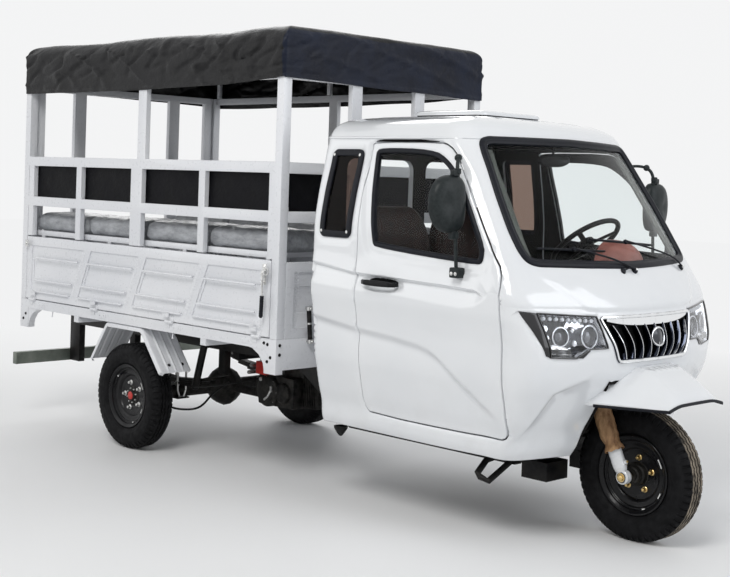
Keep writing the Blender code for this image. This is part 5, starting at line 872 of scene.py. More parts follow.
DOOR = door_shares([
    (0.00, 0.055), (0.012, 0.02), (0.05, 0.0), (0.94, 0.0), (0.985, 0.012), (1.0, 0.05), (1.0, 0.50), (0.985, 0.575),
    (0.927, 0.63), (0.898, 0.668), (0.786, 0.79), (0.627, 0.95), (0.57, 0.985), (0.49, 1.0), (0.04, 1.0),
    (0.0, 0.985),
])
WINDOW = door_shares([
    (0.122, 0.637), (0.142, 0.622), (0.838, 0.592), (0.859, 0.603), (0.862, 0.655), (0.68, 0.855), (0.562, 0.928),
    (0.45, 0.962), (0.075, 0.966), (0.056, 0.95),
])


def round_rect(lo, hi, r, steps=5):
    P = []
    for k, (cx, cy) in enumerate(((hi[0] - r, hi[1] - r), (lo[0] + r, hi[1] - r), (lo[0] + r, lo[1] + r),
        (hi[0] - r, lo[1] + r))):
        for i in range(steps + 1):
            w = math.pi / 2 * (k + i / steps)
            P.append((cx + r * math.cos(w), cy + r * math.sin(w)))
    return P


QUARTER = [(x + 0.012 * (z - 1.240) / 0.393, z) for x, z in round_rect((2.578, 1.240), (2.775, 1.633), 0.028)]
SCREEN_LOW = 1.170
SCREEN_HALF = [(0.0, SCREEN_LOW), (0.294, 1.176), (0.536, 1.182), (0.573, 1.194), (0.584, 1.230), (0.530, 1.640),
               (0.5175, 1.6775), (0.480, 1.690), (0.0, 1.697)]
LAMP = [(y, z) for y, z in [
    (0.310 + a * 0.379, 0.809 + b * 0.188) for a, b in
    [(0.10, 0.872), (0.005, 0.19), (0.253, 0.186), (0.43, 0.0), (0.76, 0.04), (0.80, 0.07), (1.0, 1.0),
    (0.847, 0.973)]
]]
L1 = np.array([(2.50, 1.122), (2.55, 1.118), (2.824, 1.088), (3.074, 1.082), (3.34, 1.075), (3.532, 1.067),
    (3.60, 1.060)])
L2 = np.array([(2.50, 1.016), (2.55, 1.014), (2.816, 1.003), (3.10, 1.001), (3.213, 0.994), (3.324, 0.985),
    (3.46, 0.979),
               (3.536, 0.994), (3.60, 1.030), (3.62, 1.060)])
L3 = np.array([(2.50, 0.879), (2.556, 0.875), (2.801, 0.847), (3.043, 0.830), (3.200, 0.812), (3.260, 0.799),
    (3.305, 0.781),
               (3.345, 0.755), (3.405, 0.711), (3.534, 0.620), (3.629, 0.560), (3.70, 0.52)])
win_segs = segs_of(chaikin(WINDOW, 2))
quarter_segs = segs_of(np.array(QUARTER))


def side_relief(P, ab):
    """Depth of the pressed lines on the cab's sides, from the side view (x, z)."""
    x, z = P[:, 0], P[:, 2]
    r = np.zeros(len(P))
    on_side = (ab[:, 0] > np.interp(0.22, _u, A_U)) & (ab[:, 0] < np.interp(0.74, _u, A_U))
    top, low = np.interp(x, L1[:, 0], L1[:, 1]), np.interp(x, L2[:, 0], L2[:, 1])
    tall = np.maximum(top - low, 1e-4)
    s = np.clip((z - low) / tall, 0, 1)
    depth = 0.020 * smoothstep(0.0, 0.06, tall) * smoothstep(3.625, 3.52, x)
    shape = np.where(s < 0.86, smoothstep(0.0, 0.86, s) * 0.75 + s / 0.86 * 0.25, 1 - smoothstep(0.86, 1.0, s))
    r -= depth * shape
    d = (np.interp(x, L3[:, 0], L3[:, 1]) - z) * np.interp(x, (3.2, 3.45), (1.0, 0.78))
    r -= 0.019 * smoothstep(0.0, 0.040, d) * np.exp(-np.maximum(d - 0.040, 0) / 0.16) * smoothstep(3.66, 3.50, x)
    w = seg_dist(np.stack([x, z], 1), win_segs)
    hole = inside(np.stack([x, z], 1), np.array(WINDOW))
    w = np.where(hole, 0, w)
    r -= 0.008 * smoothstep(0.064, 0.048, w) * (x < 3.66)
    w = seg_dist(np.stack([x, z], 1), quarter_segs)
    r -= 0.003 * smoothstep(0.030, 0.020, w)
    q = np.sqrt(((x - 2.985) / 0.135) ** 2 + ((z - 1.047) / 0.036) ** 2)
    r -= 0.013 * smoothstep(1.08, 0.7, q)
    return np.where(on_side, r, 0.0)


def front_relief(P, ab):
    """Pressed lines of the nose, from the front view (|y|, z)."""
    y, z = np.abs(P[:, 1]), P[:, 2]
    r = np.zeros(len(P))
    ahead = ab[:, 0] > np.interp(0.66, _u, A_U)
    # the bonnet's lower edge stands over the lamps and the grille
    edge = np.interp(y, (0.0, 0.30, 0.45, 0.69), (0.985, 0.986, 1.004, 1.008))
    r += 0.006 * smoothstep(edge, edge + 0.012, z) * smoothstep(edge + 0.20, edge + 0.03, z) * (z < 1.25)
    # the raised middle of the bonnet
    side = np.interp(z, (0.98, 1.13), (0.36, 0.54))
    r += 0.006 * smoothstep(side + 0.022, side - 0.010, y) * smoothstep(0.985, 1.01, z) * smoothstep(1.15, 1.10, z)
    # cheeks beside the wheel arch: a soft step that runs down and out from the fender
    t = np.interp(z, (0.45, 0.66, 0.72), (0.60, 0.545, 0.40))
    r -= 0.012 * smoothstep(t + 0.008, t - 0.022, y) * smoothstep(0.74, 0.66, z) * smoothstep(0.40, 0.50, z)
    return np.where(ahead, r, 0.0)


def relief(P, ab):
    """All pressed lines of the cab."""
    return side_relief(P, ab) + front_relief(P, ab)


FINE = (-0.052, -0.042, -0.032, -0.024, -0.016, -0.010, -0.005, 0.0, 0.005, 0.010, 0.016)
b_roof = float(b_of(1.690))
pressed_feats = [(from_side(resample(L, 0.02, False)), FINE) for L in (L1[:-1], L2, L3)]
window_ring = chaikin(offset_loop(np.array(WINDOW), -0.055), 2)
frame_feats = pressed_feats + [(from_side(np.vstack([window_ring, window_ring[:1]])), (-0.010, -0.004, 0.002, 0.009))]
handle_ring = np.array([(2.985 + 0.125 * math.cos(w), 1.047 + 0.033 * math.sin(w)) for w in np.linspace(0,
    2 * math.pi, 40)])
frame_feats.append((from_side(handle_ring), (-0.008, -0.004, 0.0, 0.004, 0.008)))


def build_cab():
    """The cab's body with its holes, and the two doors with theirs."""
    arch = from_front([(0.275, CAB_LOW + 0.0005), (0.275, 0.45), (0.275, 0.55), (0.275, 0.66), (0.265, 0.692),
        (0.24, 0.700)])
    outer = [(0.0, 0.0)] + [(a, 0.0) for a in np.linspace(0.05, arch[0][0] - 0.01, 60)]
    outer += [tuple(p) for p in arch]
    outer += [(A_END, float(b_of(0.700))), (A_END, b_of(0.786))]
    outer += [tuple(p) for p in from_front([(0.225, 0.786), (0.244, 0.789), (0.255, 0.802), (0.323, 0.945),
        (0.329, 0.961), (0.318, 0.967)])]
    outer += [(A_END, b_of(0.967)), (A_END, b_of(SCREEN_LOW))]
    screen = [[(A_END, b_of(SCREEN_LOW))], from_front(SCREEN_HALF[1:-1]), [(A_END, b_roof - 0.0005)]]
    outer += [tuple(p) for p in chaikin(np.vstack(screen), 2, False)[1:-1]]
    outer += [(A_END, b_roof - 0.0005), (A_END, b_roof)]
    outer += [(a, b_roof) for a in np.linspace(A_END - 0.03, 0.03, 80)] + [(0.0, b_roof)]
    us = np.linspace(0.0, 0.2, 400)
    rear = []
    for y, z in resample(np.array(round_rect((0.045, 1.235), (0.500, 1.600), 0.05)), 0.02):
        b = float(b_of(z))
        rear.append((np.interp(np.interp(y, ring_point(us, np.full(400, b))[:, 1], us), _u, A_U), b))
    door_hole = resample(chaikin(DOOR, 1), 0.02)
    holes = [from_side(door_hole), from_side(QUARTER), from_front(LAMP), np.array(rear)]
    hood = np.array([(0.69, 1.004), (0.45, 1.000), (0.30, 0.984), (0.0, 0.983)])
    crease = np.array([(0.545, 1.14), (0.35, 0.985)])
    cheek = np.array([(0.60, 0.45), (0.545, 0.66), (0.47, 0.70), (0.38, 0.725)])
    feats = pressed_feats + [(from_front(hood), (-0.004, 0.002, 0.008, 0.014, 0.03)),
             (from_front(crease), (-0.03, -0.02, -0.01, 0.0, 0.01, 0.02)),
             (from_front(cheek), (-0.02, -0.01, 0.0, 0.01, 0.02))]
    body = skin("cab_body", outer, holes, feats, relief, 0.030, 0, step=0.017, lip=0.005)
    place(body, "chassis", ("cab_nose", "cab_rear"))
    hole = from_side(chaikin(WINDOW, 2))
    inner = offset_loop(door_hole, 0.006)
    for s, w in SIDES:
        door = skin(f"door_{w}_panel", from_side(inner), [hole], frame_feats, relief, 0.030, s, step=0.016, lip=0.005)
        place(door, f"{w}_door", (f"door_{w}",))


def build_roof():
    """Roof skin: lofted rows up to the crown, with shallow stiffening ribs."""
    us = np.concatenate([np.linspace(0, 0.2, 24)[:-1], np.linspace(0.2, 0.25, 9)[:-1],
        np.linspace(0.25, 0.65, 60)[:-1],
                         np.linspace(0.65, 0.75, 16)[:-1], np.linspace(0.75, 1.0, 32)])
    bs = np.linspace(b_roof, B_TOP, 34)
    rows = [ring_point(us, np.full(len(us), b)) for b in bs]
    a = np.interp(us, _u, A_U)
    nrm0 = normal(np.stack([a, np.full(len(us), b_roof + 0.003)], 1))
    first = rows[0]
    lips = [first - nrm0 * 0.020, first - nrm0 * 0.004, first - nrm0 * 0.001 + [0, 0, 0.002]]
    top = rows[-1]
    c = np.array([2.95, 0.0, 1.8])
    cap = []
    for f in np.linspace(0, 1, 14)[1:]:
        r = top * (1 - f) + c * f
        r[:, 2] = 1.80 + 0.006 * (1 - (1 - f) ** 2)
        cap.append(r)
    R = np.array(lips + rows[1:] + cap)
    x, y = R[..., 0], R[..., 1]
    # three long ribs on each side of the middle
    for yc in (0.14, 0.30, 0.44):
        R[..., 2] += 0.004 * np.exp(-(((y - yc) / 0.013) ** 2)) * smoothstep(2.66, 2.74, x) * smoothstep(3.34, 3.22,
            x) * (R[..., 2] > 1.77)
    n, m = R.shape[:2]
    V = R.reshape(-1, 3)
    F = lattice(n, m)
    k = len(V)
    inner = V.copy()
    inner[m:, 2] -= 0.016
    V2 = np.concatenate([V, inner])
    F2 = with_back(F, k) + [(j, j + k, j + 1 + k, j + 1) for j in range(m - 1)]
    ids = [0] * len(F) + [1] * len(F) + [0] * (m - 1)
    F2 = with_back(F2, len(V2))
    V2 = np.concatenate([V2, V2 * (1, -1, 1)])
    # the roof's inner faces take the near-black painted shade of the cab's inside
    o = mk("cab_roof_skin", V2, F2, [CAB, INSIDE_SHADE], 0, ids + ids)
    clean(o, 50, 1e-5)
    place(o, "chassis", ("cab_roof",))


def bead(name, loop_ab, width, height, mats, body="chassis", side=1, closed=True, sink=0.002, base=None,
    taper=0.0):
    """A rounded strip laid along a line on the skin."""
    P = surf(loop_ab)
    N = normal(loop_ab)
    if base is not None:
        P = P + N * base(P, loop_ab)[:, None]
    T = np.roll(P, -1, 0) - np.roll(P, 1, 0)
    if not closed:
        T = np.gradient(P, axis=0)
    T /= np.maximum(np.linalg.norm(T, axis=1), 1e-9)[:, None]
    S = np.cross(N, T)
    prof = [(-0.5, -0.5), (-0.5, 0.35), (-0.36, 0.8), (-0.15, 1.0), (0.15, 1.0), (0.36, 0.8), (0.5, 0.35),
        (0.5, -0.5)]
    n = len(P)
    V = []
    for i in range(n):
        k = 1.0
        if taper and not closed:
            k = min(1.0, (min(i, n - 1 - i) + 0.3) / taper)
        for a, h in prof:
            V.append(P[i] + S[i] * a * width * (0.4 + 0.6 * k) + N[i] * (h * height * k if h > 0 else -sink * 2))
    m = len(prof)
    F = lattice(n, m, True, closed)
    if not closed:
        F += caps(n, m)
    o = mk(name, np.array(V) * (1, side, 1), F, mats, 0)
    clean(o, 60)
    return place(o, body)


def whole_line(line):
    """Points and normals of a left half line and its mirror image, as one loop."""
    P, N = surf(line), normal(line)
    return [np.concatenate([A, (A * (1, -1, 1))[::-1][1:-1]]) for A in (P, N)]


def screen_seal():
    """Rubber frame of the windscreen."""
    half = from_front(SCREEN_HALF)
    half[0][0] = half[-1][0] = A_END
    line = chaikin(resample(half, 0.05, False), 2, False)
    PL, NL = whole_line(resample(line, 0.012, False))
    prof = np.array([(-17, -12), (-17, 2), (-14, 6), (-8, 8.5), (0, 9.5), (6, 8.5), (9, 5), (13, 3), (21, 1),
        (22, -2), (22, -12)]) / 1000
    o = Mesh().sweep(PL, NL, prof).make("windscreen_seal", SEAL, 50)
    place(o, "chassis")


build_cab()
build_roof()
screen_seal()
for s, w in SIDES:
    loop = from_side(resample(chaikin(WINDOW, 2), 0.012))
    bead(f"door_{w}_window_seal", loop, 0.022, 0.006, SEAL, f"{w}_door", s, base=side_relief, sink=0.008)
    loop = from_side(offset_loop(resample(QUARTER, 0.012), 0.010))
    bead(f"quarter_{w}_seal", loop, 0.030, 0.003, SEAL, "chassis", s, sink=0.008)
    drip = np.array([(a, b_roof) for a in np.linspace(0.05, float(np.interp(0.71, _u, A_U)), 150)])
    bead(f"drip_rail_{w}", drip, 0.012, 0.007, CAB, "chassis", s, closed=False, taper=14)

# ---------------------------------------------------------------- camera, light, floor

# the camera as it was solved from the photograph: its angles, place, focal length and raised optical axis
PHOTO_WIDE, PHOTO_TALL, FOCAL_PX, AXIS_ROW, SENSOR = 730, 577, 1319.2596, 205.731, 36.0
cam = bpy.data.objects.new("camera", bpy.data.cameras.new("camera"))
bpy.context.scene.collection.objects.link(cam)
yaw, pitch, roll = math.radians(135.1717), math.radians(-1.10565), math.radians(1.91749)
d = Vector((math.cos(pitch) * math.cos(yaw), math.cos(pitch) * math.sin(yaw), math.sin(pitch)))
r = d.cross(Vector((0, 0, 1))).normalized()
u = r.cross(d)
r2 = r * math.cos(roll) + u * math.sin(roll)
u2 = u * math.cos(roll) - r * math.sin(roll)
m = Matrix.Identity(4)
for i in range(3):
    m[i][0], m[i][1], m[i][2] = r2[i], u2[i], -d[i]
m.translation = Vector((7.0216312 - MID, -4.82064218, 1.49773153))
cam.matrix_world = m
cam.data.sensor_width = SENSOR
cam.data.sensor_fit = "HORIZONTAL"
cam.data.lens = FOCAL_PX / PHOTO_WIDE * SENSOR
cam.data.shift_y = (AXIS_ROW - PHOTO_TALL / 2) / PHOTO_WIDE
cam.data.clip_end = 200
bpy.context.scene.camera = cam


def lamp(name, at, target, energy, size, color=(1, 1, 1)):
    """An area light aimed at a target."""
    light = bpy.data.lights.new(name, "AREA")
    light.energy, light.size, light.color = energy, size, color
    o = bpy.data.objects.new(name, light)
    o.location = at
    o.rotation_euler = (Vector(target) - Vector(at)).to_track_quat("-Z", "Y").to_euler()
    bpy.context.scene.collection.objects.link(o)


lamp("key", (3.0, -6.0, 6.5), (0, 0, 0.8), 310, 3.2, (1.0, 0.99, 0.97))
lamp("fill", (7.5, 2.0, 4.0), (0, 0, 0.9), 175, 5.0, (0.93, 0.96, 1.0))
lamp("back", (-6.0, 4.5, 5.0), (0, 0, 1.0), 220, 5.0)
lamp("left", (-4.5, -6.0, 3.0), (0, 0, 1.0), 50, 4.0)

world = bpy.data.worlds.new("studio")
bpy.context.scene.world = world
world.use_nodes = True
t = world.node_tree
bg = t.nodes["Background"]
lp = t.nodes.new("ShaderNodeLightPath")
see = t.nodes.new("ShaderNodeMath")
see.operation = "MAXIMUM"
t.links.new(lp.outputs["Is Camera Ray"], see.inputs[0])
t.links.new(lp.outputs["Is Transmission Ray"], see.inputs[1])
see2 = t.nodes.new("ShaderNodeMath")
see2.operation = "MAXIMUM"
t.links.new(see.outputs[0], see2.inputs[0])
t.links.new(lp.outputs["Is Glossy Ray"], see2.inputs[1])
span = t.nodes.new("ShaderNodeMapRange")
span.inputs["To Min"].default_value = 0.42
span.inputs["To Max"].default_value = 0.93
t.links.new(see2.outputs[0], span.inputs["Value"])
t.links.new(span.outputs["Result"], bg.inputs["Strength"])
bg.inputs["Color"].default_value = (0.97, 0.975, 0.98, 1)

# the floor takes the shadows near the vehicle and melts into the pale background further out
floor = mk("floor", [(-30, -30, 0), (30, -30, 0), (30, 30, 0), (-30, 30, 0)], [(0, 1, 2, 3)], [], 0, shift=False)
nf = Nodes("floor_pale")
tone = nf.ramp(nf.noise(0.6, 3), (0.86, 0.865, 0.87), (0.88, 0.885, 0.89))
nf.set(Base_Color=tone, Roughness=0.6, Specular_IOR_Level=0.2)
away = nf.add("VectorMath", Vector=nf.co)
away.operation = "LENGTH"
far = nf.span(away.outputs["Value"], 2.9, 6.5, 0.0, 1.0)
far_glow = nf.add("Emission", Color=(0.95, 0.955, 0.96, 1.0), Strength=0.93)
path_kind = nf.t.nodes.new("ShaderNodeLightPath").outputs
mirrored = nf.math("MAXIMUM", path_kind["Is Glossy Ray"], path_kind["Is Transmission Ray"])
shown = nf.math("MAXIMUM", path_kind["Is Camera Ray"], mirrored)
blend_out = nf.t.nodes.new("ShaderNodeMixShader")
nf.t.links.new(nf.math("MULTIPLY", far, shown), blend_out.inputs[0])
nf.t.links.new(nf.b.outputs[0], blend_out.inputs[1])
nf.t.links.new(far_glow.outputs[0], blend_out.inputs[2])
nf.t.links.new(blend_out.outputs[0], nf.t.nodes["Material Output"].inputs["Surface"])
floor.data.materials.append(nf.m)

bpy.context.scene.view_settings.view_transform = "Standard"

# ---------------------------------------------------------------- glass, lamps, grille


def flat_relief(value):
    """A pane that lies at one depth under the skin."""
    return lambda P, ab: np.full(len(P), value)


screen_loop = np.vstack([[(A_END, b_of(1.137))], chaikin(from_front(SCREEN_HALF[1:-1]), 1, False),
    [(A_END, b_of(1.696))]])
glass_pane = skin("windscreen_pane", screen_loop, [], [], flat_relief(-0.005), 0.010, 0, step=0.03, lip=0.001,
    mats=[CLEAR, CLEAR])
place(glass_pane, "chassis", ("windscreen",))
for s, w in SIDES:
    pane = skin(f"door_{w}_pane", from_side(chaikin(WINDOW, 2)), [], [], flat_relief(-0.014), 0.018, s, step=0.03,
        lip=0.001, mats=[CLEAR, CLEAR])
    place(pane, f"{w}_door", (f"door_glass_{w}",))
    pane = skin(f"quarter_{w}_pane", from_side(QUARTER), [], [], flat_relief(-0.006), 0.010, s, step=0.03, lip=0.001,
        mats=[TINT, TINT])
    place(pane, "chassis", (f"quarter_glass_{w}",))
    screws = Mesh()
    for a, b in ((2.586, 1.262), (2.757, 1.262), (2.596, 1.612), (2.767, 1.612)):
        ab = from_side([(a, b)])
        p, n = surf(ab)[0] * (1, s, 1), normal(ab)[0] * (1, s, 1)
        screws.lathe([(-0.004, 0.009), (0.0015, 0.009), (0.003, 0.007), (0.0034, 0.003)], p, n, 16)
    place(screws.make(f"quarter_{w}_screws", ZINC), "chassis")


def on_nose(y, z, depth=0.0):
    """Point of the nose and its normal at a front-view place; y keeps its sign."""
    ab = from_front([(abs(y), z)])
    s = -1 if y < 0 else 1
    p, n = surf(ab)[0], normal(ab)[0]
    return (p + n * depth) * (1, s, 1), n * (1, s, 1)


def lamp_share(a, b):
    """A place in front view, from shares of the headlamp's width and height."""
    return 0.310 + a * 0.379, 0.809 + b * 0.188


def build_lamp(s, w):
    """Headlamp: glass, tub, two bowls with projector eyes, small lights and the dark fin outside it."""
    clear = [lamp_share(a, b) for a, b in [(0.10, 0.872), (0.005, 0.19), (0.253, 0.186), (0.43, 0.0), (0.745, 0.038),
        (0.832, 0.97)]]
    fin = [lamp_share(a, b) for a, b in [(0.755, 0.04), (0.80, 0.07), (1.0, 1.0), (0.842, 0.973)]]
    lens = skin(f"lamp_{w}_glass", from_front(clear), [], [], flat_relief(-0.001), 0.003, s, step=0.012, lip=0.004,
        mats=[LENS, LENS])
    place(lens, "chassis", (f"headlamp_{w}",))
    strip = skin(f"lamp_{w}_fin", from_front(fin), [], [], flat_relief(0.001), 0.02, s, step=0.012, lip=0.004,
        mats=[GLOSS_BLACK, PLASTIC])
    place(strip, "chassis")
    m = Mesh()
    loop = resample(from_front(clear), 0.01)
    P, N = surf(loop) * (1, s, 1), normal(loop) * (1, s, 1)
    mid = P.mean(0)
    back = P + (mid - P) * 0.30 + np.array([-0.050, -0.012 * s, 0])
    n = len(P)
    # reflector tub: steps down from the rim to the back wall
    rows = [P - N * 0.006, P + (mid - P) * 0.06 - N * 0.012, P + (mid - P) * 0.12 - N * 0.022, back]
    V = np.concatenate(rows + [[back.mean(0)]])
    F = lattice(4, n, True)
    F += [(3 * n + k, 3 * n + (k + 1) % n, 4 * n) for k in range(n)]
    m.add(V, F, 0)
    shell = V.copy()
    shell[:, 0] -= 0.003
    m.add(shell, [f[::-1] for f in F], 2)
    # dark rubber line round the glass
    prof = [(-0.004, -0.006), (-0.004, 0.0005), (-0.0015, 0.0022), (0.0015, 0.0022), (0.003, 0.0), (0.003, -0.006)]
    m.sweep(P, N, prof, True, 2)
    for (y, z, R, tilt) in ((0.537, 0.900, 0.040, 0.30), (0.397, 0.897, 0.047, 0.12)):
        p, nn = on_nose(y * s, z, -0.020)
        ax = np.array([0.95, tilt * s, 0.10])
        m.lathe([(-0.045, R * 0.8), (-0.006, R * 0.94), (0.0, R), (0.005, R * 1.02), (0.009, R * 0.98),
            (0.0095, R * 0.90),
                 (0.006, R * 0.86), (-0.004, R * 0.80), (-0.010, R * 0.74), (-0.012, R * 0.70), (-0.013, R * 0.05)],
                 p, ax, 48, 0)
        m.lathe([(-0.011, R * 0.70), (-0.007, R * 0.71), (-0.002, R * 0.66), (-0.003, R * 0.60), (-0.012, R * 0.58)],
            p, ax, 40, 2, True)
        m.lathe([(-0.012, R * 0.60), (-0.006, R * 0.57), (0.000, R * 0.47), (0.004, R * 0.30), (0.0055, R * 0.12),
            (0.0058, R * 0.01)], p, ax, 40, 1)
        m.lathe([(0.009, R * 1.04), (0.011, R * 1.0), (0.009, R * 0.96), (0.007, R * 1.0)], p, ax, 48, 3, True)
    # the row of small lights along the top, and a second down the outer edge
    for k in range(9):
        y, z = lamp_share(0.15 + 0.60 * k / 8, 0.80 + 0.075 * k / 8)
        p, nn = on_nose(y * s, z, -0.016)
        m.lathe([(-0.010, 0.0075), (0.0, 0.0085), (0.002, 0.0070), (0.003, 0.004), (0.0033, 0.0005)], p, nn, 12, 3)
    for k in range(3):
        y, z = lamp_share(0.765, 0.66 - 0.20 * k)
        p, nn = on_nose(y * s, z, -0.018)
        m.lathe([(-0.012, 0.013), (0.0, 0.016), (0.003, 0.013), (0.004, 0.006), (0.0045, 0.0005)], p, nn, 20, 0)
    # clear turn signal low at the outside, and chrome webs between the bowls
    low = [lamp_share(a, b) for a, b in [(0.46, 0.07), (0.72, 0.09), (0.735, 0.24), (0.54, 0.26)]]
    lo = resample(from_front(low), 0.01)
    P2, N2 = surf(lo) * (1, s, 1), normal(lo) * (1, s, 1)
    k = len(P2)
    V = np.concatenate([P2 - N2 * 0.010, P2 - N2 * 0.028, [P2.mean(0) - N2.mean(0) * 0.007]])
    F = [(i, (i + 1) % k, k + (i + 1) % k, k + i) for i in range(k)] + [(i, 2 * k, (i + 1) % k) for i in range(k)]
    F += [tuple(range(k, 2 * k))]
    m.add(V, F, 4)
    for y, z, h in ((0.468, 0.872, 0.016), (0.468, 0.925, 0.014), (0.605, 0.88, 0.014)):
        p, nn = on_nose(y * s, z, -0.020)
        m.lathe([(-0.02, h * 1.3), (0.0, h), (0.004, h * 0.5), (0.005, 0.0005)], p, nn, 5, 0)
    o = m.make(f"lamp_{w}_inside", [CHROME_SOFT, DARK_LENS, GLOSS_BLACK, PEARL, AMBER], 35)
    place(o, "chassis")
    # dark wedge in the body under the inner end of the lamp
    wedge = from_front([(0.409, 0.843), (0.470, 0.810), (0.440, 0.8085), (0.405, 0.838)])
    tri = skin(f"lamp_{w}_wedge", wedge, [], [], flat_relief(0.0012), 0.01, s, step=0.01, lip=0.001,
        mats=[GLOSS_BLACK, PLASTIC])
    place(tri, "chassis")


def grille_half(z):
    """The grille's half width at a height."""
    return np.interp(z, (0.787, 0.966), (0.245, 0.331))


def build_grille():
    """Bright frame, header, nine upright slats and blank badge, over a black mesh."""
    half = [(0.0, 0.787), (0.13, 0.787), (0.225, 0.787), (0.243, 0.790), (0.254, 0.803), (0.322, 0.945),
        (0.328, 0.960), (0.318, 0.966), (0.16, 0.966), (0.0, 0.966)]
    line = resample(from_front(half), 0.012, False)
    line[0][0] = line[-1][0] = A_END
    PL, NL = whole_line(line)
    m = Mesh()
    prof = np.array([(-9, -14), (-9, 4), (-7, 8), (-3, 9.5), (1, 9), (5, 6.5), (8, 2), (9, -3), (9, -14)]) / 1000
    m.sweep(PL, NL, prof, True, 0)
    # header plate, tilted, which narrows to both ends
    ys = np.linspace(-0.300, 0.300, 49)
    V = []
    for y in ys:
        zt, zl = 0.9595, 0.9595 - 0.030 * (1 - (abs(y) / 0.33) ** 3)
        V += [on_nose(y, z, depth)[0] for z, depth in ((zt, 0.006), (zl, 0.0015), (zl, -0.012), (zt, -0.012))]
    m.add(V, lattice(len(ys), 4, True) + caps(len(ys), 4), 0)
    # upright slats with a V section, turned a little, which follow the nose
    for i in range(9):
        f = (i - 4) / 4
        yt, yb = f * 0.272, f * 0.205
        rows = []
        st = np.linspace(0, 1, 15)
        for t in st:
            y, z = yb + (yt - yb) * t, 0.795 + (0.934 - 0.795) * t
            w = 0.0095 - 0.0030 * t
            p, n = on_nose(y, z, 0.0)
            across = np.array([-n[1], n[0], 0.0])
            across /= np.linalg.norm(across)
            bulge = 0.004 + 0.010 * math.sin(math.pi * min(1, t * 1.02)) ** 0.8
            rows += [p - across * w - n * 0.013, p - across * w * 0.9 - n * 0.004, p + n * bulge - across * 0.0015,
                p + n * bulge + across * 0.0015,
                     p + across * w * 0.9 - n * 0.004, p + across * w - n * 0.013]
        k = 6
        m.add(rows, lattice(len(st), k, True) + caps(len(st), k), 0)
    # badge: plain dished plate in a bright ring
    p0 = on_nose(0.0, 0.8765, 0.012)[0]
    wide, tall, bow, lean = 0.045, 0.037, 0.006, 0.15
    ring = np.array([
        p0 + (-bow * math.cos(t) ** 2 - lean * tall * math.sin(t), wide * math.cos(t), tall * math.sin(t))
        for t in np.linspace(0, 2 * math.pi, 56, endpoint=False)
    ])
    rn = np.broadcast_to(np.array([0.985, 0, 0.17]), ring.shape)
    m.sweep(ring, rn, np.array([(-5, -14), (-5, 2), (-3, 5), (0, 6), (3, 4.5), (5, 0), (5, -14)]) / 1000, True, 0)
    k = len(ring)
    V = np.concatenate([ring, ring * 0.5 + p0 * 0.5 + rn * 0.0035, [p0 + rn[0] * 0.0045], ring - rn * 0.012])
    F = [(i, (i + 1) % k, k + (i + 1) % k, k + i) for i in range(k)] + [(k + i, k + (i + 1) % k,
        2 * k) for i in range(k)]
    F += [((i + 1) % k, i, 2 * k + 1 + i, 2 * k + 1 + (i + 1) % k) for i in range(k)] + [tuple(range(2 * k + 1,
        3 * k + 1))]
    m.add(V, F, 1)
    o = m.make("grille_bright", [CHROME, BADGE], 32)
    place(o, "chassis", ("grille",))
    # black honeycomb behind: crossed wires on a backing plate
    g = Mesh()

    def wire(a, b):
        places = [np.array(a) * (1 - t) + np.array(b) * t for t in np.linspace(0, 1, 9)]
        P, N = (np.array(v) for v in zip(*(on_nose(y, z, -0.019) for y, z in places)))
        g.sweep(P, N, np.array([(-1.2, -1.5), (-1.2, 1.0), (1.2, 1.0), (1.2, -1.5)]) / 1000, False, 0)

    pitch, slant, low, high = 0.0125, 0.62, 0.797, 0.955
    for i in range(-40, 41):
        for s in (1, -1):
            zs = np.linspace(low, high, 41)
            pts = [(i * pitch + s * (z - low) * slant, z) for z in zs]
            # clipped to the frame
            good = [p for p in pts if abs(p[0]) < grille_half(p[1]) - 0.006]
            if len(good) > 4:
                wire(good[0], good[-1])
    place(g.make("grille_mesh", PLASTIC, 0), "chassis")
    back_half = [(0.0, 0.790), (0.240, 0.790), (0.322, 0.962), (0.0, 0.962)]
    bl = from_front(back_half)
    bl[0][0] = bl[-1][0] = A_END
    back = skin("grille_backing", bl, [], [], flat_relief(-0.026), 0.029, 0, step=0.03, lip=0.001, mats=[WELL, WELL])
    place(back, "chassis")


for s, w in SIDES:
    build_lamp(s, w)
build_grille()

# ---------------------------------------------------------------- wheels and fork


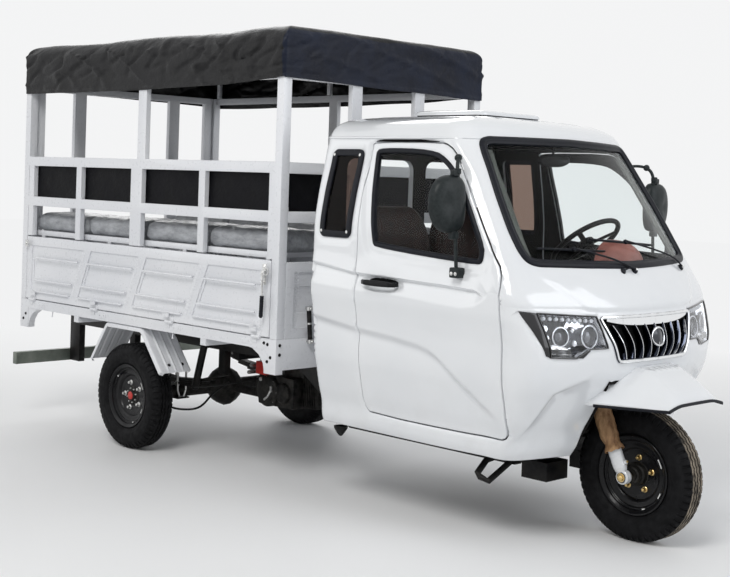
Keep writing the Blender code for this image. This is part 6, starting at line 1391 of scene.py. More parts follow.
def build_tyre(name, centre, body, dusty):
    """Tyre turned from one section, with zigzag grooves and shoulder cuts."""
    count = 56
    phase = np.array([0.0, 0.25, 0.5, 0.60, 0.75, 0.90])
    ph = np.tile(phase, count)
    th = (np.repeat(np.arange(count), len(phase)) + ph) / count * 2 * math.pi
    zig = np.interp(ph, (0, 0.25, 0.5, 0.75, 1.0), (0, 1, 0, -1, 0)) * 0.0031
    cut = np.interp(ph, (0.5, 0.60, 0.75, 0.90), (0, 1, 1, 0))
    # (across, radius, share of the zigzag, share of the shoulder cuts)
    half = []
    for yc in (0.0, 0.0205):
        for dy, dep in ((-0.0036, 0), (-0.0022, 0.0065), (0.0022, 0.0065), (0.0036, 0)):
            half.append((yc + dy, 0.284 - dep, 1.0, 0.0))
    half += [(0.036, 0.2838, 0.5, 0.0), (0.040, 0.2830, 0.35, 0.2), (0.0415, 0.2823, 0.0, 1.0),
        (0.0475, 0.2790, 0, 1.0), (0.0530, 0.2745, 0, 1.0),
             (0.0575, 0.2675, 0, 0.9), (0.0605, 0.2600, 0, 0.6), (0.0618, 0.2560, 0, 0.0), (0.0640, 0.2490, 0, 0),
             (0.0648, 0.2475, 0, 0), (0.0652, 0.2455, 0, 0),
             (0.0665, 0.2400, 0, 0), (0.0680, 0.2310, 0, 0), (0.0685, 0.2230, 0, 0), (0.0680, 0.2130, 0, 0),
             (0.0670, 0.2060, 0, 0), (0.0672, 0.2035, 0, 0), (0.0660, 0.2010, 0, 0),
             (0.0635, 0.1940, 0, 0), (0.0600, 0.1870, 0, 0), (0.0560, 0.1810, 0, 0), (0.0515, 0.1765, 0, 0),
             (0.0470, 0.1745, 0, 0), (0.0440, 0.1725, 0, 0), (0.0412, 0.1580, 0, 0)]
    right = half[2:]
    left = [(-y, r, z, c) for y, r, z, c in reversed(half[4:])] + [(-0.0036, 0.284, 1.0, 0),
        (-0.0022, 0.2775, 1.0, 0)]
    ys, rs, zz, cc = np.array(left + right).T
    m = len(ys)
    R = rs[None] - 0.0055 * cc[None] * cut[:, None]
    Y = ys[None] + zz[None] * zig[:, None] - np.sign(ys)[None] * 0.0025 * cc[None] * cut[:, None]
    V = np.stack([centre[0] + R * np.cos(th)[:, None], centre[1] + Y, centre[2] + R * np.sin(th)[:, None]],
        -1).reshape(-1, 3)
    n = len(th)
    crown = rs > 0.2835
    ids = [int(crown[k] and crown[k + 1]) if k + 1 < m else 0 for k in range(m)] * n
    o = mk(name + "_tread", V, lattice(n, m, True, True), [RUBBER, TREAD_DUSTY if dusty else TREAD], 0, ids)
    clean(o, 28)
    place(o, body, (name,))


def build_rim(name, centre, side, body, front):
    """Steel rim with its disc, hub, bolts, balance weights and valve."""
    m = Mesh()
    out = [(.0475, .1702), (.0500, .1716), (.0526, .1712), (.0540, .1690), (.0535, .1650), (.0495, .1600),
        (.0465, .1550), (.0440, .1522), (.0365, .1502),
           (.0340, .1472), (.0342, .1430), (.0318, .1398), (.0280, .1384), (.0262, .1350), (.0262, .1240),
           (.0242, .1160), (.0196, .1100), (.0140, .1060),
           (.0125, .1015), (.0132, .0965), (.0118, .0910), (.0100, .0850), (.0100, .0540)]
    back = [(-.0100, .0540), (-.0100, .0840), (.0000, .0930), (.0040, .1020), (.0100, .1120), (.0150, .1240),
        (.0170, .1400), (.0150, .1492), (-.0330, .1496),
            (-.0420, .1512), (-.0465, .1560), (-.0530, .1650), (-.0538, .1690), (-.0505, .1716), (-.0475, .1702),
            (-.0455, .1600), (-.0405, .1574),
            (.0405, .1574), (.0455, .1600)]
    ax = np.array([0.0, side, 0.0])
    m.lathe(out + back, centre, ax, 96, 0, True)
    c = np.asarray(centre, float)

    def spot(r, t, depth):
        """Place on the wheel at a radius, an angle and a distance outward."""
        return c + np.array([r * math.cos(t), side * depth, r * math.sin(t)])

    if front:
        hub = [(-0.0690, 0.0115), (-0.0690, 0.026), (-0.0600, 0.030), (-0.0560, 0.050), (-0.0400, 0.075),
            (-0.0130, 0.0780), (-0.0105, 0.0540), (0.0105, 0.0540),
               (0.0115, 0.0500), (0.0300, 0.0470), (0.0360, 0.0400), (0.0560, 0.0360), (0.0600, 0.0290),
               (0.0690, 0.0270), (0.0690, 0.0115)]
        m.lathe(hub, c, ax, 64, 1, True)
    else:
        hub = [(-0.0740, 0.002), (-0.0740, 0.045), (-0.0640, 0.060), (-0.0600, 0.100), (-0.0200, 0.104),
            (-0.0130, 0.0800), (-0.0110, 0.0540), (0.0105, 0.0540),
               (0.0130, 0.0520), (0.0140, 0.0460), (0.0145, 0.0300), (0.0240, 0.0290), (0.0280, 0.0265),
               (0.0285, 0.0240), (0.0270, 0.002)]
        m.lathe(hub, c, ax, 64, 1)
        m.lathe([(0.0240, 0.0225), (0.0300, 0.0215), (0.0325, 0.0170), (0.0335, 0.0090), (0.0338, 0.0004)], c, ax, 40,
            3)
        for k in range(8):
            t = 2 * math.pi * k / 8 + 0.25
            m.bolt(spot(0.0385, t, 0.0138), ax, 0.0046, 0.0075, 2, False)
    for k in range(5):
        t = 2 * math.pi * k / 5 + (0.25 if front else 0.6)
        at = spot(0.0710, t, 0.0098)
        m.lathe([(-0.001, 0.0145), (0.0030, 0.0138), (0.0050, 0.0110)], at, ax, 20, 4)
        m.bolt(at + ax * 0.003, ax, 0.0088, 0.012, 4, False)
    # clip-on balance weights on the inner ledge
    for a0, a1, r in ((0.35, 0.62, 0.1475), (-0.55, -0.38, 0.1480), (-1.22, -1.12, 0.1475)):
        arc = [spot(r, t, 0.0400) for t in np.linspace(a0, a1, 12)]
        nn = [-(p - c - ax * 0.04) / r for p in arc]
        m.sweep(np.array(arc), np.array(nn), np.array([(-7, -2), (-7, 3), (-5, 4.5), (5, 4.5), (7, 3),
            (7, -2)]) / 1000, False, 2)
    # valve stem
    turn = 2.2
    m.rod(spot(0.139, turn, 0.026), spot(0.127, turn, 0.052), 0.0045, 12, 5)
    m.rod(spot(0.129, turn, 0.048), spot(0.123, turn, 0.062), 0.0052, 12, 2)
    o = m.make(name + "_wheel", [RIM, IRON, ZINC, RED, BRASS if "front" in name else ZINC, SEAL], 32)
    place(o, body, (name,))


FRONT = (AXLE_FRONT, 0.0, TYRE_RADIUS)
build_tyre("tyre_front", FRONT, "front_wheel", True)
build_rim("rim_front", FRONT, -1, "front_wheel", True)
for s, w in SIDES:
    at = (AXLE_REAR, TRACK_HALF * s, TYRE_RADIUS)
    build_tyre(f"tyre_rear_{w}", at, f"rear_wheel_{w}", False)
    build_rim(f"rim_rear_{w}", at, s, f"rear_wheel_{w}", False)


def build_fork():
    """Telescopic legs with their paper wrap, the spindle and the yoke."""
    rake = math.radians(25.0)
    ax = np.array([-math.sin(rake), 0, math.cos(rake)])
    fwd = np.array([math.cos(rake), 0, math.sin(rake)])
    trail, leg_y = 0.035, 0.116
    pivot = np.array(FRONT) - fwd * trail + ax * 0.400
    m = Mesh()
    wrap = Mesh()
    for s in (-1, 1):
        foot = np.array([AXLE_FRONT, leg_y * s, TYRE_RADIUS])
        top = pivot + fwd * trail + np.array([0, leg_y * s, 0]) + ax * 0.012
        L = np.linalg.norm(top - foot)
        # clevis: a rounded eye round the spindle, which grows into the lower tube
        m.lathe([(-0.016, 0.0120), (-0.016, 0.0270), (-0.0135, 0.0300), (0.0135, 0.0300), (0.016, 0.0270),
            (0.016, 0.0120)], foot, (0, 1, 0), 48, 0, True)
        d = (top - foot) / L
        m.lathe([(0.020, 0.0200), (0.030, 0.0262), (0.046, 0.0290), (0.060, 0.0295), (0.150, 0.0295), (0.153, 0.0285),
            (0.156, 0.0250)], foot, d, 40, 0)
        m.rod(foot + d * 0.150, top, 0.0215, 32, 1)
        # drain screw and its boss
        b = foot + d * 0.055
        m.rod(b + fwd * 0.024, b + fwd * 0.040, 0.0085, 16, 0)
        m.bolt(b + fwd * 0.040, fwd, 0.0055, 0.005, 2, False)
        # spindle nut, washer and its dark bush
        o = np.array([0, s, 0.0])
        m.lathe([(0.014, 0.0230), (0.019, 0.0225), (0.0195, 0.0190), (0.0195, 0.009)], foot, o, 32, 1)
        m.lathe([(0.0185, 0.0190), (0.0215, 0.0190), (0.022, 0.0175), (0.022, 0.009)], foot, o, 32, 2)
        m.lathe([(0.0215, 0.0150), (0.0310, 0.0150), (0.0325, 0.0128)], foot, o, 6, 2)
        m.lathe([(0.0300, 0.0085), (0.0345, 0.0085), (0.0355, 0.0070)], foot, o, 20, 2)
        # crumpled paper round the upper tube
        n, k = 64, 56
        e1, e2 = fwd, np.array([0, 1.0, 0])
        V = []
        for i in range(n + 1):
            t = i / n
            for j in range(k):
                a = 2 * math.pi * j / k
                edge = 0.018 * noise.noise(Vector((math.cos(a) * 1.3 + s * 4, math.sin(a) * 1.3, 2.0)))
                h = (0.118 + edge) * (1 - t) + (L - 0.020) * t
                q = Vector((math.cos(a) * 1.5 + s * 7, math.sin(a) * 1.5, h * 9))
                q2 = Vector((math.cos(a) * 3.6 + s * 3, math.sin(a) * 3.6, h * 30))
                r = 0.0375 + 0.0055 * noise.noise(q) + 0.0035 * abs(noise.noise(q2)) * 2
                # tied in above its flared lower edge
                r += 0.004 * math.exp(-(((h - 0.118) / 0.012) ** 2)) - 0.0075 * math.exp(-(((h - 0.150) / 0.016) ** 2))
                V.append(foot + d * h + (e1 * math.cos(a) + e2 * math.sin(a)) * r)
        inner = [foot + d * ((v - foot) @ d) + (v - foot - d * ((v - foot) @ d)) * 0.955 for v in V]
        c = len(V)
        F2 = with_back(lattice(n + 1, k, True), c)
        F2 += [((j + 1) % k, j, c + j, c + (j + 1) % k) for j in range(k)]
        F2 += [(n * k + j, n * k + (j + 1) % k, c + n * k + (j + 1) % k, c + n * k + j) for j in range(k)]
        wrap.add(V + inner, F2, 0)
    m.rod((AXLE_FRONT, -0.140, TYRE_RADIUS), (AXLE_FRONT, 0.140, TYRE_RADIUS), 0.0098, 24, 2)
    # yoke plate
    out = round_rect((-0.035, -0.139), (0.070, 0.139), 0.024, 5)
    V = [pivot + fwd * a + np.array([0, b, 0]) + ax * h for h in (-0.014, 0.014) for a, b in out]
    k = len(out)
    m.add(V, lattice(2, k, True) + caps(2, k), 0)
    o = m.make("front_fork_parts", [FORK, CHROME, BRASS], 35)
    place(o, "front_fork_assembly", ("front_fork",))
    place(wrap.make("front_fork_wrap", KRAFT, 60), "front_fork_assembly")


build_fork()


def build_fender():
    """Pressed front fender with a plateau, slots and a rubber edge."""
    # shares along it: (place, height of the crest, half width of the crest)
    crest_shares = np.array([(0.0, 1, .50), (.42, .97, .52), (.56, .93, .54), (.92, .40, .62), (1.0, .12, .66)])
    rear_x, length, low, tall, half_rear, half_nose = 3.800, 0.354, 0.604, 0.160, 0.362, 0.202
    xs = np.unique(np.concatenate([np.linspace(0, 1, 45), [0.42, 0.56, 0.92]]))
    grown = chaikin(crest_shares, 3, False)
    rise = tall * np.interp(xs, grown[:, 0], grown[:, 1])
    crest = np.interp(xs, grown[:, 0], grown[:, 2])
    half = half_rear + (half_nose - half_rear) * xs
    X = rear_x + length * xs
    prof = np.array([(1.0, 0.0, 0.0), (1.0, 0.0, 0.06), (1.0, 0.0, 0.10), (0.0, 1.0, 0.95), (0.0, 0.5, 1.0),
        (0.0, 0.0, 1.0)])
    prof = np.vstack([prof[:1], chaikin(prof[1:], 3, False)])
    fine = []
    for p, q in zip(prof[:-1], prof[1:]):
        k = max(1, int(np.linalg.norm((q - p) * (0.3, 0.15, 0.16)) / 0.006))
        fine += [p + (q - p) * i / k for i in range(k)]
    fine = np.array(fine + [prof[-1]])
    m = len(fine)
    outer = np.zeros((len(xs), m, 3))
    for i in range(len(xs)):
        c = half[i] * crest[i]
        outer[i, :, 0] = X[i]
        outer[i, :, 1] = half[i] * fine[:, 0] + c * fine[:, 1]
        outer[i, :, 2] = low + rise[i] * fine[:, 2]
    # plateau edge, slots on the crest, and a shallow facet on the flank
    y = outer[..., 1]
    s = (outer[..., 0] - rear_x) / length
    ye = np.interp(s, (0, 0.5, 0.72), (0.150, 0.135, 0.085))
    d = np.maximum(np.abs(y) - ye, (s - 0.60) * 0.30)
    outer[..., 2] += 0.0035 * smoothstep(0.006, -0.004, d) - 0.0035 * smoothstep(-0.012, -0.022, d)
    for slot_y in (0.08, 0.04, 0.0, 0.04, 0.08):
        hit = np.exp(-(((np.abs(y) - slot_y) / 0.006) ** 2)) * smoothstep(0.46, 0.50, s) * smoothstep(0.60, 0.57, s)
        outer[..., 2] -= 0.003 * hit
    n = len(xs)
    G = np.concatenate([outer, (outer * (1, -1, 1))[:, ::-1][:, 1:]], 1)
    w = G.shape[1]
    dx = np.gradient(G, axis=0)
    dy = np.gradient(G, axis=1)
    nn = np.cross(dx, dy)
    nn /= np.maximum(np.linalg.norm(nn, axis=2), 1e-9)[..., None]
    nn *= np.sign(nn[:, w // 2, 2].mean())
    V = np.concatenate([G.reshape(-1, 3), (G - nn * 0.005).reshape(-1, 3)])
    c = n * w
    rim = [i * w for i in range(n)] + [(n - 1) * w + j for j in range(1, w)]
    rim += [i * w + w - 1 for i in range(n - 2, -1, -1)] + list(range(w - 2, 0, -1))
    F = with_back(lattice(n, w), c) + [(b, a, a + c, b + c) for a, b in zip(rim, rim[1:] + rim[:1])]
    o = mk("front_fender_skin", V, F, [CAB], 0)
    clean(o, 32)
    place(o, "chassis", ("front_fender",))
    edge = np.concatenate([G[:, 0], G[-1, 1:-1], G[::-1, -1]])
    keep = edge[:, 0] > 3.872
    edge = resample(edge[keep], 0.012, False)
    nrm = edge - np.array([3.90, 0, 0.60])
    nrm[:, 2] = 0
    nrm /= np.linalg.norm(nrm, axis=1)[:, None]
    t = Mesh()
    t.sweep(edge + [0, 0, -0.001], nrm, np.array([(-7.5, -4), (-7.5, 2.5), (-5, 4), (3, 4), (5, 2.5), (5, 1.2),
        (-1, 1.2), (-1, -4)]) / 1000, False, 0)
    place(t.make("fender_edge_trim", SEAL, 40), "chassis")


build_fender()


def build_well():
    """Black liner of the front wheel's arch, and the coated underside of the cab."""
    m = Mesh()
    low, half = 0.372, 0.272
    section = [(3.440, low), (3.440, 0.812), (3.735, 0.812), (3.790, 0.703)]
    line = resample(np.array(section + [(3.925, 0.703), (3.932, 0.690)]), 0.03, False)
    n = len(line)
    ys = np.linspace(-half, half, 15)
    V = [(min(x, float(on_nose(y, max(z, 0.38))[0][0]) - 0.008), y, z) for x, z in line for y in ys]
    w = len(ys)
    m.add(V, lattice(n, w), 0)
    for s in (-1, 1):
        side = section + [(3.915, 0.703)]
        edge = [(surf(from_front([(0.272, z)]))[0][0] - 0.004, z) for z in np.linspace(0.700, 0.375, 14)]
        V = [(x, s * half, z) for x, z in side + edge]
        m.add(V, [tuple(range(len(V)))], 0)
    o = m.make("wheel_well_liner", WELL, 30)
    modify(o, "SOLIDIFY", thickness=0.004, offset=0)
    bake(o, 30)
    place(o, "chassis")


build_well()

# ---------------------------------------------------------------- cargo box and running gear: CAD solids with worked edges

for node, width in (
    ("side_frame_left", 0.003), ("side_frame_right", 0.003), ("rear_frame", 0.003), ("front_frame", 0.003),
    ("front_bulkhead", 0.002), ("bench_frame_left", 0.0025), ("bench_frame_right", 0.0025), ("canopy_bows", 0.003),
    ("cargo_floor", 0.002),
):
    rounded(node, FRAME, width)
for node, body in (("gate_left", "left_gate"), ("gate_right", "right_gate"), ("tailgate", "rear_gate")):
    rounded(node, FRAME, 0.002, body)
rounded("chassis_frame", BLACK, 0.003)
rounded("rear_bumper_bar", BAR, 0.004)
deck = rounded("cab_floor", WELL, 0.002)
for v in deck.data.vertices:
    v.co.y *= 0.92
rounded("dashboard", PLASTIC, 0.012, segments=3)
for w in ("left", "right"):
    rounded(f"leaf_spring_{w}", IRON, 0.0015)
rounded("rear_axle", IRON, 0.0015)


def both_sides(build, name, mats, body="chassis", angle=35):
    """Runs a builder for the left and the right side."""
    for s, w in SIDES:
        m = Mesh()
        build(m, s)
        place(m.make(name.format(w), mats, angle), body.format(w))


def tread_mark(m, at, across, out, half, lean, skew=0.0, waist=0.0035, sink=0.001, height=0.0016):
    """One raised mark of a tread pattern: a low pyramid whose long diagonal leans."""
    at, across, out, up = (np.array(v, float) for v in (at, across, out, (0, 0, 1)))
    base = at - out * sink
    V = [
        base - across * half - up * lean, base + across * skew + up * waist, base + across * half + up * lean,
        base - across * skew - up * waist, at + out * height,
    ]
    m.add(V, [(0, 1, 4), (1, 2, 4), (2, 3, 4), (3, 0, 4), (3, 2, 1, 0)], 0)


def box_trim(m, s):
    """Bolts, hooks, hinge leaves and seams on one side of the box."""
    y = SILL_Y * s
    out = np.array([0, s, 0.0])
    for x, z in ((2.262, 0.700), (2.236, 0.705), (2.285, 0.640), (2.262, 0.618), (0.060, 0.640), (0.035, 0.610)):
        m.bolt((x, y, z), out, 0.0055, 0.005, 1)
    for x in (0.34, 1.50, 1.75, 0.62):
        m.tube([(x, y - 0.010 * s, 0.674), (x, y - 0.008 * s, 0.655), (x + 0.006, y - 0.002 * s, 0.646),
            (x + 0.016, y + 0.001 * s, 0.650)], 0.0032, 8, 0, 1)
    # folded joint line of the sill's lower flange
    m.box((0.09, y - 0.004 * s, 0.6755), (2.235, y + 0.0015 * s, 0.6785), 0, 0.0008)
    # hinge leaves, beside the ones on the drop side so that they clear them when it hangs down
    for x in (0.23, 0.86, 1.54, 2.10):
        m.box((x - 0.036, y - 0.002 * s, 0.690), (x + 0.036, y + 0.0022 * s, 0.716), 0, 0.001)
        for dx in (-0.020, 0.020):
            m.bolt((x + dx, y + 0.0022 * s, 0.703), out, 0.0045, 0.003, 0, False)
    # gussets at the corner posts
    for x0, x1 in ((2.232, 2.318), (0.006, 0.090)):
        m.box((x0, y - 0.002 * s, 0.724), (x1, y + 0.0014 * s, 0.7275), 0, 0.0006)


def gate_trim(m, s):
    """Tread strips on the drop side's ends and the hinge staples along its lower edge."""
    y = GATE_Y * s
    out = (0, s, 0)
    for x0 in (0.085, 2.222):
        for i in range(2):
            for k in range(15):
                at = (x0 + 0.012 * i - 0.006, y, 0.780 + 0.018 * k + 0.009 * i)
                tread_mark(m, at, (1, 0, 0), out, 0.005, 0.004 if i else -0.004, 0.001, 0.003)
    # rolled beads across each bay, and a tread pattern on the slanted ribs between the bays
    first, z0, tall, bay, rib = 0.106, 0.772, 0.278, 0.528, 0.050
    for k in range(4):
        for share in (0.03, 0.27, 0.74):
            lean = (share - 0.5) * 0.12
            x0, x1 = first + bay * k + rib + lean * (k > 0), first + bay * (k + 1) - rib + lean * (k < 3)
            z = z0 + tall * share
            ends, deep, proud = 0.012, 0.7205 * s, 0.7235 * s
            m.tube([(x0, deep, z), (x0 + ends, proud, z), (x1 - ends, proud, z), (x1, deep, z)], 0.0058, 10, 0, 1)
        if k:
            for j in range(15):
                for side in (-1, 1):
                    f = (j + 0.25 * side) / 14
                    at = (first + bay * k + (f - 0.5) * 0.11 + 0.011 * side, y, z0 + 0.012 + (tall - 0.024) * f)
                    tread_mark(m, at, (1, 0, 0), out, 0.006, 0.004 * side)
    for x in HINGES_X:
        m.box((x - 0.026, y - 0.001 * s, 0.757), (x + 0.026, y + 0.0022 * s, 0.778), 0, 0.001)
        m.tube([(x - 0.015, y, 0.768), (x - 0.015, y + 0.003 * s, 0.776), (x + 0.020, y + 0.003 * s, 0.777),
            (x + 0.024, y + 0.002 * s, 0.763)], 0.0025, 8, 0, 1)


def tailgate_trim(m):
    """Hinge leaves along the tailgate's lower edge."""
    for y in (-0.50, 0.0, 0.50):
        m.box((-0.0205, y - 0.03, 0.757), (-0.0175, y + 0.03, 0.778), 0, 0.001)
        for dy in (-0.018, 0.018):
            m.bolt((-0.0205, y + dy, 0.7675), (-1, 0, 0), 0.0045, 0.002, 0, False)


both_sides(box_trim, "box_{0}_trim", [FRAME, BLACK])
both_sides(gate_trim, "gate_{0}_trim", [FRAME], "{0}_gate")
trim = Mesh()
tailgate_trim(trim)
place(trim.make("tailgate_trim", [FRAME]), "rear_gate")


def gate_latch(m, s):
    """Over-centre latch with a ribbed rubber grip, at the drop side's front end."""
    x, y = 2.247, (GATE_Y + 0.0005) * s
    out = np.array([0, s, 0.0])
    m.box((x - 0.014, y, 0.985), (x + 0.014, y + 0.004 * s, 1.085), 0, 0.0015)
    for z in (0.998, 1.072):
        m.bolt((x, y + 0.004 * s, z), out, 0.005, 0.004, 0, False)
    m.box((x - 0.011, y + 0.004 * s, 1.018), (x + 0.011, y + 0.016 * s, 1.052), 0, 0.003)
    m.rod((x - 0.016, y + 0.011 * s, 1.035), (x + 0.016, y + 0.011 * s, 1.035), 0.0045, 16, 0)
    m.tube([(x, y + 0.014 * s, 1.040), (x + 0.001, y + 0.018 * s, 1.005), (x, y + 0.012 * s, 0.955),
        (x - 0.002, y + 0.012 * s, 0.925)], 0.0052, 12, 0, 2)
    m.tube([(x + 0.004, y + 0.010 * s, 1.060), (x + 0.030, y + 0.008 * s, 1.066), (x + 0.034, y + 0.006 * s, 1.040),
        (x + 0.018, y + 0.010 * s, 1.030)], 0.003, 8, 0, 2)
    long, ribs = 0.105, 9
    prof = [
        (t * long, 0.0092 + 0.00065 * (1 + math.sin(t * 2 * math.pi * ribs)) - 0.004 * max(0, t - 0.93) / 0.07)
        for t in np.linspace(0, 1, 57)
    ]
    m.lathe(prof, (x - 0.002, y + 0.012 * s, 0.932), (-0.02, 0.015 * s, -1), 24, 1)


for s, w in SIDES:
    m = Mesh()
    gate_latch(m, s)
    place(m.make(f"gate_{w}_latch", [ZINC, SEAL], 40), f"{w}_gate")
    m = Mesh()
    # small catches at the rear end of the side gates
    m.box((0.070, 0.7315 * s, 1.040), (0.100, 0.7360 * s, 1.080), 0, 0.001)
    m.bolt((0.085, 0.736 * s, 1.060), (0, s, 0), 0.006, 0.005, 0)
    place(m.make(f"gate_{w}_catch", [ZINC], 40), f"{w}_gate")

tail = Mesh()
for s in (-1, 1):
    y = 0.560 * s
    tail.box((-0.0225, y - 0.013, 0.990), (-0.0180, y + 0.013, 1.080), 0, 0.0015)
    tail.rod((-0.030, y - 0.016, 1.040), (-0.030, y + 0.016, 1.040), 0.0045, 16, 0)
    tail.tube([(-0.032, y, 1.045), (-0.036, y, 1.010), (-0.030, y, 0.950)], 0.005, 12, 0, 2)
    tail.lathe([(t * 0.1, 0.009 + 0.0012 * (0.5 + 0.5 * math.sin(t * 56))) for t in np.linspace(0, 1, 41)],
        (-0.030, y, 0.962), (0.0, 0, -1), 20, 1)
place(tail.make("tailgate_latches", [ZINC, SEAL], 40), "rear_gate")

# tread strips and bolts on the bulkhead behind the cab, and its two struts
BULKHEAD_X = 2.324
front = Mesh()
for s in (-1, 1):
    for i in range(3):
        for k in range(17):
            at = (BULKHEAD_X, s * (0.585 + 0.014 * i), 0.770 + 0.017 * k + 0.0085 * (i % 2))
            lean = 0.004 * s if i % 2 else -0.004 * s
            tread_mark(front, at, (0, 1, 0), (1, 0, 0), 0.005, lean, 0.001, 0.003, 0.0, 0.0018)
    for z in (0.700, 0.655):
        front.bolt((BULKHEAD_X, 0.690 * s, z), (1, 0, 0), 0.0055, 0.005, 1)
place(front.make("bulkhead_tread", [FRAME, BLACK]), "chassis")
for s, w in SIDES:
    st = Mesh()
    lo, hi = np.array([2.346, 0.515 * s, 0.712]), np.array([2.346, 0.530 * s, 0.872])
    st.rod(lo, hi, 0.0115, 24, 0)
    mid = lo * 0.45 + hi * 0.55
    st.lathe([(-0.004, 0.014), (0.004, 0.014)], mid, hi - lo, 24, 1)
    for p in (lo, hi):
        st.lathe([(-0.010, 0.0135), (-0.008, 0.0155), (0.008, 0.0155), (0.010, 0.0135)], p, hi - lo, 24, 1)
        st.rod((BULKHEAD_X + 0.0005, p[1], p[2]), (p[0] + 0.014, p[1], p[2]), 0.008, 16, 1)
        st.bolt((p[0] + 0.014, p[1], p[2]), (1, 0, 0), 0.0075, 0.006, 1)
    place(st.make(f"box_strut_{w}", [BLACK, ZINC]), "chassis", (f"box_stay_{w}",))


# ---------------------------------------------------------------- canopy and infill sheets


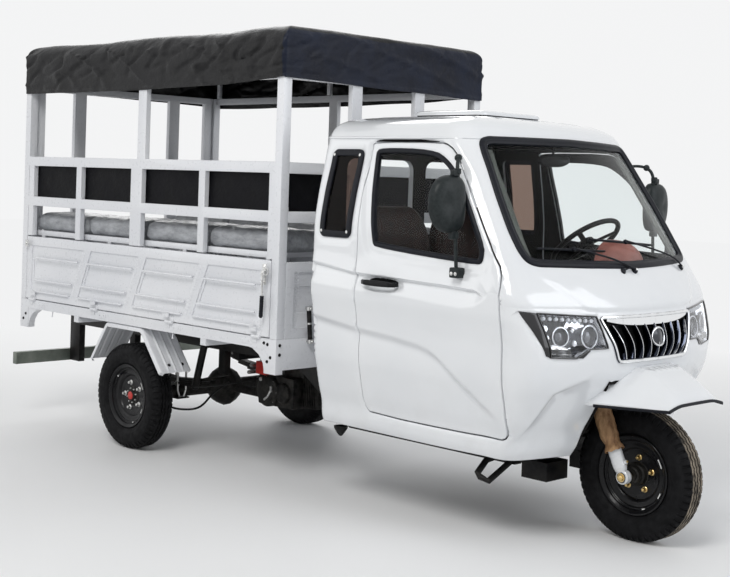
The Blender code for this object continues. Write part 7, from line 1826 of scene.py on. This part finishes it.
def build_canopy():
    """One continuous cloth: skirts with a hem, rounded shoulders and a crown drawn over the hoops."""
    # half length, half width, middle and top of the cloth; its corner radius; the grid's step
    a, b, xc, top, rc, step = 1.1683, 0.7195, 1.162, 2.225, 0.014, 0.015
    nx, ny, na = int(2 * (a - rc) / step), int(2 * (b - rc) / step), 7

    def plan(d):
        """The outline in plan, moved in by d, and its outward normals."""
        A, B = a - d, b - d
        r = rc + 0.6 * d
        P, N = [], []
        for k, (sx, sy) in enumerate(((1, 1), (-1, 1), (-1, -1), (1, -1))):
            cx, cy = sx * (A - r), sy * (B - r)
            for i in range(na):
                t = math.pi / 2 * (k + i / na)
                P.append((cx + r * math.cos(t), cy + r * math.sin(t)))
                N.append((math.cos(t), math.sin(t)))
            t = math.pi / 2 * (k + 1)
            n = nx if k in (0, 2) else ny
            nx2, ny2 = ((-1, 1), (-1, -1), (1, -1), (1, 1))[k]
            ex, ey = nx2 * (A - r), ny2 * (B - r)
            p0 = np.array([cx + r * math.cos(t), cy + r * math.sin(t)])
            p1 = np.array([ex + r * math.cos(t), ey + r * math.sin(t)])
            for i in range(n):
                P.append(tuple(p0 + (p1 - p0) * i / n))
                N.append((math.cos(t), math.sin(t)))
        return np.array(P), np.array(N)

    P0, N0 = plan(0.0)
    arc = np.r_[0, np.cumsum(np.linalg.norm(np.diff(P0, axis=0), axis=1))]
    n = len(P0)
    R = 0.052 + 0.044 * N0[:, 1] ** 2
    x = P0[:, 0] + xc
    side = np.abs(N0[:, 1])
    side_hem = np.interp(x, (0.0, 0.5, 1.2, 1.9, 2.25, 2.33), (1.944, 1.938, 1.940, 1.950, 1.966, 1.976))
    hem = np.where(side > 0.7, side_hem, 1.962 + 0.010 * P0[:, 1] / -b)
    hem += np.array([0.0045 * noise.noise(Vector((q * 2.6, 5.1, 0.3))) for q in arc])
    rows = []
    span = top - R - hem
    levels = [0, 0.002, 0.09, 0.095] + list(np.linspace(0.14, 1.0, 17))
    for f in levels:
        z = hem + span * f
        rows.append((P0.copy(), z, f))
    for w in np.linspace(0, math.pi / 2, 9)[1:]:
        d = R * (1 - math.cos(w))
        rows.append((d, top - R + R * math.sin(w), 1.0 + w))
    for d in np.concatenate([np.linspace(0.11, 0.2, 5), np.linspace(0.225, b - 0.001, 22)]):
        rows.append((np.full(n, d), np.full(n, top), 3.0))
    # inset tables: each column's place at any inset
    ds = np.linspace(0, b - 0.001, 90)
    table = np.array([plan(d)[0] for d in ds])
    V = []
    for pos, z, f in rows:
        if f > 1.0:
            d = pos
            if f >= 3.0:
                d = np.maximum(d, R)
            i = np.clip(d / ds[1], 0, len(ds) - 1.001)
            k = i.astype(int)
            t = (i - k)[:, None]
            col = np.arange(n)
            pos = table[k, col] * (1 - t) + table[k + 1, col] * t
        y = pos[:, 1]
        X = pos[:, 0] + xc
        end = a - np.abs(pos[:, 0])
        crown = 0.022 * (1 - (y / b) ** 2) * smoothstep(0.0, 0.30, end)
        lift = crown * (0 if f < 1.0 else min(1.0, (f - 1.0) / 1.0))
        # the cloth dips a little between the hoops and is drawn over them
        dip = 0.0
        if f > 1.2:
            bows = np.array([0.093, 1.162, 2.231])
            near = np.min(np.abs(X[:, None] - bows), axis=1)
            dip = -0.010 * smoothstep(0.03, 0.45, near) * smoothstep(0.0, 0.25, end)
            dip += np.array([0.004 * noise.noise(Vector((p * 3.1, q * 4.3, 1.0))) for p, q in zip(X, y)])
        W = np.zeros(n)
        if f < 2.0:
            amp = 0.25 + 0.75 * min(1.0, f * 1.4) if f <= 1.0 else max(0.0, 1.0 - (f - 1.0) / 1.3)
            soft = np.where(N0[:, 0] > 0.5, 0.55, 1.0)
            for i in range(n):
                s, zz = arc[i], float(z[i])
                g = noise.noise(Vector((s * 1.1, zz * 2.0, 9.0))) * 0.8
                q1 = noise.noise(Vector((s * 2.6 + zz * 6.5 + g, zz * 4.0 - s * 0.7, 3.0)))
                q2 = noise.noise(Vector((s * 5.5 - zz * 9.0, zz * 7.0 + s * 1.3, 8.0)))
                q3 = noise.noise(Vector((s * 17 + zz * 20, zz * 26, 1.0)))
                ridge = (1 - abs(q1) * 2.6) ** 3 if abs(q1) < 0.385 else 0.0
                ridge2 = (1 - abs(q2) * 3.0) ** 3 if abs(q2) < 0.33 else 0.0
                W[i] = (0.017 * ridge - 0.012 * ridge2 + 0.008 * q1 + 0.002 * q3) * amp * soft[i]
        if f < 0.0925 and f > 0.0005:
            W = W + 0.0012
        low = np.where(z < 2.012, -0.0008, -0.016)
        W = np.clip(W, low, 0.016)
        out = pos + N0 * W[:, None]
        V.append(np.stack([out[:, 0] + xc, out[:, 1], z + lift + dip], 1))
    V = np.array(V)
    r = len(V)
    o = mk("canopy_cloth", V.reshape(-1, 3), lattice(r, n, True), [CANVAS], 0)
    bm = bmesh.new()
    bm.from_mesh(o.data)
    top_edges = [e for e in bm.edges if e.is_boundary and e.verts[0].co.z > 2.2]
    bmesh.ops.remove_doubles(bm, verts=list({v for e in top_edges for v in e.verts}), dist=0.004)
    bmesh.ops.holes_fill(bm, edges=[e for e in bm.edges if e.is_boundary and e.verts[0].co.z > 2.2], sides=0)
    bmesh.ops.recalc_face_normals(bm, faces=bm.faces)
    area = sum(f.calc_area() for f in bm.faces)
    bm.to_mesh(o.data)
    bm.free()
    modify(o, "SOLIDIFY", thickness=0.0022, offset=-1)
    bake(o, 60)
    place(o, "chassis", ("canopy",))
    return o, area


canopy, canopy_area = build_canopy()


def infill(name, p0, p1, inward, node):
    """A sheet laced behind the slats: it bellies between them and puckers at its edges."""
    low, high, flat_tall, slack = 1.312, 1.543, 0.236, 1.02
    p0, p1 = np.array(p0), np.array(p1)
    L = np.linalg.norm(p1 - p0)
    nx, nz = int(L / 0.014), 18
    V = []
    inward = np.array(inward, float)
    for i in range(nx + 1):
        u = i / nx
        for k in range(nz + 1):
            v = k / nz
            s = u * L
            edge = min(1.0, 4 * v, 4 * (1 - v))
            w = 0.0035 + 0.0045 * noise.noise(Vector((s * 4.0, v * 1.2, 2.0)))
            w += 0.003 * noise.noise(Vector((s * 11.0 + v * 2.5, v * 3.0, 6.0)))
            w = max(0.0005, w * (0.35 + 0.65 * edge))
            z = low + (high - low) * v + (0.004 * noise.noise(Vector((s * 6, 3, v))) if 0 < k < nz else 0)
            V.append(p0 + (p1 - p0) * u + inward * w + np.array([0, 0, z]))
    o = mk(name, V, lattice(nx + 1, nz + 1), [SHEET], 0)
    modify(o, "SOLIDIFY", thickness=0.0018, offset=0)
    bake(o, 60)
    place(o, "chassis", (node,))


for s, w in SIDES:
    infill(f"infill_{w}", (0.052, 0.6815 * s, 0), (2.272, 0.6815 * s, 0), (0, -s, 0), f"infill_sheet_{w}")
infill("infill_front", (2.2925, -0.632, 0), (2.2925, 0.632, 0), (-1, 0, 0), "infill_sheet_front")

# ---------------------------------------------------------------- padded pieces


def puff(o, voxel, cap, pressure=3.0):
    """Swells a pad with cloth simulation, within a cap."""
    modify(o, "REMESH", mode="VOXEL", voxel_size=voxel)
    bake(o, 0)
    start = np.empty(len(o.data.vertices) * 3)
    o.data.vertices.foreach_get("co", start)
    c = modify(o, "CLOTH").settings
    last_frame = 20
    c.quality = 4
    c.use_pressure = True
    c.uniform_pressure_force = pressure
    c.effector_weights.gravity = 0
    c.tension_stiffness = c.compression_stiffness = 12
    c.bending_stiffness = 0.6
    o.modifiers[-1].point_cache.frame_start = 1
    o.modifiers[-1].point_cache.frame_end = last_frame
    for k in range(1, last_frame + 1):
        bpy.context.scene.frame_set(k)
    bake(o, 0)
    end = np.empty(len(start))
    o.data.vertices.foreach_get("co", end)
    d = (end - start).reshape(-1, 3)
    L = np.linalg.norm(d, axis=1)
    d *= np.minimum(1.0, cap / np.maximum(L, 1e-9))[:, None]
    o.data.vertices.foreach_set("co", (start.reshape(-1, 3) + d).ravel())
    bpy.context.scene.frame_set(1)
    bpy.context.view_layer.update()


def pad_shape(name, lo, hi, seg, material, crown, pull, edge):
    """A crowned closed pad whose sides pull in between its corners."""
    lo, hi = np.array(lo, float), np.array(hi, float)
    bm = bmesh.new()
    bmesh.ops.create_cube(bm, size=2.0)
    bmesh.ops.subdivide_edges(bm, edges=bm.edges[:], cuts=seg, use_grid_fill=True)
    size = (hi - lo) / 2
    mid = (hi + lo) / 2
    for v in bm.verts:
        q = np.array(v.co)
        # round the box near its edges
        e = np.minimum(edge / size, 0.9)
        inner = np.clip(q, -(1 - e), 1 - e)
        dlt = (q - inner) / e
        L = np.linalg.norm(dlt)
        if L > 1e-9:
            dlt = dlt * np.max(np.abs(dlt)) / L
        q = inner + dlt * e
        p = mid + q * size
        u, t, h = q
        p[2] += crown * (1 - abs(u) ** 4) * (1 - t * t) * max(h, 0)
        p[1] -= pull * (1 - u * u) * math.copysign(1, t) * abs(t) ** 3 * (0.4 + 0.6 * abs(h)) * 0.5
        v.co = p
    mesh = bpy.data.meshes.new(name)
    bm.to_mesh(mesh)
    bm.free()
    mesh.materials.append(material)
    for v in mesh.vertices:
        v.co.x -= MID
    o = bpy.data.objects.new(name, mesh)
    bpy.context.scene.collection.objects.link(o)
    return o


def sculpt(o, fn):
    """Moves each point along its normal by fn of its place."""
    co = np.empty(len(o.data.vertices) * 3)
    no = np.empty(len(co))
    o.data.vertices.foreach_get("co", co)
    o.data.vertices.foreach_get("normal", no)
    P = co.reshape(-1, 3) + [MID, 0, 0]
    N = no.reshape(-1, 3)
    D = np.array([fn(Vector(p)) for p in P])
    P = P + N * D[:, None] - [MID, 0, 0]
    o.data.vertices.foreach_set("co", P.ravel())
    o.data.update()
    o.data.shade_smooth()


def bench_cushions():
    """Four film-wrapped pads on each bench."""
    rear_end, pitch, gap, low, high = 0.060, 0.5505, 0.004, 1.1395, 1.231
    for s, w in SIDES:
        for k in range(4):
            x0 = rear_end + pitch * k
            y0, y1 = sorted((0.336 * s, 0.664 * s))
            o = pad_shape(f"bench_{w}_pad_{k + 1}", (x0, y0, low), (x0 + pitch - gap, y1, high), 22, FILM, 0.010,
                0.008, 0.032)
            puff(o, 0.010, 0.007)

            def crinkle(v, k=k):
                f = 0.0030 * (1 - abs(noise.noise(Vector((v.x * 9 + v.y * 5, v.y * 14, v.z * 18 + k)))) * 2.4)
                f += 0.0022 * noise.noise(Vector((v.x * 26, v.y * 24, v.z * 40)))
                f *= min(1.0, max(0.15, (v.z - 1.142) / 0.03))
                return min(f, 0.004)

            sculpt(o, crinkle)
            place(o, "chassis", (f"bench_cushion_{w}",))


bench_cushions()


def cab_seats():
    """Two base pads and two backs, rounded at the top, on a box in the near-black painted shade of the cab's inside.
    """
    base = Mesh()
    base.box((2.585, -0.525, 0.405), (2.985, 0.525, 0.775), 0, 0.02)
    place(base.make("cab_seat_base", INSIDE_SHADE), "chassis")
    for k, (y0, y1) in enumerate(((-0.530, -0.005), (0.005, 0.530))):
        pad = pad_shape(f"cab_seat_pad_{k + 1}", (2.680, y0, 0.780), (3.090, y1, 0.862), 18, SEAT, 0.014, 0.012,
            0.035)
        # the back narrows to a rounded top and leans back with a slight swell
        yc, hw = (y0 + y1) / 2, (y1 - y0) / 2 - 0.012
        back = pad_shape(
            f"cab_seat_back_{k + 1}", (2.600, yc - hw, 0.880), (2.690, yc + hw, 1.385), 18, SEAT, 0.0, 0.0, 0.038,
        )
        for v in back.data.vertices:
            z = v.co.z
            t = max(0.0, (z - 1.20) / 0.185)
            v.co.y = yc + (v.co.y - yc) * (1 - 0.42 * t * t)
            v.co.x += -0.035 * (z - 0.88) / 0.5 + 0.012 * math.sin((z - 0.88) * 7)
        for o in (pad, back):
            puff(o, 0.011, 0.008)
            o.data.shade_smooth()
            place(o, "chassis", ("cab_seat",))


cab_seats()


# ---------------------------------------------------------------- mudguards


def build_mudguards():
    """Pressed steel guards: a flat top under the floor and two straight legs, with ribs and a turned-in edge."""
    line = np.array([(1.421, 0.452), (1.256, 0.645), (1.232, 0.670), (1.195, 0.671), (0.930, 0.671), (0.900, 0.670),
        (0.880, 0.645), (0.747, 0.452)])
    step, inner_y, outer_y = 0.012, 0.512, 0.7105
    path = resample(chaikin(line, 2, False), step, False)
    T = np.gradient(path, axis=0)
    T /= np.linalg.norm(T, axis=1)[:, None]
    N = np.stack([T[:, 1], -T[:, 0]], 1) * -1
    if N[len(N) // 2, 1] < 0:
        N = -N
    ys = np.concatenate([[0.7105, 0.7105, 0.709, 0.7055], np.linspace(0.700, 0.525, 60),
        [0.518, 0.514, 0.512, 0.512]])
    lift = np.concatenate([[-0.022, -0.008, -0.003, -0.0008], np.zeros(60), [-0.001, -0.003, -0.008, -0.018]])
    for y0 in (0.565, 0.612, 0.659):
        lift = lift + 0.0055 * np.exp(-(((ys - y0) / 0.0055) ** 2)) * (np.abs(ys - y0) < 0.02)
    n, m = len(path), len(ys)
    for s, w in SIDES:
        V = []
        for k in range(n):
            end = min(k, n - 1 - k) * step
            inset = 0.020 * (1 - math.sqrt(max(0.0, 1 - (1 - min(end / 0.020, 1)) ** 2)))
            for y, h in zip(ys, lift):
                yy = max(inner_y + inset, min(y, outer_y - inset))
                hh = h * min(1.0, end / 0.03) if h > 0 else h
                V.append((path[k, 0] + N[k, 0] * hh, s * yy, path[k, 1] + N[k, 1] * hh))
        o = mk(f"mudguard_{w}_panel", V, lattice(n, m), [FRAME], 0)
        clean(o, merge=1e-5)
        modify(o, "SOLIDIFY", thickness=0.0016, offset=0)
        bake(o, 45)
        place(o, "chassis", (f"mudguard_{w}",))
        t = Mesh()
        for y in (0.555, 0.640):
            t.bolt((1.392, y * s, 0.489), (0.75, 0, 0.66), 0.006, 0.004, 0)
        for x in (1.16, 0.97):
            t.box((x - 0.015, 0.545 * s, 0.667), (x + 0.015, 0.690 * s, 0.677), 0, 0.001)
        place(t.make(f"mudguard_{w}_mounts", [BLACK], 40), "chassis")


build_mudguards()

# ---------------------------------------------------------------- doors' fittings, wipers, cab inside, hatch


def build_mirror(m, s):
    """Mirror shell and glass, and the rod that carries them on the door."""
    cy, cz, x0 = 0.766, 1.412, 3.440
    n = 48

    def ring(x, size):
        """The shell's egg-shaped outline, wider toward the outside."""
        P = []
        for i in range(n):
            t = 2 * math.pi * i / n
            c, q = math.cos(t), math.sin(t)
            out = abs(c) ** 0.9 * (1 + 0.05 * q) if c > 0 else -abs(c) ** 0.42 * 0.92
            q = math.copysign(abs(q) ** (0.95 if c > 0 else 0.75), q)
            P.append((x - 0.010 * max(0.0, out) ** 2, s * (cy + out * 0.100 * size), cz + 0.119 * q * size))
        return P

    rings = [(0.0260, 0.20), (0.0252, 0.42), (0.0225, 0.62), (0.0170, 0.79), (0.0095, 0.90), (0.0000, 0.965),
        (-0.0110, 0.992), (-0.0200, 1.0),
             (-0.0265, 0.99), (-0.0285, 0.970), (-0.0280, 0.945)]
    V = [p for dx, size in rings for p in ring(x0 + dx, size)]
    m.add(V, lattice(len(rings), n, True) + caps(len(rings), n)[:1], 0)
    m.add(ring(x0 - 0.0255, 0.945) + ring(x0 - 0.0245, 0.945), lattice(2, n, True) + caps(2, n), 1)
    # rod from the bracket under the window, past the shell, to the ball joint above it
    rx = x0 - 0.004
    route = [(rx + 0.012, s * 0.728, 1.142), (rx + 0.006, s * 0.730, 1.24), (rx, s * 0.730, 1.40),
        (rx, s * 0.728, 1.550), (rx - 0.010, s * 0.716, 1.590), (rx - 0.024, s * 0.690, 1.603)]
    m.tube(route, 0.0078, 14, 0, 2)
    for z in (1.282, 1.548):
        m.lathe([(-0.012, 0.0125), (-0.009, 0.0155), (0.009, 0.0155), (0.012, 0.0125)], (rx + 0.002, s * 0.729, z),
            (0, 0, 1), 24, 0)
    for z0, z1 in ((1.268, 1.300), (1.528, 1.552)):
        m.box((rx - 0.012, s * 0.722, z0), (rx + 0.012, s * 0.760, z1), 0, 0.005)
    # bracket with two bolts
    m.box((rx - 0.014, s * 0.700, 1.108), (rx + 0.036, s * 0.744, 1.152), 0, 0.009)
    for dx in (0.000, 0.022):
        m.bolt((rx + dx, s * 0.744, 1.126), (0, s, 0), 0.0052, 0.004, 2)
    # upper ball joint and its clip on the window frame
    m.lathe([(-0.016, 0.004), (-0.012, 0.011), (-0.004, 0.0155), (0.004, 0.0155), (0.012, 0.011), (0.016, 0.004)],
        (rx - 0.024, s * 0.697, 1.604), (0.5, -s, 0.5), 24, 0)
    m.tube([(rx - 0.026, s * 0.694, 1.606), (rx - 0.052, s * 0.660, 1.612), (rx - 0.086, s * 0.628, 1.606)], 0.007,
        14, 0, 2)


def door_handle(m, s):
    """Pull bar on two feet."""
    x0, x1, z = 2.893, 3.093, 1.050
    # pull bar: rounded section that swells in the middle and turns in at both ends
    st = np.linspace(0, 1, 33)
    V = []
    k, hw = 14, 0.0062
    for t in st:
        x = x0 + (x1 - x0) * t
        e = min(t, 1 - t) / 0.14
        lift = 0.732 - 0.012 * (1 - smoothstep(0, 1, min(e, 1)))
        hh = 0.0105 + 0.003 * math.sin(math.pi * t)
        for j in range(k):
            w = 2 * math.pi * j / k
            V.append((x, s * (lift + hw * math.sin(w)), z + hh * math.copysign(abs(math.cos(w)) ** 0.8, math.cos(w))))
    m.add(V, lattice(len(st), k, True) + caps(len(st), k), 0)
    for x in (x0 + 0.012, x1 - 0.012):
        m.box((x - 0.010, s * 0.692, z - 0.009), (x + 0.010, s * 0.722, z + 0.009), 0, 0.004)


for s, w in SIDES:
    m = Mesh()
    build_mirror(m, s)
    place(m.make(f"mirror_{w}_shell", [MIRROR_SHELL, CHROME, ZINC], 40), f"{w}_door",
        (f"mirror_{w}",))
    m = Mesh()
    door_handle(m, s)
    place(m.make(f"handle_{w}", [PLASTIC, ZINC], 40), f"{w}_door", (f"door_handle_{w}",))


def wiper(m, pivot, tip0, tip1, elbow):
    """Arm from its spindle to the middle of the blade, and the blade lying on the glass."""
    p, n = on_nose(*pivot, 0.004)
    m.lathe([(-0.014, 0.014), (0.0, 0.015), (0.006, 0.0135), (0.009, 0.011), (0.010, 0.004)], p, n, 24, 0)
    m.lathe([(0.009, 0.0065), (0.015, 0.006), (0.017, 0.003)], p, n, 6, 1)
    mid = ((tip0[0] + tip1[0]) / 2, (tip0[1] + tip1[1]) / 2)
    forearm = ((elbow[0] + mid[0]) / 2, (elbow[1] + mid[1]) / 2)
    arm = ((pivot, 0.014), (elbow, 0.020), (forearm, 0.021), (mid, 0.017))
    m.tube([on_nose(*place_yz, lift)[0] for place_yz, lift in arm], 0.0042, 10, 0, 2)
    blade = [np.array(tip0) * (1 - t) + np.array(tip1) * t for t in np.linspace(0, 1, 25)]
    pts, nrm = zip(*(on_nose(y, z) for y, z in blade))
    m.sweep(pts, nrm, np.array([(-1.2, -4), (-1.2, 1), (-4, 3), (-4, 7), (-2, 9), (2, 9), (4, 7), (4, 3), (1.2, 1),
        (1.2, -4)]) / 1000, False, 0)
    m.lathe([(-0.004, 0.011), (0.005, 0.010), (0.007, 0.006)], *on_nose(*mid, 0.010), 16, 0)


wp = Mesh()
wiper(wp, (-0.005, 1.147), (-0.51, 1.240), (-0.145, 1.228), (-0.12, 1.185))
wiper(wp, (0.460, 1.145), (-0.20, 1.277), (0.255, 1.248), (0.40, 1.185))
p, n = on_nose(-0.085, 1.147, 0.003)
wp.lathe([(-0.01, 0.013), (0.002, 0.0135), (0.006, 0.010), (0.007, 0.003)], p, n, 20, 0)
wp.tube([on_nose(-0.085, 1.147, 0.008)[0], on_nose(-0.060, 1.152, 0.014)[0], on_nose(-0.030, 1.157, 0.012)[0]],
    0.0035, 8, 0, 2)
place(wp.make("wipers", [SEAL, ZINC], 40), "chassis")


def cab_inside():
    """Instrument hood with its dial, rear-view mirror, gear lever and pillar trim."""
    m = Mesh()
    # instrument pod: a hooded dome behind the wheel, open to the driver
    c = np.array([3.600, 0.270, 1.140])
    n, k = 20, 36
    V = []
    for i in range(n + 1):
        f = i / n
        x = c[0] - 0.095 + 0.17 * f
        closing = max(0.0, f - 0.15) / 0.85
        w = 0.112 * math.sqrt(max(0.0, 1 - closing**2.6)) + 0.004
        h = 0.122 * math.sqrt(max(0.0, 1 - closing**2.2)) + 0.004
        for j in range(k):
            t = math.pi * j / (k - 1)
            V.append((x, c[1] + w * math.cos(t), c[2] - 0.004 + h * math.sin(t) ** 0.9))
    m.add(V, lattice(n + 1, k), 0)
    o = m.make("instrument_hood", [TERRA], 40)
    modify(o, "SOLIDIFY", thickness=0.005, offset=-1)
    bake(o, 40)
    place(o, "chassis")
    g = Mesh()
    g.lathe([(-0.012, 0.070), (0.0, 0.072), (0.004, 0.068), (0.002, 0.062), (-0.002, 0.060), (-0.003, 0.002)],
        (3.520, 0.270, 1.195), (-0.90, 0, 0.42), 48, 0)
    g.lathe([(-0.001, 0.058), (0.0005, 0.056), (0.001, 0.002)], (3.518, 0.270, 1.196), (-0.90, 0, 0.42), 48, 1)
    # rear-view mirror hung from the header
    g.tube([(3.350, 0.0, 1.700), (3.375, 0.0, 1.668), (3.372, -0.004, 1.640)], 0.006, 12, 0, 2)
    outline = [
        (0.105 * math.copysign(abs(math.cos(t)) ** 0.7, math.cos(t)),
        0.030 * math.copysign(abs(math.sin(t)) ** 0.8, math.sin(t)))
        for t in np.linspace(0, 2 * math.pi, 40, endpoint=False)
    ]
    layers = ((-0.010, 0.9), (-0.006, 1.0), (0.006, 1.0), (0.014, 0.82), (0.018, 0.4))
    V = [(3.372 + dx + 0.2 * z, y * (0.96 + 0.04 * size), 1.615 + z * size) for dx, size in layers for y,
        z in outline]
    g.add(V, lattice(len(layers), len(outline), True) + caps(len(layers), len(outline)), 0)
    # gear lever between the seats and the wheel
    g.tube([(3.26, -0.06, 0.40), (3.255, -0.055, 0.70), (3.20, -0.05, 0.92)], 0.010, 14, 0, 2)
    g.lathe([(-0.02, 0.014), (0.0, 0.022), (0.02, 0.024), (0.036, 0.016), (0.040, 0.004)], (3.20, -0.05, 0.92),
        (-0.25, 0.02, 1), 24, 0)
    place(g.make("cab_fittings", [PLASTIC, PEARL], 40), "chassis")
    # grey trim along the windscreen pillars, inside
    for s, w in SIDES:
        line = from_front([(0.560, 1.20), (0.545, 1.32), (0.527, 1.45), (0.510, 1.58), (0.490, 1.66)])
        line = resample(line, 0.03, False)
        P, N = surf(line) * (1, s, 1), normal(line) * (1, s, 1)
        t = Mesh()
        t.sweep(P - N * 0.030, N, np.array([(-30, -6), (-30, 2), (-20, 6), (20, 6), (30, 2), (30, -6)]) / 1000, False,
            0)
        place(t.make(f"pillar_trim_{w}", LINING, 40), "chassis")


cab_inside()


def build_steering_wheel():
    """Rim with a finger grip, hub and three spokes."""
    tilt = math.radians(50.0)
    ax = np.array([-math.cos(tilt), 0, math.sin(tilt)])
    c = np.array([3.330, 0.330, 1.235])
    e1 = np.array([0, 1.0, 0])
    e2 = np.cross(ax, e1)
    m = Mesh()
    n, k = 96, 16
    V = []
    for i in range(n):
        a = 2 * math.pi * i / n
        rad = e1 * math.cos(a) + e2 * math.sin(a)
        for j in range(k):
            t = 2 * math.pi * j / k
            grip = 0.0118 + 0.0011 * (0.5 + 0.5 * math.cos(a * 40)) * (math.cos(t) < 0.3)
            V.append(c + rad * (0.175 + grip * math.cos(t)) + ax * grip * math.sin(t))
    m.add(V, lattice(n, k, True, True), 0)
    m.lathe([(-0.028, 0.030), (-0.014, 0.038), (-0.004, 0.044), (0.006, 0.042), (0.012, 0.032), (0.014, 0.004)], c,
        ax, 40, 0)
    for a in (math.pi / 2, math.pi * 7 / 6, math.pi * 11 / 6):
        rad = e1 * math.cos(a) + e2 * math.sin(a)
        P = [c + rad * r - ax * (0.012 * (1 - r / 0.17)) for r in np.linspace(0.03, 0.172, 12)]
        m.sweep(P, np.broadcast_to(ax, (12, 3)), np.array([(-13, -2), (-12, 3), (-6, 5), (6, 5), (12, 3), (13, -2),
            (8, -5), (-8, -5)]) / 1000, False, 0)
    place(m.make("steering_wheel_rim", [PLASTIC], 40), "driver_wheel", ("steering_wheel",))


build_steering_wheel()


def build_hatch():
    """Lid of the roof hatch, in layers with a seal line between them."""
    m = Mesh()
    x0, x1, h = 2.700, 3.130, 0.230
    # (inset, height, corner radius) from the roof up
    layers = [(0.000, 1.7990, 0.045), (0.000, 1.8075, 0.045), (0.006, 1.8095, 0.043), (0.006, 1.8125, 0.043),
        (0.000, 1.8135, 0.045), (0.000, 1.8230, 0.045),
              (0.004, 1.8285, 0.045), (0.014, 1.8330, 0.042), (0.035, 1.8360, 0.036), (0.080, 1.8375, 0.03)]
    V = []
    for inset, z, r in layers:
        out = round_rect((x0 + inset, -h + inset), (x1 - inset, h - inset), r, 8)
        n = len(out)
        V += [(a, b, z + 0.002 * (1 - (b / h) ** 2)) for a, b in out]
    m.add(V, lattice(len(layers), n, True) + caps(len(layers), n), 0)
    # the two narrower steps between the base and the lid are the seal
    m.M = [1 if len(f) == 4 and f[0] // n in (1, 2) else 0 for f in m.F]
    place(m.make("roof_hatch_lid", [CAB, SEAL], 40), "chassis", ("roof_hatch",))


build_hatch()


def build_engine():
    """Worked engine: crankcase, barrel with fins, gearbox, pipe and levers."""
    m = Mesh()
    # crankcase, cover, finned barrel lying forward, gearbox and their pipes
    m.box((1.540, -0.150, 0.262), (1.830, 0.150, 0.430), 0, 0.022)
    m.box((1.700, -0.105, 0.430), (1.860, 0.105, 0.515), 0, 0.016)
    for s in (-1, 1):
        m.lathe([(0.0, 0.085), (0.022, 0.084), (0.034, 0.070), (0.038, 0.030), (0.040, 0.003)],
            (1.640, 0.148 * s, 0.345), (0, s, 0), 40, 0)
        m.lathe([(0.0, 0.055), (0.016, 0.054), (0.024, 0.044), (0.026, 0.003)], (1.755, 0.148 * s, 0.345), (0, s, 0),
            32, 0)
        for t in np.linspace(0, 2 * math.pi, 8, endpoint=False):
            m.bolt((1.640 + 0.076 * math.cos(t), 0.168 * s, 0.345 + 0.076 * math.sin(t)), (0, s, 0), 0.0045, 0.005, 1,
                False)
    for k in range(8):
        x = 1.838 + 0.014 * k
        m.box((x, -0.088, 0.275), (x + 0.005, 0.088, 0.470), 0, 0.003)
    m.box((1.830, -0.062, 0.295), (1.955, 0.062, 0.448), 0, 0.012)
    m.rod((1.480, 0, 0.290), (1.545, 0, 0.300), 0.040, 32, 0)
    m.box((1.482, -0.120, 0.300), (1.545, 0.120, 0.400), 0, 0.014)
    # exhaust pipe, a red relay box, the gear cable's lever and three cable stops
    m.tube([(1.90, 0.05, 0.30), (1.95, 0.10, 0.262), (1.86, 0.165, 0.262), (1.60, 0.180, 0.270),
        (1.50, 0.183, 0.290)], 0.019, 20, 2, 2)
    m.box((1.560, -0.186, 0.430), (1.640, -0.110, 0.500), 3, 0.006)
    m.tube([(1.640, -0.188, 0.300), (1.670, -0.190, 0.320), (1.690, -0.188, 0.352)], 0.006, 10, 1, 1)
    m.box((1.684, -0.192, 0.346), (1.700, -0.182, 0.378), 1, 0.003)
    for x, z in ((1.52, 0.47), (1.60, 0.405), (1.50, 0.43)):
        m.rod((x, -0.13, z), (x, -0.185, z), 0.011, 16, 1)
        m.bolt((x, -0.185, z), (0, -1, 0), 0.007, 0.005, 1)
    place(m.make("engine_parts", [IRON, ZINC, BLACK, RED], 35), "chassis", ("engine_block",))


build_engine()


def under_parts():
    """Brake linkage, spring plates, shock absorbers and rubber mounts under the box."""
    m = Mesh()
    # brake lever, rod and cable; the spring's two clamps and plate; shock absorber
    for s in (-1, 1):
        m.tube([(1.085, 0.470 * s, 0.330), (1.18, 0.468 * s, 0.352), (1.235, 0.466 * s, 0.356)], 0.007, 10, 1, 1)
        m.box((1.225, 0.458 * s, 0.344), (1.245, 0.474 * s, 0.370), 1, 0.003)
        m.tube([(1.24, 0.466 * s, 0.360), (1.36, 0.430 * s, 0.345), (1.48, 0.33 * s, 0.372), (1.56, 0.15 * s, 0.40)],
            0.0045, 8, 2, 3)
        for dx in (-0.045, 0.045):
            m.tube([(1.065 + dx, 0.312 * s, 0.415), (1.065 + dx, 0.312 * s, 0.255), (1.065 + dx, 0.368 * s, 0.255),
                (1.065 + dx, 0.368 * s, 0.415)], 0.006, 10, 1, 1)
        m.box((1.000, 0.300 * s, 0.247), (1.130, 0.380 * s, 0.255), 0, 0.002)
        m.rod((1.30, 0.395 * s, 0.33), (1.38, 0.400 * s, 0.58), 0.020, 20, 0)
        m.rod((1.38, 0.400 * s, 0.56), (1.405, 0.402 * s, 0.64), 0.011, 16, 1)
        # ribbed mount of the cab's rear corner
        m.lathe([(0.0, 0.033), (0.010, 0.032), (0.030, 0.020), (0.045, 0.008), (0.048, 0.001)],
            (2.625, 0.560 * s, 0.352), (0, 0, -1), 28, 2)
    place(m.make("under_parts", [BLACK, ZINC, HOSE], 35), "chassis")


under_parts()
path = chaikin(np.array([
    (0.960, -0.380, 0.205), (0.985, -0.310, 0.172), (1.060, -0.302, 0.172), (1.180, -0.300, 0.190),
    (1.245, -0.290, 0.222), (1.275, -0.250, 0.290),
    (1.330, -0.180, 0.350),
]), 3, False)
hose_diameter = 0.012
hose = Mesh().tube(path, hose_diameter / 2, 12, 0).make("brake_hose", [HOSE], 40)
place(hose, "chassis")

bpy.context.view_layer.update()
